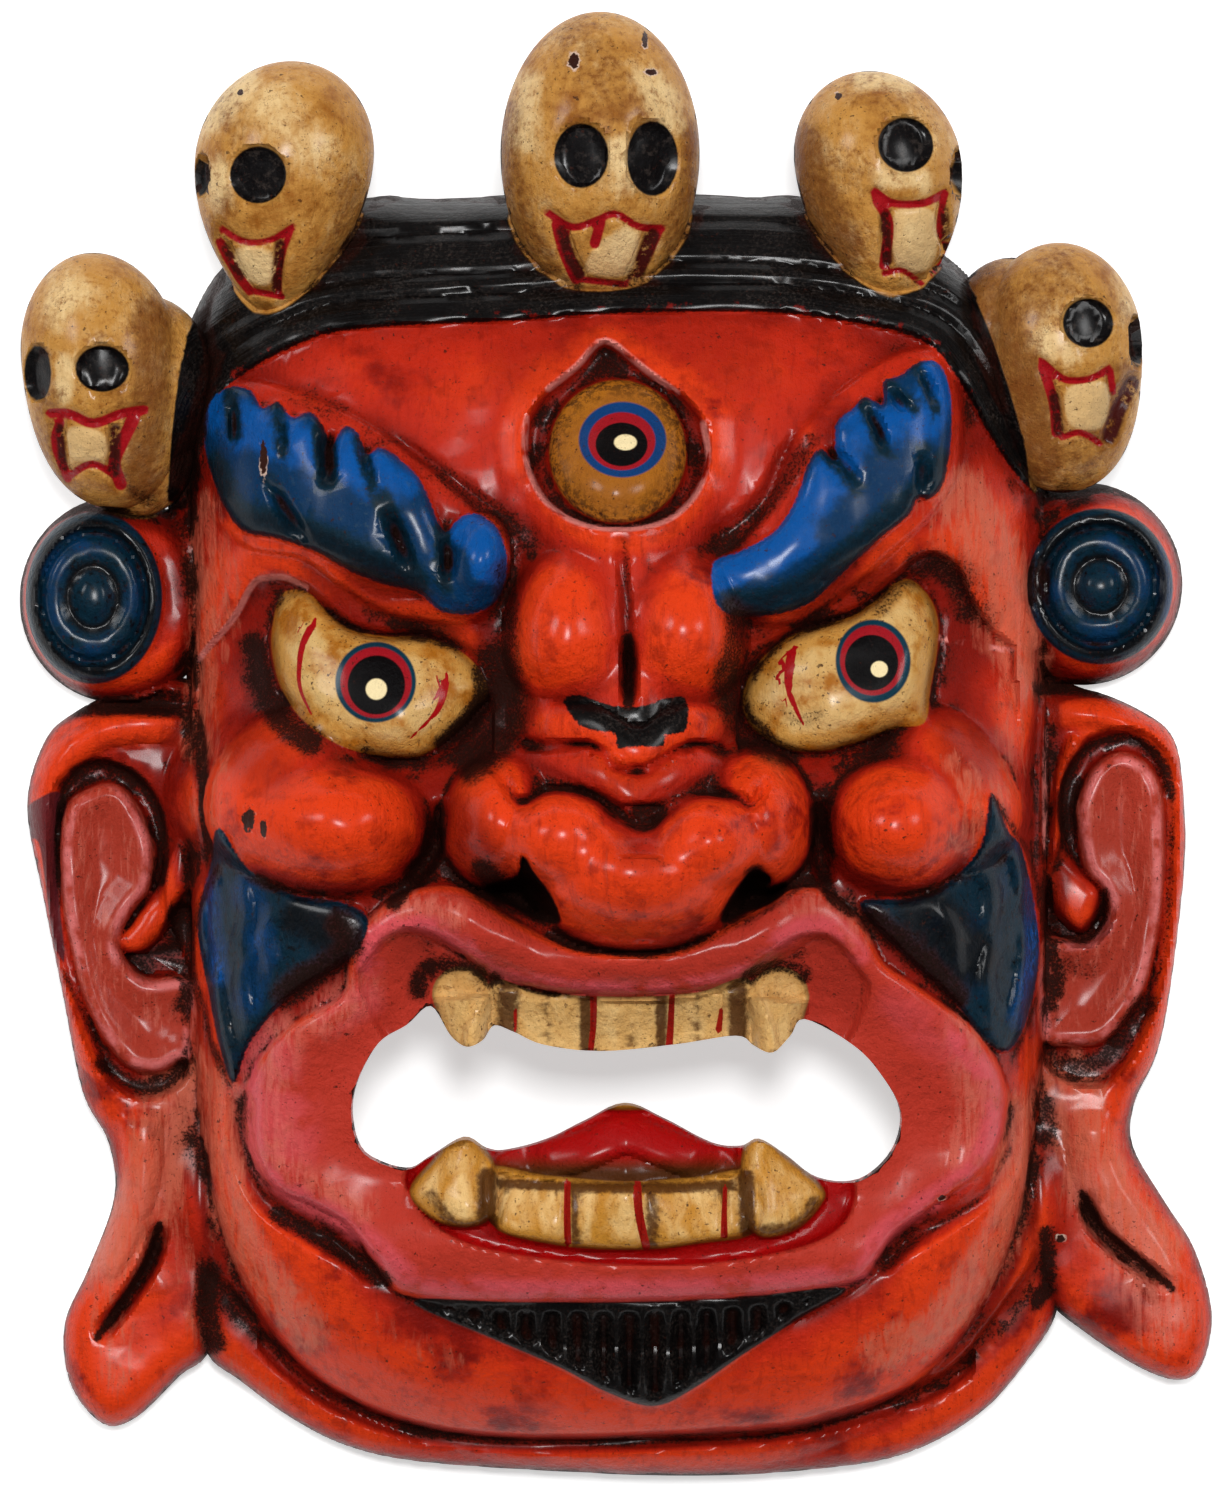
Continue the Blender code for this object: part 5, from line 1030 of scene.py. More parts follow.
def addBlank():
    blank = addPrism("blank", smoothCurve(head["outline"], True))
    for side in ("left", "right"):
        combine(blank, "UNION", addPrism("ear", smoothCurve(ears[side], True)))
        boss = bosses[side]
        combine(blank, "UNION", addPrism("boss", ellipseOutline(boss["centre"], boss["radii"])))
    return blank


def addCarvedBlock():
    # A slab of fine squares whose top takes the carving and whose underside takes the hollow.
    deselectAll()
    columns = int(2 * block["reachX"] / block["cell"])
    rows = int((block["highestY"] - block["lowestY"]) / block["cell"])
    bpy.ops.mesh.primitive_grid_add(x_subdivisions=columns, y_subdivisions=rows, size=2)
    slab = bpy.context.object
    slab.name = "carvedMask"
    flat = places(slab)
    x = flat[:, 0] * block["reachX"]
    y = (flat[:, 1] * (block["highestY"] - block["lowestY"]) + block["highestY"] + block["lowestY"]) / 2
    front = frontHeight(x, y)
    back = backHeight(x, y, front)
    setPlaces(slab, np.column_stack([x, y, np.zeros(len(x))]))
    for name, values in (("front", front), ("back", back)):
        slab.data.attributes.new(name, "FLOAT", "POINT").data.foreach_set("value", values)
    bpy.ops.object.mode_set(mode="EDIT")
    bpy.ops.mesh.select_all(action="SELECT")
    bpy.ops.mesh.extrude_region_move(TRANSFORM_OT_translate={"value": (0, 0, 1)})
    bpy.ops.object.mode_set(mode="OBJECT")
    found = places(slab)        # each corner has both heights, so the upper ones take the front's
    raised = found[:, 2] > 0.5
    found[:, 2] = np.where(raised, readField(slab, "front"), readField(slab, "back"))
    setPlaces(slab, found)
    for name in ("front", "back"):
        slab.data.attributes.remove(slab.data.attributes[name])
    facesOutward(slab)
    return slab


def addSkull(skull):
    deselectAll()
    bpy.ops.mesh.primitive_uv_sphere_add(segments=skulls["segments"], ring_count=skulls["rings"], radius=1)
    piece = bpy.context.object
    piece.name = "skull"
    ball = places(piece)
    side, up, out = ball[:, 0], ball[:, 2], -ball[:, 1]
    side = side * (1 - skull["jaw"] * np.clip(-up, 0, 1) ** 2)
    tall = np.where(up > 0, skull["top"] - skull["middle"], skull["middle"] - skull["bottom"])
    y = skull["middle"] + up * tall
    x = skull["x"] + side * skull["width"] + skull["lean"] * (y - skull["middle"])
    z = skull["z"] + out * skull["depth"] - 3 * np.clip(-up, 0, 1) ** 2
    cut = skullCuts(skull, x, y) * (out > 0)
    core = np.stack([np.full(x.shape, skull["x"]), y, np.full(x.shape, skull["z"])], 1)
    found = np.stack([x, y, z], 1)
    reach = np.linalg.norm(found - core, axis=1)
    shrink = 1 - cut / np.maximum(reach, 8)
    setPlaces(piece, core + (found - core) * shrink[:, None])
    facesOutward(piece)
    return piece


def addWeb(web):
    deselectAll()
    bpy.ops.mesh.primitive_uv_sphere_add(segments=skulls["webSegments"], ring_count=skulls["webRings"],
                                         radius=1, location=web["centre"], scale=web["radii"])
    bpy.ops.object.transform_apply()
    return bpy.context.object


def readField(piece, name):
    values = np.empty(len(piece.data.vertices))
    piece.data.attributes[name].data.foreach_get("value", values)
    return values


def addMask():
    mask = addCarvedBlock()
    print("block carved")
    combine(mask, "INTERSECT", addBlank())
    combine(mask, "DIFFERENCE", addPrism("opening", smoothCurve(mouth["opening"], True)))
    for skull in skulls["each"]:
        combine(mask, "UNION", addSkull(skull))
    for web in skulls["webs"]:
        combine(mask, "UNION", addWeb(web))
    print("mask cut out and crowned:", countTriangles(mask), "triangles")
    finishModifier(mask, "DECIMATE", ratio=block["triangles"] / countTriangles(mask))
    dropFins(mask)
    return mask


# The merging leaves a few stray faces, each hanging by one edge with its others free
def dropFins(piece):
    pick(piece)
    bpy.ops.object.mode_set(mode="EDIT")
    bpy.ops.mesh.select_mode(type="EDGE")
    bpy.ops.mesh.select_all(action="DESELECT")
    bpy.ops.mesh.select_non_manifold(extend=False, use_wire=True, use_boundary=True, use_multi_face=False,
                                     use_non_contiguous=False, use_verts=False)
    bpy.ops.mesh.delete(type="EDGE")
    bpy.ops.mesh.select_all(action="SELECT")
    bpy.ops.mesh.delete_loose()
    bpy.ops.object.mode_set(mode="OBJECT")


def countTriangles(piece):
    piece.data.calc_loop_triangles()
    return len(piece.data.loop_triangles)


# Where each paint lies. Outlines are signed distances in millimetres, positive inside the painted place.
# A soft stroke is its points, its half width and how thickly it is laid, from 0 to 1.
paint = {
    "reach": 8.0,           # how far from its edge a field is worked out
    "mapPitch": 1.0,
    "mapReach": (156, 190),
    "fineBlur": 1.6,
    "broadBlur": 6.0,
    "spare": 2.0,           # how far past its edge a coat is still laid
    "discReach": 1.25,
    "chipReach": 4.0,
    "nosePatch": ((-13, 11.6), (-9.4, 13), (-4.5, 11.4), (0.1, 10.2), (7, 10.4), (12.2, 12.2), (17, 12),
                  (16.8, 4.5), (11.6, 3.4), (11.4, 0.6), (4.7, 0.8), (0.4, 0.2), (-0.6, 4), (-7.9, 5.1)),
    "vessels": (            # points, half width at each end
        (((-74.9, 31.4), (-77.6, 26), (-78.6, 20), (-78.2, 14.5), (-75.6, 8.6)), 1, 0.25),
        (((-42.2, 17.6), (-43, 12.4), (-45.2, 8), (-50.6, 2.8)), 1.1, 0.25),
        (((43.9, 24.6), (42.6, 19), (42.8, 13.6), (46, 6)), 1.5, 0.3),
    ),
    "drip": ((-148.6, -15.2), (-144.2, -12), (-140.7, -10.7), (-138.2, -12.8), (-138.6, -16.3), (-140, -20.5),
             (-140.3, -34.5), (-138.6, -52.7), (-140.7, -51.3), (-142.1, -47.1), (-144.9, -24.7),
             (-147.7, -22.6)),
    "toothLines": (         # thin red lines down the teeth
        (((-25, -64), (-25, -67), (-25, -70)), 0.45, 0.35),
        (((-5.7, -60.5), (-5.7, -68), (-6.4, -75)), 0.9, 0.7),
        (((13.7, -60.5), (13.4, -68), (13, -74)), 0.7, 0.9),
        (((26, -63), (25.6, -67), (25, -71)), 0.4, 0.9),
        (((-12.1, -107), (-12.2, -115), (-12, -122.5)), 0.8, 0.9),
        (((5, -107.5), (5.6, -115), (7.4, -123.4)), 1.1, 1),
        (((26.9, -108), (26.6, -115), (26.6, -121)), 0.5, 0.9),
    ),
    "toothStainsAndShade": (        # brown strips: stain and painted shade
        (((-26.5, -59), (-27, -70)), 2.6, 0.8), (((-7.7, -60), (-7.6, -74)), 1.5, 0.85),
        (((11, -60), (11.2, -73)), 1.5, 0.8), (((29.8, -59), (30, -71)), 2.4, 0.8),
        (((-17, -61), (-17, -74)), 0.6, 0.6), (((3, -61), (3.2, -74)), 0.6, 0.5),
        (((20, -61), (20, -73)), 0.6, 0.5), (((-10.4, -108), (-10.2, -122)), 1, 0.7),
        (((8.9, -108), (8.7, -122.6)), 1.6, 0.7),
        (((-29, -107.5), (-10, -108.3), (10, -108.6), (29, -108)), 1.3, 0.8),
        (((-32, -106), (-32, -118)), 2.4, 0.9), (((32, -106), (32.4, -119)), 2, 0.9),
        (((-46, -110), (-40, -117.5), (-33, -117.5)), 1.6, 0.6),
        (((36, -119), (45, -117.4), (49, -112)), 1.6, 0.6), (((-36.8, -74), (-36.4, -79)), 1.4, 0.5),
        (((38.8, -75), (38.6, -80)), 1.4, 0.5),
    ),
    # dark speckled soot in creases, grooves and hollows: grime and painted shade
    "sootAndShade": (
        (((-27, 44), (-27, 30), (-26, 18)), 3.4, 0.6), (((-24, 12), (-26, 4)), 2.6, 0.5),
        (((-33.6, 19), (-33, 13), (-37, 6.4), (-43, 1.6)), 2.6, 0.9), (((-36, -2), (-46, -4)), 2.5, 0.5),
        (((-80, 88), (-56, 76), (-40, 65), (-27, 55)), 3.4, 0.36),
        (((-42, 67), (-30, 58), (-22, 51)), 3.2, 0.55), (((-27, 52), (-15, 56)), 2, 0.3),
        (((30, 32), (28.5, 22), (26, 15), (29, 6), (35, 2)), 3.2, 0.6), (((28, 35), (36, 29)), 3, 0.5),
        (((24, 50), (33, 56), (42, 66), (48, 76)), 2.6, 0.55),
        (((74, 45.5), (79, 45.5), (84.5, 41), (87, 34)), 3.6, 0.7), (((86, 44), (92, 33)), 4, 0.4),
        (((-90.5, 26), (-88, 15), (-82, 6), (-76, 1.6)), 3.8, 0.85),
        (((-30, 22), (-27.4, 12), (-29, 3), (-36, -3)), 5.4, 0.85), (((-48, -3.4), (-58, -3.8)), 2, 0.7),
        (((30, 18), (28.6, 10), (33, 2.6), (42, -2)), 3.4, 0.7),
        (((-90, 37), (-86, 40.5), (-80, 40)), 2, 0.5),
        (((-68, -43), (-66, -49), (-74, -55), (-82, -61)), 4, 0.75),
        (((63, -42), (70, -48), (77, -54), (84, -61)), 3.6, 0.75),
        (((-99, -30), (-104.5, -40), (-106.5, -52), (-103, -68), (-97, -84)), 1.4, 0.6),
        (((93, -12), (98.5, -20), (103.5, -28), (107, -45), (107, -58), (99, -77)), 1, 0.6),
        (((-44, -20), (-48, -28), (-55, -38)), 2.2, 0.85),
        (((49.4, -15), (49.6, -24), (53, -36), (58, -40)), 2, 0.85),
        (((2.9, 27), (3, 19), (3, 11)), 1.4, 1), (((2, 52), (2.6, 42), (2.8, 32)), 1, 0.45),
        (((7, 50), (8.5, 44)), 1, 0.4), (((20.5, 50), (20.6, 46)), 1, 0.6),
        (((-43, -25), (-36, -35.5), (-23, -42.8), (-9.9, -47.4), (6.4, -51), (16.3, -49.6), (26, -45.4),
          (39.1, -38.8), (46, -33.4)), 0.9, 0.5),
        (((-33, -30), (-26, -36), (-18, -41)), 3.2, 0.8), (((34, -31), (34, -36), (28, -41)), 2.6, 0.8),
        (((-136, -6), (-130.5, -3.8), (-122, -6.5), (-116, -14), (-113.8, -24), (-114.4, -33)), 1.7, 0.8),
        (((-140, -9), (-134, -6)), 1.4, 0.5),
        (((112.2, -20), (112.3, -11), (116.5, -2), (124, 2.2), (131, 1.6), (137, -3.5), (139.5, -12)), 1.5,
         0.8),
        (((139.8, -14), (139, -38), (137, -54), (131, -67)), 0.9, 0.45),
        (((133, -64), (124, -76.5), (115, -79.5), (108, -77)), 3, 0.7),
        (((-139, -56), (-134, -67), (-129, -78)), 1, 0.55),
        (((-129, -79), (-122, -84), (-114, -84.6), (-108.6, -79)), 2, 0.8),
        (((-110, -42), (-111.5, -50), (-118.5, -54)), 3, 0.9),
        (((107, -31), (108, -40), (112, -46), (118, -47.8), (122.4, -42), (122.6, -36)), 1.3, 0.8),
        (((110, -53), (118, -56)), 4, 0.35), (((-114.8, -119.6), (-119, -131), (-130.4, -148)), 1.1, 1),
        (((117, -111.6), (122.9, -121.1), (139.4, -135.4)), 1.1, 1),
        (((-102.4, -131), (-103, -142), (-101, -149)), 3.4, 0.9), (((-98, -139), (-91, -147)), 2.4, 0.7),
        (((108, -122), (108.5, -134), (105, -139)), 2.2, 0.9), (((103, -138), (95, -148)), 1.4, 0.7),
        (((-92.5, -86), (-92.2, -101), (-87, -112.5)), 1, 0.6),
        (((-84, -116), (-75, -121), (-66, -126), (-58, -132)), 2.6, 0.8),
        (((97.8, -100), (91, -111.5), (80, -118.5), (71, -123.5)), 1, 0.5),
        (((73, -122), (66, -128)), 2.4, 0.6),
        (((-49, -60), (-47.4, -55.4), (-41, -53.6), (-34, -56)), 2.6, 0.85),
        (((-30, -57), (-28, -63)), 2.2, 0.9), (((30, -63), (32.6, -57), (39, -54), (46, -56)), 2.4, 0.8),
        (((-33.5, -108), (-31, -119)), 1.6, 0.5), (((32.5, -108), (33, -119)), 1.4, 0.5),
        (((-137, 10.5), (-125, 10.8), (-112, 10)), 2.6, 0.85),
        (((106, 15), (116, 15.6), (126, 14.5)), 2.2, 0.85), (((-120, 64), (-112, 58), (-108, 50)), 2, 0.5),
        (((98, 66), (106, 60), (112, 66)), 2, 0.5), (((42, 9), (46, 7), (50, 9)), 2, 0.35),
        (((66, 35), (70, 40), (78, 44)), 2.6, 0.5), (((-5, -18.5), (-6, -21)), 1.2, 0.3),
        (((9, -27), (13, -29)), 1.2, 0.3),
        (((-102.7, -130.4), (-89.9, -147.1), (-75.1, -160.9), (-55.3, -169.9), (-30.6, -173.8), (-4, -173.6),
          (23.1, -172), (47.9, -170), (77.6, -161.1), (90.4, -152.1), (103.3, -134.4), (108.3, -125.4)),
          0.9, 0.6),
    ),
    # pale streaks: worn paint and painted sheen of the varnish
    "worn": (
        (((86, 62), (94, 48), (100, 34), (102, 18)), 8, 0.95), (((78, 58), (88, 40), (94, 26)), 5, 0.55),
        (((97, 22), (99, 4), (96, -12)), 5, 0.55), (((84, -4), (89, -13), (84, -24)), 4, 0.7),
        (((-103, 60), (-103, 40), (-104, 20), (-105, 0)), 5, 0.8),
        (((-98, 52), (-97, 36), (-98, 24)), 4, 0.5), (((-100, -2), (-101, -16)), 5, 0.6),
        (((-111, -80), (-113, -96), (-117, -110), (-126, -126)), 9, 1),
        (((-128, -140), (-124, -156)), 7, 0.5), (((114, -84), (117, -98), (123, -112), (134, -126)), 9, 1),
        (((140, -142), (134, -150)), 6, 0.5),
        (((-99, -84), (-98, -100), (-93, -124), (-76, -146)), 6, 0.85),
        (((100, -90), (97, -118), (82, -142), (66, -150)), 6, 0.9), (((-60, -143), (-40, -152)), 4, 0.4),
        (((-110, -120), (-104, -146), (-86, -164)), 4, 0.5), (((-6, 40), (-8, 32)), 2, 0.3),
    ),
    # darker red in the hollows: painted shade
    "deep": (
        (((-44, -14), (-37, -22), (-33, -31)), 7, 0.85), (((5, -14), (5.5, -24)), 7, 0.5),
        (((-5, -8), (4, -12), (12, -8)), 5, 0.5), (((80, 24), (84, 10), (88, -2)), 8, 0.8),
        (((-98, 20), (-95, 4), (-86, -4)), 7, 0.6), (((-60, -2), (-50, -4)), 4, 0.6),
        (((-24, 96), (0, 110), (30, 98)), 9, 0.4), (((-30, 62), (-22, 50)), 5, 0.4),
        (((-52, -26), (-46, -38)), 5, 0.6),
    ),
    # painted highlights along the lids, the ear rims and tragi, the face's sides and the jaw
    "paintedHighlights": (
        (((-104.6, 18), (-100, 40), (-86, 48), (-68, 40), (-50, 33), (-36, 26)), 4, 0.8),
        (((32, 22), (45, 33), (58, 38), (70, 50)), 4, 0.9), (((109.5, -6), (110, -30), (116, -40)), 3.5, 1),
        (((-111, -38), (-120, -47)), 3.5, 0.9), (((-146, -2), (-130, 5), (-112, 4)), 4.5, 0.8),
        (((108, 8), (124, 9), (138, 2), (142.5, -20), (140, -56), (133, -80)), 3.5, 0.8),
        (((104.5, -75), (105, -110), (104, -128), (98, -140), (88, -152), (76, -160)), 3, 1),
        (((-104.5, 20), (-105, -40), (-104.5, -90)), 3, 0.6),
        (((-147, -108), (-134, -132), (-141, -150)), 3, 0.5),
    ),
    # pink on the lips' rims and lit sides: painted highlights
    "lipHighlights": (
        (((-89, -80), (-90, -92), (-88, -103), (-80, -110.5), (-70, -116), (-61, -122), (-52, -131)), 2.8,
         1),
        (((-48, -133.6), (-25, -134.2), (0, -134), (30, -133.2), (60, -130)), 2.6, 1),
        (((84, -72), (92, -82), (93.6, -92), (90, -101.6), (82, -109.4), (72, -115.6), (66, -120.4),
          (62, -126)),
         2.8, 1),
        (((-34, -52), (-28, -55.6), (-15, -58.2), (3, -59), (20, -57.8), (31, -54.6), (37, -50.6)), 1.7, 1),
        (((-61.5, -54), (-60, -46.4), (-52.5, -42.6), (-44, -44.4), (-37, -49)), 2.2, 1),
        (((40, -47), (46, -43.6), (54, -44), (60, -51)), 2.2, 0.9),
        (((-88, -76), (-84, -90), (-82, -98)), 8, 0.6), (((70, -64), (82, -74)), 5, 0.4),
        (((-70, -66), (-62, -62)), 4, 0.5),
    ),
    # pale salmon smears: worn paint and painted sheen
    "salmon": (
        (((-84, -72), (-88, -88), (-84, -102)), 6, 0.8), (((-64, -60), (-72, -66)), 5, 0.7),
        (((-78, -108), (-64, -114)), 4, 0.6), (((86, -70), (90, -88), (86, -102)), 5, 0.6),
        (((-58, -44), (-50, -39), (-40, -41)), 3.4, 0.7), (((60, -46), (54, -39), (44, -38)), 3.4, 0.5),
        (((120, -112), (131, -128), (138, -142)), 7, 0.75), (((-121, -112), (-130, -132)), 5, 0.5),
    ),
    "edgeHighlights": (               # thin painted highlights along edges
        ((-22.4, 82), (-22.6, 73), (-19.8, 64.4), (-14.8, 58.5), (-8, 55.2), (0.5, 54), (10, 55.3),
         (16, 58.7), (20.6, 64.5), (22.7, 72), (21.5, 80.5)),
        ((-17, 89), (-10, 94.6), (-2.9, 101.2), (7, 94), (15, 88)),
        ((-104.8, 22.1), (-102, 25.4), (-95.6, 32.4), (-90.7, 40.6), (-87.4, 42.4), (-82, 42.4), (-77.1, 40)),
        ((80, 27.6), (90, 25.6), (98.6, 24.4)), ((107.6, 5), (107.4, -12), (107.4, -27)),
    ),
    "skyBlue": (            # where the brows catch the light
        (((-99, 84), (-90, 80), (-79, 76), (-67, 72), (-55, 65)), 6, 0.8),
        (((-48, 56), (-43, 46), (-47, 40)), 3, 0.5), (((-38, 55), (-33, 51), (-31, 45)), 4.4, 1.3),
        (((80, 93), (77, 82), (68, 80)), 5, 0.9), (((60, 80), (52, 66), (44, 56)), 6, 0.8),
        (((44, 52), (34, 47), (26, 44)), 5, 1.25), (((104, -34), (103.4, -52), (99, -68)), 2.2, 0.9),
        (((-102, -34), (-99, -56)), 3, 0.8), (((-92, -36), (-88, -50), (-92, -64)), 4, 0.6),
        (((138, 50), (138, 34)), 2.6, 0.7), (((-142, 46), (-136, 52)), 3, 0.5),
    ),
    # teal and black in the slots, along the lower edges and in the whiskers' hollows: patina and painted
    # shade
    "darkBlue": (
        (((-101, 68), (-96, 57), (-84, 54), (-74, 50.6), (-62, 45), (-51, 40)), 5.4, 1),
        (((81, 70), (77, 64), (71, 59), (61, 50), (51, 41.6), (40, 36), (30, 35)), 4.5, 0.85),
        (((-96, 88), (-95, 78)), 2.2, 0.8), (((-84, 85), (-82.5, 73)), 2, 0.7),
        (((-72.5, 79.5), (-71.4, 66)), 2.8, 1), (((-63.6, 76), (-60, 64)), 2, 0.7),
        (((-57.5, 60.8), (-50, 42)), 2.8, 0.9), (((-43, 54), (-42.5, 40)), 2.2, 0.9),
        (((-86, 66.5), (-76.5, 51)), 2.4, 0.6), (((50.5, 74), (60, 64)), 2, 0.7),
        (((61, 85.5), (66.5, 72.5)), 1.8, 0.8), (((67.5, 90), (74, 84)), 1.8, 0.7),
        (((74, 95), (79, 84)), 1.6, 0.7), (((76, 74), (75, 61.5)), 2.2, 0.7),
        (((-78, -42), (-70, -46)), 6, 0.9), (((-96, -60), (-95, -78)), 3, 0.5),
        (((76, -40), (88, -52)), 8, 0.9), (((93, -26), (96, -60)), 4, 0.5),
    ),
    "chips": (              # centre, radii
        ((-90.7, -17.5), (1.6, 2.8)), ((-86.9, -19.6), (0.9, 2.4)), ((-87.4, 71.9), (0.9, 4.2)),
        ((111.5, -123), (1.2, 0.9)), ((80.8, -111.5), (1, 0.8)), ((-10.5, 170.2), (1.3, 1.9)),
        ((7, 176), (0.7, 2.2)), ((8.6, 167.4), (1.6, 0.8)), ((-93.4, 163), (0.8, 0.8)),
        ((55, 162), (0.9, 0.9)),
    ),
}


def outlineField(x, y, *outlines):
    field = np.full(x.shape, -paint["reach"])
    for points in outlines:
        outline = smoothCurve(points, True)
        near = nearby(outline, paint["reach"], x, y)
        field[near] = np.maximum(field[near], insideDistance(outline, x[near], y[near]))
    return field.clip(-paint["reach"], paint["reach"])


def ellipseField(x, y, ellipses):
    field = np.full(x.shape, -paint["reach"])
    for centre, radii in ellipses:
        d = ellipseDistance(centre, radii, 0, x, y)
        field = np.maximum(field, (1 - d) * min(radii))
    return field


def strokeField(x, y, strokes):
    field = np.zeros(x.shape)
    for points, half, strength in strokes:
        path = smoothCurve(points, False)
        near = nearby(path, half * 1.6, x, y)
        gap, _ = pathDistance(path, x[near], y[near])
        field[near] = np.maximum(field[near], strength * smoothStep(half * 1.6, half * 0.4, gap))
    return field


def lineField(x, y, lines):
    # The distance from the nearest of some lines.
    field = np.full(x.shape, paint["reach"])
    for points in lines:
        path = smoothCurve(points, False)
        near = nearby(path, paint["reach"], x, y)
        gap, _ = pathDistance(path, x[near], y[near])
        field[near] = np.minimum(field[near], gap)
    return field


def lineMarks(x, y, lines, near=3.2):
    # How far to one side of the nearest line each place is, and the line's half width there.
    offset = np.full(x.shape, near)
    half = np.full(x.shape, -1.0)
    for points, start, end in lines:
        path = smoothCurve(points, False)
        close = nearby(path, near, x, y)
        gap, along = pathDistance(path, x[close], y[close])
        reached = np.cumsum(np.hypot(*np.diff(path, axis=0).T))
        spot = np.searchsorted(reached / reached[-1], along).clip(0, len(path) - 2)
        run = path[spot + 1] - path[spot]
        side = run[:, 0] * (y[close] - path[spot, 1]) - run[:, 1] * (x[close] - path[spot, 0])
        beyond = np.minimum(along, 1 - along) <= 0
        better = gap < np.abs(offset[close])
        signed = np.where(side < 0, -gap, gap)
        offset[close] = np.where(better, signed, offset[close])
        width = np.where((beyond & (gap > start)) | (gap > 0.6 * near), -1.0, start + (end - start) * along)
        half[close] = np.where(better & (gap < near), width, half[close])
    return offset, half


def boneField(x, y, z):
    field = np.full(x.shape, -paint["reach"])
    for skull in skulls["each"]:
        above = y > skull["middle"]
        tall = np.where(above, skull["top"] - skull["middle"], skull["middle"] - skull["bottom"])
        across = (x - skull["x"] - skull["lean"] * (y - skull["middle"])) / skull["width"]
        up = (y - skull["middle"]) / tall
        across /= 1 - skull["jaw"] * np.clip(-up, 0, 1) ** 2
        out = (z - skull["z"] + 3 * np.clip(-up, 0, 1) ** 2) / skull["depth"]
        d = np.sqrt(across ** 2 + up ** 2 + out ** 2)
        field = np.maximum(field, (1.04 - d) * skull["width"])
    for web in skulls["webs"]:
        (wx, wy, wz), (rx, ry, rz) = web["centre"], web["radii"]
        d = np.sqrt(((x - wx) / rx) ** 2 + ((y - wy) / ry) ** 2 + ((z - wz) / rz) ** 2)
        field = np.maximum(field, (1.04 - d) * rx)
    for edge in skulls["hairEdges"]:
        field = np.minimum(field, -insideDistance(np.array(edge, float), x, y))
    return field


def toothField(x, y):
    field = outlineField(x, y, teeth["canineLeft"], teeth["canineRight"], teeth["upperRow"],
                         teeth["lowerRow"])
    for a, b, c, width, height in teeth["fangs"]:
        gap, along = pathDistance(smoothCurve((a, b, c), False), x, y)
        field = np.maximum(field, width * (1 - (1 - teeth["fangTip"]) * along) * 0.95 - gap)
    return field.clip(-paint["reach"], paint["reach"])


def heightMap(mask):
    # The height of the front at each place of an even net, taken from straight above.
    tree = BVHTree.FromPolygons([v.co for v in mask.data.vertices], [f.vertices for f in mask.data.polygons])
    xs = np.arange(-paint["mapReach"][0], paint["mapReach"][0], paint["mapPitch"])
    ys = np.arange(-paint["mapReach"][1], paint["mapReach"][1], paint["mapPitch"])
    heights = np.full((len(ys), len(xs)), block["lowestFront"])
    above = block["prismHigh"]
    for row, y in enumerate(ys):
        for column, x in enumerate(xs):
            hit = tree.ray_cast(Vector((x, y, above)), Vector((0, 0, -1)))[0]
            if hit:
                heights[row, column] = hit.z
    return xs, ys, heights


def blurred(net, spread):
    taps = np.arange(-int(3 * spread), int(3 * spread) + 1)
    weights = np.exp(-0.5 * (taps / spread) ** 2)
    weights /= weights.sum()
    for axis in (0, 1):
        net = sum(w * np.roll(net, t, axis) for w, t in zip(weights, taps))
    return net


def sampled(xs, ys, net, x, y):
    u = ((x - xs[0]) / paint["mapPitch"]).clip(0, len(xs) - 1.001)
    v = ((y - ys[0]) / paint["mapPitch"]).clip(0, len(ys) - 1.001)
    i, j = v.astype(int), u.astype(int)
    fi, fj = v - i, u - j
    low = net[i, j] * (1 - fj) + net[i, j + 1] * fj
    high = net[i + 1, j] * (1 - fj) + net[i + 1, j + 1] * fj
    return low * (1 - fi) + high * fi


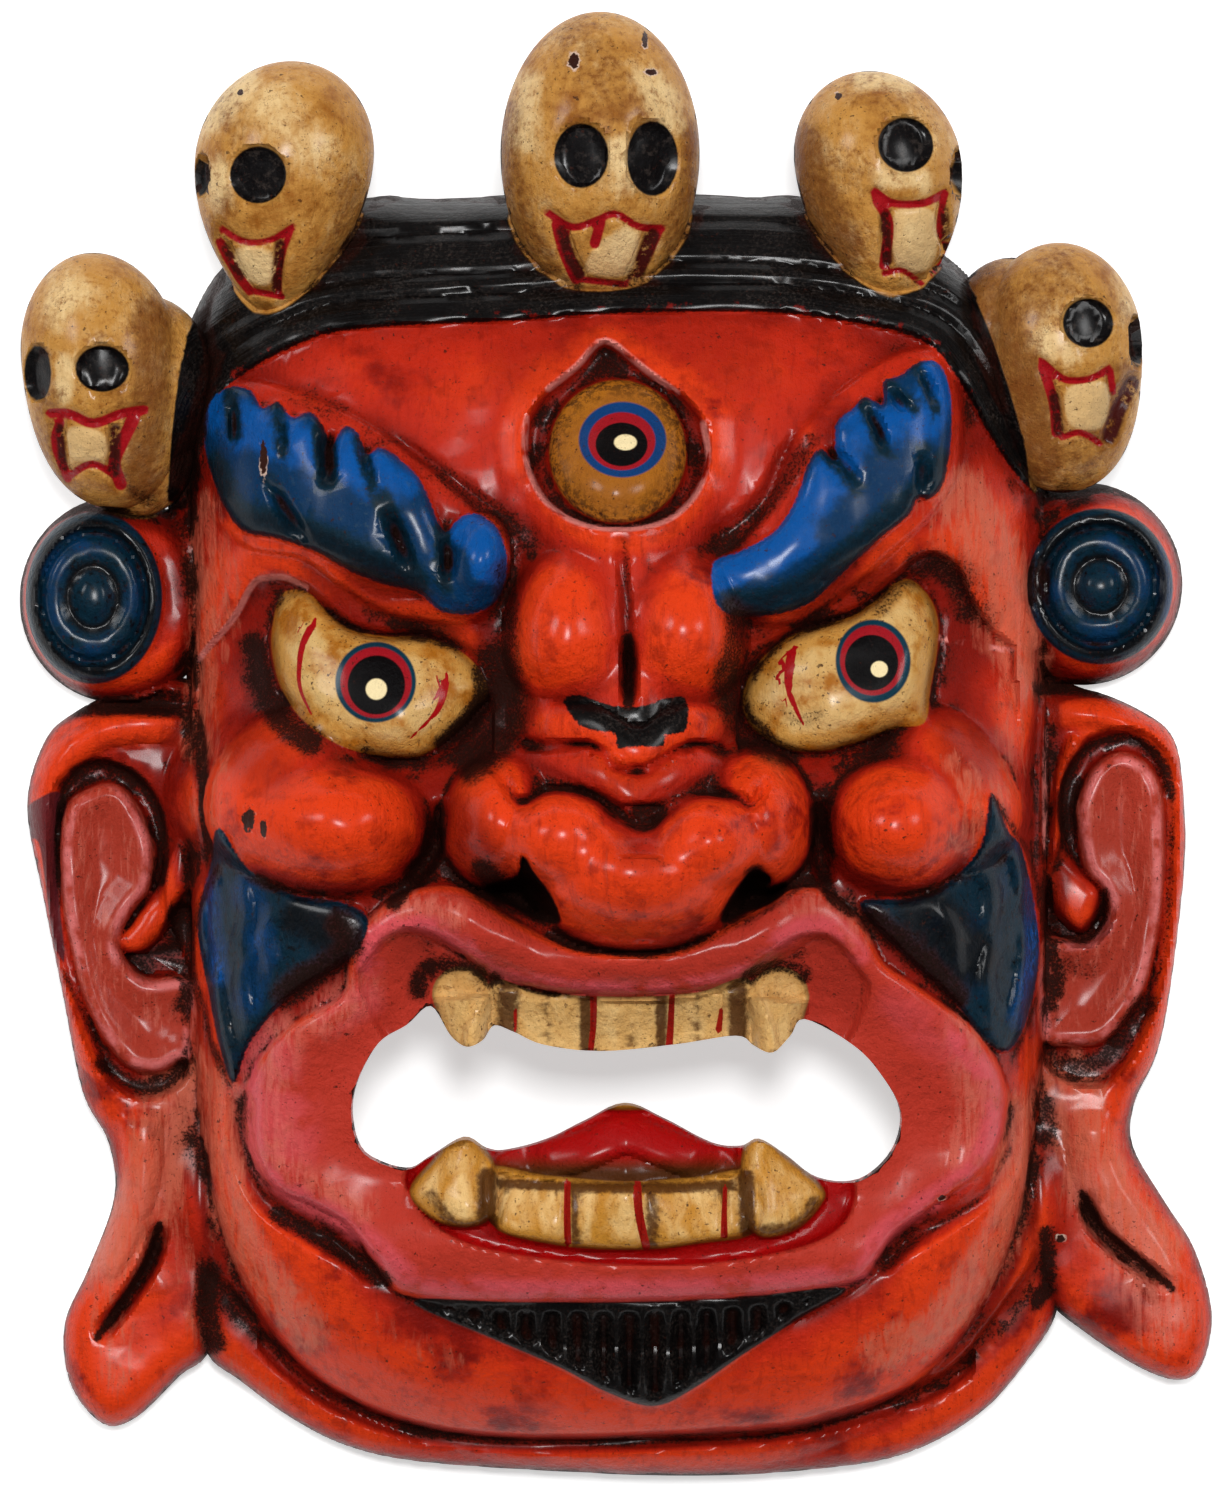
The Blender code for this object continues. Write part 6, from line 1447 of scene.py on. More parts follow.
def paintFields(mask):
    x, y, z = places(mask).T
    line = smoothCurve(hair["line"], False)
    fields = {
        "hair": insideDistance(np.vstack([line, hair["behind"]]), x, y).clip(-8, 30),
        "blue": outlineField(x, y, brows["left"], brows["right"]),
        "whiskers": outlineField(x, y, whiskers["left"], whiskers["right"]),
        "bone": boneField(x, y, z),
        "sockets": ellipseField(x, y, [(e[:2], e[2:]) for s in skulls["each"] for e in s["eyes"]]),
        "skullReds": skullStrokes("red", x, y),
        "skullSlits": skullStrokes("slit", x, y),
        "skullTeeth": outlineField(x, y, *[s["tooth"] for s in skulls["each"]]),
        "brownStainAndShade": strokeField(x, y, skulls["brownStainAndShade"]),
        "paleWearAndLight": strokeField(x, y, skulls["paleWearAndLight"]),
        "drip": outlineField(x, y, paint["drip"]),
        "toothStainsAndShade": strokeField(x, y, paint["toothStainsAndShade"]),
        "eyes": outlineField(x, y, eyes["left"], eyes["right"]),
        "gums": outlineField(x, y, mouth["gumsAbove"], mouth["gumsBelow"]),
        "tongue": outlineField(x, y, tongue["outline"]),
        "teeth": toothField(x, y),
        "lips": outlineField(x, y, mouth["lips"]),
        "pads": outlineField(x, y, *ears["pads"]),
        "beard": outlineField(x, y, beard["outline"]),
        "nosePatch": outlineField(x, y, paint["nosePatch"], *nose["nostrils"]),
        "edgeHighlights": lineField(x, y, paint["edgeHighlights"]),
    }
    for name in ("vessels", "toothLines"):
        fields[name], fields[name + "Half"] = lineMarks(x, y, paint[name])
    for name in ("sootAndShade", "worn", "deep", "paintedHighlights", "lipHighlights", "salmon", "skyBlue", "darkBlue"):
        fields[name] = strokeField(x, y, paint[name])
    xs, ys, heights = heightMap(mask)
    top = sampled(xs, ys, heights, x, y)
    # How far each place lies below its surroundings, finely and broadly. The paint darkens hollows with it as
    # painted shade, and lightens swellings as painted highlight.
    fields["crease"] = sampled(xs, ys, blurred(heights, paint["fineBlur"]), x, y) - top
    fields["dip"] = sampled(xs, ys, blurred(heights, paint["broadBlur"]), x, y) - top
    for name, values in fields.items():
        mask.data.attributes.new(name, "FLOAT", "POINT").data.foreach_set("value", values.astype(np.float32))
    return fields


# Which coats each paint has besides the red. A face takes the first paint that has all its coats, so
# that no face carries a coat that would show nothing on it.
paints = {
    "redPaint": (),
    "fleshPaint": ("flesh",),
    "crownPaint": ("black", "bone"),
    "bluePaint": ("flesh", "blue"),
    "eyePaint": ("eyes",),
    "mouthPaint": ("flesh", "teeth"),
    "blackPaint": ("flesh", "black"),
    "mixedPaint": ("flesh", "black", "blue", "bone", "teeth", "eyes", "chips"),
}


def coatsNeeded(x, y, fields):
    # Where each coat may show, with a little to spare.
    def reaches(*names):
        return np.max([fields[name] for name in names], axis=0) > -paint["spare"]

    def covers(ellipses, size):
        return np.min([ellipseDistance(centre, radii, 0, x, y) for centre, radii in ellipses], axis=0) < size

    discs = (bosses["discLeft"], bosses["discRight"])
    strokes = (fields["lipHighlights"] > 0) | (fields["salmon"] > 0) | (fields["edgeHighlights"] < paint["spare"])
    return {
        "flesh": reaches("lips", "pads", "drip", "gums", "tongue") | strokes,
        "black": reaches("hair", "beard", "nosePatch"),
        "blue": reaches("blue", "whiskers") | covers(discs, paint["discReach"]),
        "bone": reaches("bone"),
        "teeth": reaches("teeth"),
        "eyes": reaches("eyes") | covers((thirdEye["ball"],), paint["discReach"]),
        "chips": covers(paint["chips"], paint["chipReach"]),
    }


def paintOfFaces(mask, fields):
    # The number of each face's paint.
    x, y, _ = places(mask).T
    needed = coatsNeeded(x, y, fields)
    corners = np.empty(len(mask.data.loops), np.int32)
    mask.data.loops.foreach_get("vertex_index", corners)
    starts = np.empty(len(mask.data.polygons), np.int32)
    mask.data.polygons.foreach_get("loop_start", starts)
    chosen = np.full(len(starts), len(paints) - 1)
    for number, coats in reversed(list(enumerate(paints.values()))):
        others = [needed[coat] for coat in needed if coat not in coats]
        lacking = np.any(others, axis=0)[corners] if others else np.zeros(len(corners), bool)
        chosen[~np.logical_or.reduceat(lacking, starts)] = number
    return chosen


def linear(red, green, blue):
    # A colour as it is seen, from 0 to 255, as the shader's own colour.
    shares = [c / 255 for c in (red, green, blue)]
    return tuple(c / 12.92 if c < 0.0404 else ((c + 0.055) / 1.055) ** 2.4 for c in shares) + (1,)


class Coats:
    # Lays paint on one material, coat on coat. Patterns are in millimetres.
    def __init__(self, name):
        self.material = bpy.data.materials.new(name)
        self.material.use_nodes = True
        self.tree = self.material.node_tree
        self.shader = self.tree.nodes["Principled BSDF"]
        where = self.add("ShaderNodeTexCoord").outputs["Object"]
        self.place = self.vector("SCALE", where, scale=1000)

    def add(self, kind, **settings):
        node = self.tree.nodes.new(kind)
        for name, value in settings.items():
            setattr(node, name, value)
        return node

    def feed(self, socket, value):
        # Takes another node's output, a colour's name or a plain value.
        if isinstance(value, bpy.types.NodeSocket):
            self.tree.links.new(value, socket)
        else:
            socket.default_value = colours[value] if isinstance(value, str) else value

    def vector(self, operation, *values, scale=None):
        node = self.add("ShaderNodeVectorMath", operation=operation)
        for socket, value in zip(node.inputs, values):
            self.feed(socket, value)
        if scale is not None:
            node.inputs["Scale"].default_value = scale
        return node.outputs["Value" if operation == "LENGTH" else "Vector"]

    def sum(self, operation, *values):
        node = self.add("ShaderNodeMath", operation=operation)
        for socket, value in zip(node.inputs, values):
            self.feed(socket, value)
        return node.outputs[0]

    def step(self, value, low, high, axis=None):
        # Rises smoothly from 0 at low to 1 at high. Low may be the larger, and then it falls.
        if axis:
            parts = self.add("ShaderNodeSeparateXYZ")
            self.feed(parts.inputs[0], value)
            value = parts.outputs[axis]
        node = self.add("ShaderNodeMapRange", interpolation_type="SMOOTHSTEP")
        self.feed(node.inputs["Value"], value)
        node.inputs["From Min"].default_value = low
        node.inputs["From Max"].default_value = high
        return node.outputs["Result"]

    def field(self, name):
        return self.add("ShaderNodeAttribute", attribute_name=name).outputs["Fac"]

    def within(self, name, low, high):
        return self.step(self.field(name), low, high)

    def cloud(self, size, detail=3, rough=0.5, stretch=None, twist=0.0):
        node = self.add("ShaderNodeTexNoise")
        place = self.vector("MULTIPLY", self.place, stretch) if stretch else self.place
        self.feed(node.inputs["Vector"], place)
        node.inputs["Scale"].default_value = 1 / size
        node.inputs["Detail"].default_value = detail
        node.inputs["Roughness"].default_value = rough
        node.inputs["Distortion"].default_value = twist
        return node.outputs["Fac"]

    def line(self, name):
        inside = self.sum("SUBTRACT", self.field(name + "Half"), self.sum("ABSOLUTE", self.field(name)))
        return self.step(inside, -0.12, 0.12)

    def strands(self, field, size):
        # Fine lines that run along a field's edge.
        place = self.add("ShaderNodeCombineXYZ")
        self.feed(place.inputs["X"], self.sum("DIVIDE", field, size))
        self.feed(place.inputs["Y"], self.step(self.place, -180, 180, "X"))
        node = self.add("ShaderNodeTexNoise")
        self.feed(node.inputs["Vector"], place.outputs[0])
        node.inputs["Scale"].default_value = 1
        node.inputs["Detail"].default_value = 3
        return node.outputs["Fac"]

    def ragged(self, name, low, high):
        # A painted place whose edge wavers a little, as a brush leaves it.
        inside = self.sum("SUBTRACT", self.field(name), 0.7)
        return self.step(self.sum("MULTIPLY_ADD", self.cloud(1.1, 3, 0.65), 1.4, inside), low, high)

    def coat(self, below, colour, mask):
        node = self.add("ShaderNodeMix", data_type="RGBA")
        self.feed(node.inputs["Factor"], mask)
        self.feed(node.inputs[6], below)
        self.feed(node.inputs[7], colour)
        return node.outputs[2]

    def blend(self, below, value, mask):
        node = self.add("ShaderNodeMix", data_type="FLOAT")
        self.feed(node.inputs["Factor"], mask)
        self.feed(node.inputs[2], below)
        self.feed(node.inputs[3], value)
        return node.outputs[0]

    def emboss(self, relief, strength, distance):
        bump = self.add("ShaderNodeBump")
        bump.inputs["Strength"].default_value = strength
        bump.inputs["Distance"].default_value = distance
        self.feed(bump.inputs["Height"], relief)
        self.feed(self.shader.inputs["Normal"], bump.outputs["Normal"])

    def both(self, a, b):
        return self.sum("MULTIPLY", a, b)

    def plus(self, a, b):
        return self.sum("ADD", a, b)

    def most(self, a, b):
        return self.sum("MAXIMUM", a, b)

    def swing(self, pattern, much):
        # A pattern from 0 to 1, made to swing evenly to both sides of nothing.
        return self.both(self.sum("SUBTRACT", pattern, 0.5), much)

    def ellipse(self, centre, radii):
        # The distance from a centre, where 1 is an ellipse's edge.
        offset = self.vector("SUBTRACT", self.place, (centre[0], centre[1], 0))
        return self.vector("LENGTH", self.vector("MULTIPLY", offset, (1 / radii[0], 1 / radii[1], 0)))

    def band(self, value, middle, half, soft=0.15):
        off = self.sum("ABSOLUTE", self.sum("SUBTRACT", value, middle))
        return self.step(off, half + soft, half - soft)


colours = {
    "redDeep": linear(118, 16, 8),
    "red": linear(182, 38, 18),
    # a brighter red for painted highlights
    "redHighlight": linear(216, 58, 18),
    # a pale red for worn paint and painted sheen
    "redWornAndSheen": linear(206, 106, 80),
    "lipRed": linear(178, 52, 38),
    "lipPink": linear(206, 78, 84),
    "salmon": linear(206, 108, 90),
    "pad": linear(168, 56, 40),
    # paler pinks for painted highlights on the pads' edges and along rims
    "padEdgeHighlight": linear(214, 112, 108),
    "pinkHighlight": linear(222, 130, 120),
    "black": linear(9, 7, 7),
    "dusty": linear(58, 50, 46),
    "blue": linear(4, 46, 82),
    # a brighter blue for painted highlights
    "blueBright": linear(6, 76, 146),
    "teal": linear(8, 36, 50),
    # a grey teal for flecks of painted sheen
    "greyTealSheen": linear(74, 92, 92),
    "bone": linear(186, 132, 62),
    "bonePale": linear(226, 194, 140),
    "ochre": linear(140, 82, 24),
    "tooth": linear(188, 128, 44),
    "toothPale": linear(230, 190, 126),
    "toothBrown": linear(74, 38, 14),
    "toothLine": linear(148, 22, 14),
    "crimson": linear(156, 9, 9),
    "skullRed": linear(150, 14, 22),
    "skullDark": linear(66, 20, 16),
    "boneBrown": linear(112, 62, 26),
    "drip": linear(74, 30, 38),
    "scuff": linear(206, 176, 158),
    "eyeWhite": linear(190, 138, 66),
    "eyePale": linear(208, 172, 112),
    "eyeOchre": linear(160, 96, 24),
    "thirdOchre": linear(152, 90, 28),
    "iris": linear(10, 50, 66),
    "irisBlue": linear(14, 56, 108),
    "irisRed": linear(150, 20, 30),
    "vessel": linear(156, 8, 14),
    "pupil": linear(8, 6, 7),
    "dot": linear(238, 218, 168),
    # grime and soot, also laid as painted shade in hollows
    "grimeAndShade": linear(66, 22, 12),
    "sootAndShade": linear(28, 15, 11),
    "speck": linear(50, 22, 14),
    "wood": linear(96, 62, 36),
    "woodDark": linear(48, 30, 18),
}

irises = {      # the outer ring, the red ring in it and the pupil each have a centre and radii of their own
    "left": {"rings": (((-59.5, 16.4), (10, 10)), ((-59.4, 16.3), (8.8, 8.8)), ((-59.3, 15.7), (7.1, 7.3))),
             "tint": "iris", "dot": ((-59.3, 14.65), (2.6, 2.6))},
    "right": {"rings": (((63.4, 21.6), (9.3, 10.3)), ((63.2, 21.8), (8, 8.7)), ((63, 21.2), (6.6, 6.9))),
              "tint": "iris", "dot": ((64.9, 19.6), (2.1, 2.0))},
    "third": {"rings": (((1.5, 76.2), (10.8, 9.5)), ((1.3, 75.8), (8.3, 7.3)), ((1.25, 75), (6.4, 5.5))),
              "tint": "irisBlue", "dot": ((2.2, 75.5), (2.8, 2.0))},
}


def layRed(c):
    tone = c.cloud(26, 5, 0.62)
    patch = c.cloud(7, 4, 0.62)
    streak = c.cloud(2.0, 5, 0.66, (1, 0.16, 0.4), 0.8)
    colour = c.coat("redDeep", "red", c.step(tone, 0.3, 0.5))
    # Swellings, and rims that catch the light, are painted a brighter red: painted highlight, with random
    # patches.
    swelling = c.within("dip", 0.6, -2.0)
    lit = c.most(c.both(swelling, c.step(tone, 0.32, 0.52)), c.field("paintedHighlights"))
    lit = c.plus(lit, c.swing(patch, 1.0))
    colour = c.coat(colour, "redHighlight", c.step(lit, 0.0, 0.9))
    # Hollows are painted a deeper red: painted shade.
    sunk = c.most(c.both(c.within("dip", 0.0, 2.0), 0.85), c.both(c.field("deep"), 0.85))
    colour = c.coat(colour, "redDeep", sunk)
    colour = c.coat(colour, "redDeep", c.both(c.step(streak, 0.5, 0.72), 0.4))
    colour = c.coat(colour, "redDeep", c.both(c.step(patch, 0.52, 0.7), 0.45))
    # Pale streaks on the sides of the face and jaw: worn paint and painted sheen of the varnish.
    wearAndSheen = c.plus(c.field("worn"), c.swing(streak, 2.2))
    return c.coat(colour, "redWornAndSheen", c.both(c.step(wearAndSheen, 0.3, 1.15), 0.72))


def layFlesh(c, colour):
    edge = c.cloud(9, 3, 0.6)
    # Thin pink lines along the lids, the third eye's rim and an ear's edge: painted highlights.
    colour = c.coat(colour, "pinkHighlight", c.both(c.within("edgeHighlights", 1.1, 0.3), c.step(edge, 0.3, 0.5)))
    lips = c.within("lips", -0.3, 0.5)
    colour = c.coat(colour, "lipRed", lips)
    # The lips' rounded rims are painted brighter: painted highlight.
    colour = c.coat(colour, "redHighlight", c.both(lips, c.both(c.within("lips", 2.2, 0.6), 0.8)))
    # Pale salmon smears: worn paint and painted sheen.
    smear = c.cloud(1.6, 4, 0.65, (1, 0.16, 0.5), 0.4)
    dab = c.both(c.field("salmon"), c.step(smear, 0.34, 0.6))
    colour = c.coat(colour, "salmon", dab)
    # Pink along the lips' rims and lit sides: painted highlight.
    colour = c.coat(colour, "lipPink", c.both(c.field("lipHighlights"), c.step(edge, 0.28, 0.56)))
    pads = c.within("pads", -0.2, 0.5)
    pad = c.coat("pad", "salmon", c.both(c.step(smear, 0.5, 0.72), 0.55))
    colour = c.coat(colour, pad, pads)
    # The pads' rounded edges are painted paler: painted highlight.
    highlightBand = c.both(pads, c.band(c.field("pads"), 2.2, 1.1, 0.9))
    colour = c.coat(colour, "padEdgeHighlight", c.both(highlightBand, c.step(edge, 0.38, 0.6)))
    colour = c.coat(colour, "drip", c.both(c.within("drip", -0.2, 0.4), 0.9))
    gums = c.both(c.within("gums", -0.3, 0.4), c.step(c.place, -80, -90, "Y"))
    colour = c.coat(colour, "crimson", gums)
    # The tongue's lower part, its underside, is painted brown: painted shade.
    tip = c.coat("crimson", "toothBrown", c.step(c.place, -99.5, -105, "Y"))
    return c.coat(colour, tip, c.within("tongue", -0.6, 0.2))


def layBlack(c, colour):
    dust = c.both(c.step(c.cloud(0.8, 4, 0.75), 0.46, 0.72), c.step(c.cloud(11, 3, 0.6), 0.36, 0.6))
    black = c.coat("black", "dusty", c.both(dust, 0.8))
    rubbed = c.both(c.band(c.field("hair"), 1.4, 0.9, 0.6), c.step(c.cloud(4, 4, 0.7), 0.56, 0.66))
    black = c.coat(black, "redDeep", c.both(rubbed, 0.9))
    hairMask = c.ragged("hair", -0.2, 0.3)
    beardMask = c.within("beard", -0.3, 0.3)
    noseMask = c.ragged("nosePatch", -0.4, 0.1)
    return c.coat(colour, black, c.most(c.most(hairMask, beardMask), noseMask))


def layBlue(c, colour):
    tone = c.cloud(10, 4, 0.62)
    mottle = c.cloud(1.8, 4, 0.7)
    speck = c.cloud(0.7, 3, 0.7)
    # The brows are painted brighter blue where they catch the light, with faint grey flecks of painted sheen,
    # and teal to black in the slots and along the lower edges: painted highlight, and patina with painted
    # shade.
    high = c.plus(c.field("skyBlue"), c.swing(tone, 1.6))
    low = c.plus(c.field("darkBlue"), c.swing(mottle, 0.9))
    blue = c.coat("blue", "blueBright", c.step(high, 0.2, 0.9))
    blue = c.coat(blue, "greyTealSheen", c.both(c.step(mottle, 0.54, 0.74), 0.25))
    blue = c.coat(blue, "teal", c.step(low, 0.1, 0.75))
    blue = c.coat(blue, "black", c.both(c.step(low, 0.6, 1.1), 0.6))
    brow = c.ragged("blue", -0.3, 0.2)
    colour = c.coat(colour, blue, brow)
    dark = c.coat("black", "teal", c.step(mottle, 0.3, 0.5))
    # Blue where the whiskers catch the light and black in their hollows: painted highlight and painted shade,
    # over mottled teal.
    dark = c.coat(dark, "blue", c.both(c.step(high, 0.0, 0.7), c.step(speck, 0.3, 0.5)))
    dark = c.coat(dark, "blueBright", c.both(c.step(high, 0.6, 1.2), c.step(mottle, 0.4, 0.6)))
    dark = c.coat(dark, "black", c.both(c.step(low, 0.3, 0.9), 0.85))
    side = c.ragged("whiskers", -0.3, 0.3)
    for disc in ("discLeft", "discRight"):
        off = c.ellipse(*bosses[disc])
        # Black rings over the discs' shallow grooves are painted shade, and a blue band on the raised ring is
        # a painted highlight.
        rings = c.most(c.band(off, 0.85, 0.06, 0.03), c.band(off, 0.36, 0.06, 0.04))
        highlightBand = c.both(c.band(off, 0.58, 0.1, 0.1), c.step(tone, 0.4, 0.6))
        dark = c.coat(dark, "blue", c.both(highlightBand, 0.8))
        dark = c.coat(dark, "black", c.both(rings, 0.9))
        side = c.most(side, c.step(off, 1.01, 0.98))
    return c.coat(colour, dark, side)


def layBone(c, colour):
    stain = c.cloud(14, 5, 0.68)
    spots = c.cloud(2.4, 4, 0.72)
    streak = c.cloud(2.4, 4, 0.6, (1, 0.4, 0.6), 0.8)
    bone = c.coat("ochre", "bone", c.step(stain, 0.26, 0.5))
    # Paler bone on the skulls' fronts, foreheads and cheekbones: wear and painted highlight.
    boneWearAndLight = c.plus(c.field("paleWearAndLight"), c.swing(stain, 2.2))
    boneWearAndLight = c.plus(boneWearAndLight, c.swing(streak, 1.0))
    bone = c.coat(bone, "bonePale", c.both(c.step(boneWearAndLight, -0.1, 0.95), 0.9))
    bone = c.coat(bone, "ochre", c.both(c.step(spots, 0.5, 0.7), 0.6))
    cracks = c.both(c.band(c.cloud(6, 4, 0.7), 0.5, 0.004, 0.012), c.step(stain, 0.5, 0.62))
    bone = c.coat(bone, "boneBrown", c.both(cracks, 0.8))
    # Brown on the skulls' sides, flanks and under their cheeks: stain and painted shade.
    shade = c.plus(c.field("brownStainAndShade"), c.swing(spots, 1.6))
    bone = c.coat(bone, "boneBrown", c.both(c.step(shade, 0.1, 1.1), 0.8))
    bone = c.coat(bone, "bonePale", c.both(c.within("skullTeeth", -0.2, 1.0), 0.6))
    mask = c.within("bone", -0.2, 0.3)
    colour = c.coat(colour, bone, mask)
    colour = c.coat(colour, "skullRed", c.both(mask, c.within("skullReds", -0.25, 0.25)))
    # The carved mouth slits are painted dark: painted shade, broken by speckles.
    slits = c.both(c.within("skullSlits", -0.5, 0.5), c.step(spots, 0.3, 0.52))
    colour = c.coat(colour, "skullDark", c.both(mask, slits))
    dusty = c.coat("pupil", "dusty", c.both(c.step(spots, 0.5, 0.7), 0.6))
    return c.coat(colour, dusty, c.both(mask, c.within("sockets", -0.4, 0.1))), mask


def layTeeth(c, colour):
    streak = c.cloud(4.5, 3, 0.5, (1, 0.45, 0.6), 0.6)
    # The teeth are painted paler in their middles and towards the top: painted highlight.
    tooth = c.coat("tooth", "toothPale", c.both(c.step(streak, 0.3, 0.8), c.within("teeth", 1.0, 3.4)))
    tooth = c.coat(tooth, "toothPale", c.both(c.step(c.place, -80, -74, "Y"), 0.5))
    tooth = c.coat(tooth, "ochre", c.both(c.step(c.cloud(1.5, 4, 0.7), 0.52, 0.72), 0.6))
    # Brown along the teeth's edges and in the gaps beside them: stain and painted shade.
    tooth = c.coat(tooth, "toothBrown", c.both(c.within("teeth", 1.2, 0.0), 0.6))
    stain = c.plus(c.field("toothStainsAndShade"), c.swing(c.cloud(1.6, 4, 0.7), 0.9))
    tooth = c.coat(tooth, "toothBrown", c.both(c.step(stain, 0.1, 0.75), 0.92))
    tooth = c.coat(tooth, "toothLine", c.line("toothLines"))
    return c.coat(colour, tooth, c.within("teeth", -0.3, 0.2))


def layEyes(c, colour):
    stain = c.cloud(9, 4, 0.6)
    white = c.coat("eyeOchre", "eyeWhite", c.step(stain, 0.36, 0.54))
    middle = c.sum("MULTIPLY_ADD", c.within("eyes", 2.0, 7.0), 0.3, stain)
    white = c.coat(white, "eyePale", c.both(c.step(middle, 0.62, 0.95), 0.85))
    # Brown along the eyeballs' edges under the lids: grime and painted shade.
    white = c.coat(white, "toothBrown", c.both(c.within("eyes", 3.0, 0.0), c.step(stain, 0.3, 0.6)))
    dots = c.both(c.step(c.cloud(1.1, 3, 0.6), 0.6, 0.66), c.step(c.cloud(8, 2, 0.5), 0.45, 0.6))
    white = c.coat(white, "speck", c.both(dots, 0.85))
    white = c.coat(white, "vessel", c.line("vessels"))
    sides = c.within("eyes", -0.1, 0.4)
    # Ochre along the very edge of each eyeball: painted shade under the lids.
    white = c.coat("eyeOchre", white, c.within("eyes", 0, 1.6))
    colour = c.coat(colour, white, sides)
    ball = c.ellipse(*thirdEye["ball"])
    ochre = c.coat("thirdOchre", "eyeOchre", c.step(stain, 0.4, 0.6))
    # The ball's outer part is darkened with speckles: dirt, and painted shade where it meets the hollow.
    worn = c.both(c.step(ball, 0.6, 1.0), c.step(c.cloud(2, 4, 0.75), 0.42, 0.6))
    ochre = c.coat(ochre, "sootAndShade", c.both(worn, 0.85))
    third = c.step(ball, 1.0, 0.97)
    colour = c.coat(colour, ochre, third)
    for iris in irises.values():
        for tint, ring in zip((iris["tint"], "irisRed", "pupil"), iris["rings"]):
            colour = c.coat(colour, tint, c.step(c.ellipse(*ring), 1.03, 0.97))
        colour = c.coat(colour, "dot", c.step(c.ellipse(*iris["dot"]), 1.1, 0.9))
    return colour


def layGrimeAndShade(c, colour):
    # Grime and soot lie darker where the surface sinks below its surroundings, in creases, grooves and
    # hollows: grime and painted shade.
    patches = c.cloud(12, 4, 0.65)
    speckle = c.cloud(0.7, 4, 0.8)
    deep = c.both(c.within("crease", 0.4, 1.9), 0.8)
    broad = c.both(c.within("dip", 0.9, 4.0), c.step(patches, 0.34, 0.58))
    darkening = c.most(c.most(deep, c.field("sootAndShade")), c.both(broad, 0.7))
    clean = c.both(c.within("gums", -0.5, 0.5), c.step(c.place, -80, -90, "Y"))
    clean = c.most(c.both(clean, 0.75), c.both(c.within("teeth", 0.6, 1.6), 0.55))
    darkening = c.both(darkening, c.sum("SUBTRACT", 1, clean))
    uneven = c.sum("MULTIPLY_ADD", patches, 0.9, -0.45)
    darkening = c.plus(darkening, c.both(uneven, c.step(darkening, 0, 0.3)))
    grains = c.step(c.plus(speckle, c.both(darkening, 0.43)), 0.68, 0.84)
    colour = c.coat(colour, "grimeAndShade", c.both(c.step(darkening, 0.05, 0.9), 0.66))
    colour = c.coat(colour, "sootAndShade", c.both(grains, 0.92))
    specks = c.both(c.step(c.cloud(1.3, 3, 0.6), 0.645, 0.68), c.step(patches, 0.42, 0.56))
    pores = c.both(c.step(c.cloud(0.55, 2, 0.6), 0.66, 0.72), c.step(c.cloud(16, 3, 0.6), 0.4, 0.55))
    colour = c.coat(colour, "speck", c.both(c.most(specks, pores), 0.8))
    return colour, grains, patches


def layChips(c, colour, patches):
    ragged = c.sum("MULTIPLY_ADD", c.cloud(1.6, 3, 0.6), 1.6, -0.8)
    for chip in paint["chips"]:
        size = c.plus(c.ellipse(*chip), ragged)
        colour = c.coat(colour, "scuff", c.both(c.step(size, 1.4, 1.15), c.step(patches, 0.44, 0.56)))
        colour = c.coat(colour, "speck", c.step(size, 1.1, 0.9))
    return colour


varnish = {
    "specular": 0.03,
    "coat": (0.05, 0.16),       # least, and how much more
    "coatInGrime": 0.02,
    "coatRoughness": 0.22,
    "coatIor": 1.8,
    "roughness": (0.22, 0.3),
    "roughnessInGrime": 0.5,
    "bumpStrength": 0.7,
    "bumpDistance": 0.0005,
}


def paintRelief(c, coats, bone, grimeAndShade):
    # The paint's own thickness: brush lines, grains and swellings, with strands in the hair.
    brush = c.cloud(1.1, 4, 0.6, (1, 0.25, 0.6), 0.5)
    relief = c.plus(c.both(brush, 1.2), c.both(c.cloud(0.5, 3, 0.6), 0.6))
    relief = c.plus(relief, c.both(c.cloud(3.2, 3, 0.6), 2.6))
    if "black" in coats:
        hairMask = c.within("hair", 0.0, 1.5)
        if bone:
            hairMask = c.both(hairMask, c.sum("SUBTRACT", 1, bone))
        relief = c.plus(relief, c.both(c.both(c.strands(c.field("hair"), 1.3), hairMask), 4.0))
    if "blue" in coats:
        facets = c.cloud(2.6, 3, 0.6, (1, 0.5, 1), 0.6)
        relief = c.plus(relief, c.both(c.both(facets, c.within("whiskers", 0, 1.5)), 5.0))
    return c.plus(relief, c.both(c.both(c.cloud(1.0, 3, 0.7), grimeAndShade), 1.2))


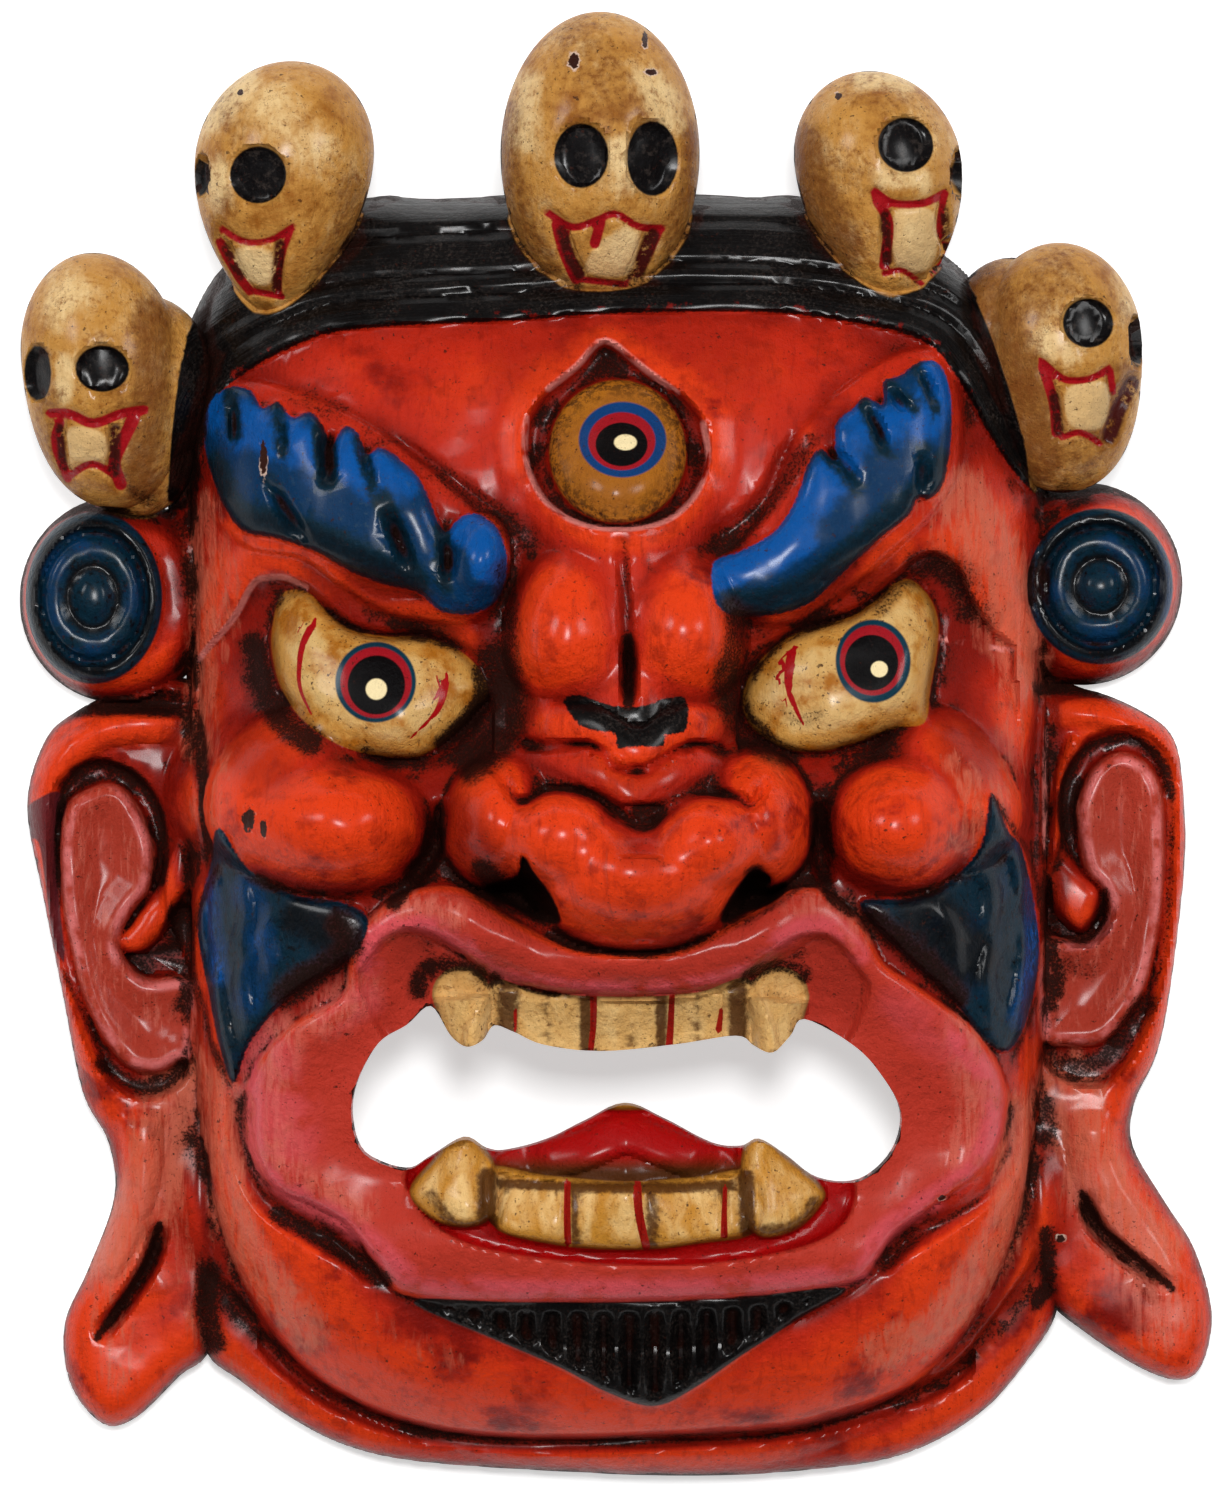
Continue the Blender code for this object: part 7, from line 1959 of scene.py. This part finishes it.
def paintedWood(name, coats):
    c = Coats(name)
    colour = layRed(c)
    bone = None
    if "flesh" in coats:
        colour = layFlesh(c, colour)
    if "black" in coats:
        colour = layBlack(c, colour)
    if "blue" in coats:
        colour = layBlue(c, colour)
    if "bone" in coats:
        colour, bone = layBone(c, colour)
    if "teeth" in coats:
        colour = layTeeth(c, colour)
    if "eyes" in coats:
        colour = layEyes(c, colour)
    colour, grimeAndShade, patches = layGrimeAndShade(c, colour)
    if "chips" in coats:
        colour = layChips(c, colour, patches)
    rough = c.sum("MULTIPLY_ADD", c.cloud(5, 4, 0.6), varnish["roughness"][1], varnish["roughness"][0])
    gloss = c.sum("MULTIPLY_ADD", c.cloud(9, 4, 0.6), varnish["coat"][1], varnish["coat"][0])
    c.feed(c.shader.inputs["Base Color"], colour)
    c.feed(c.shader.inputs["Roughness"], c.blend(rough, varnish["roughnessInGrime"], grimeAndShade))
    c.feed(c.shader.inputs["Coat Weight"], c.blend(gloss, varnish["coatInGrime"], grimeAndShade))
    c.shader.inputs["Specular IOR Level"].default_value = varnish["specular"]
    c.shader.inputs["Coat Roughness"].default_value = varnish["coatRoughness"]
    c.shader.inputs["Coat IOR"].default_value = varnish["coatIor"]
    c.emboss(paintRelief(c, coats, bone, grimeAndShade), varnish["bumpStrength"], varnish["bumpDistance"])
    return c.material


def bareWood():
    c = Coats("bareWood")
    grain = c.cloud(2.4, 5, 0.6, (1, 0.06, 0.6), 0.8)
    colour = c.coat("woodDark", "wood", c.step(grain, 0.36, 0.66))
    colour = c.coat(colour, "grimeAndShade", c.both(c.step(c.cloud(26, 4, 0.6), 0.46, 0.64), 0.7))
    c.feed(c.shader.inputs["Base Color"], colour)
    c.feed(c.shader.inputs["Roughness"], c.sum("MULTIPLY_ADD", grain, 0.25, 0.6))
    c.emboss(grain, 0.6, 0.0006)
    return c.material


def finishMask(mask):
    chosen = paintOfFaces(mask, paintFields(mask))
    print("paint laid out")
    mask.data.materials.clear()
    for name, coats in paints.items():
        mask.data.materials.append(paintedWood(name, coats))
    mask.data.materials.append(bareWood())
    normals = np.empty(len(mask.data.polygons) * 3)
    mask.data.polygons.foreach_get("normal", normals)
    middles = np.empty(len(mask.data.polygons) * 3)
    mask.data.polygons.foreach_get("center", middles)
    behind = (normals.reshape(-1, 3)[:, 2] < -0.2) & (middles.reshape(-1, 3)[:, 2] < 60)
    chosen = np.where(behind, len(paints), chosen)
    mask.data.polygons.foreach_set("material_index", chosen.astype(np.int32))
    mask.data.transform(Matrix.Scale(0.001, 4))
    pick(mask)
    bpy.ops.object.shade_smooth_by_angle(angle=math.radians(40))


def addFloor():
    deselectAll()
    bpy.ops.mesh.primitive_plane_add(size=8, location=(0, 0, -0.0003))
    floor = bpy.context.object
    floor.name = "floor"
    c = Coats("paleFloor")
    c.shader.inputs["Base Color"].default_value = linear(240, 240, 240)
    c.shader.inputs["Roughness"].default_value = 0.9
    c.shader.inputs["Emission Color"].default_value = (1, 1, 1, 1)
    c.shader.inputs["Emission Strength"].default_value = 0.55
    floor.data.materials.append(c.material)


lamps = {           # place in metres, size, power
    "keyLamp": ((0.05, 0.42, 2.6), 0.4, 40),
    "leftLamp": ((-1.5, 0.9, 1.6), 0.6, 19),
    "rightLamp": ((1.5, 0.7, 1.6), 0.6, 16),
}


def addLamps():
    for name, (place, size, power) in lamps.items():
        deselectAll()
        bpy.ops.object.light_add(type="AREA", location=place)
        lamp = bpy.context.object
        lamp.name = name
        lamp.data.size = size
        lamp.data.energy = power
        lamp.rotation_euler = (-Vector(place)).to_track_quat("-Z", "Y").to_euler()
    world = bpy.data.worlds.new("studio")
    world.use_nodes = True
    world.node_tree.nodes["Background"].inputs["Color"].default_value = (1, 1, 1, 1)
    world.node_tree.nodes["Background"].inputs["Strength"].default_value = 0.1
    bpy.context.scene.world = world


view = {"centre": (-0.25, -0.375), "height": 375.0, "plane": 30.0, "distance": 3000.0}


def addCamera():
    deselectAll()
    x, y = view["centre"]
    bpy.ops.object.camera_add(location=(x / 1000, y / 1000, view["distance"] / 1000), rotation=(0, 0, 0))
    camera = bpy.context.object
    camera.name = "camera"
    camera.data.sensor_width = 36
    camera.data.lens = 36 * (view["distance"] - view["plane"]) / view["height"]
    camera.data.clip_end = 20
    bpy.context.scene.camera = camera


bpy.context.scene.view_settings.view_transform = "Standard"
addFloor()
addLamps()
addCamera()
print("studio set up")
carvedMask = addMask()
finishMask(carvedMask)
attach(carvedMask, "root")
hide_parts("mask")
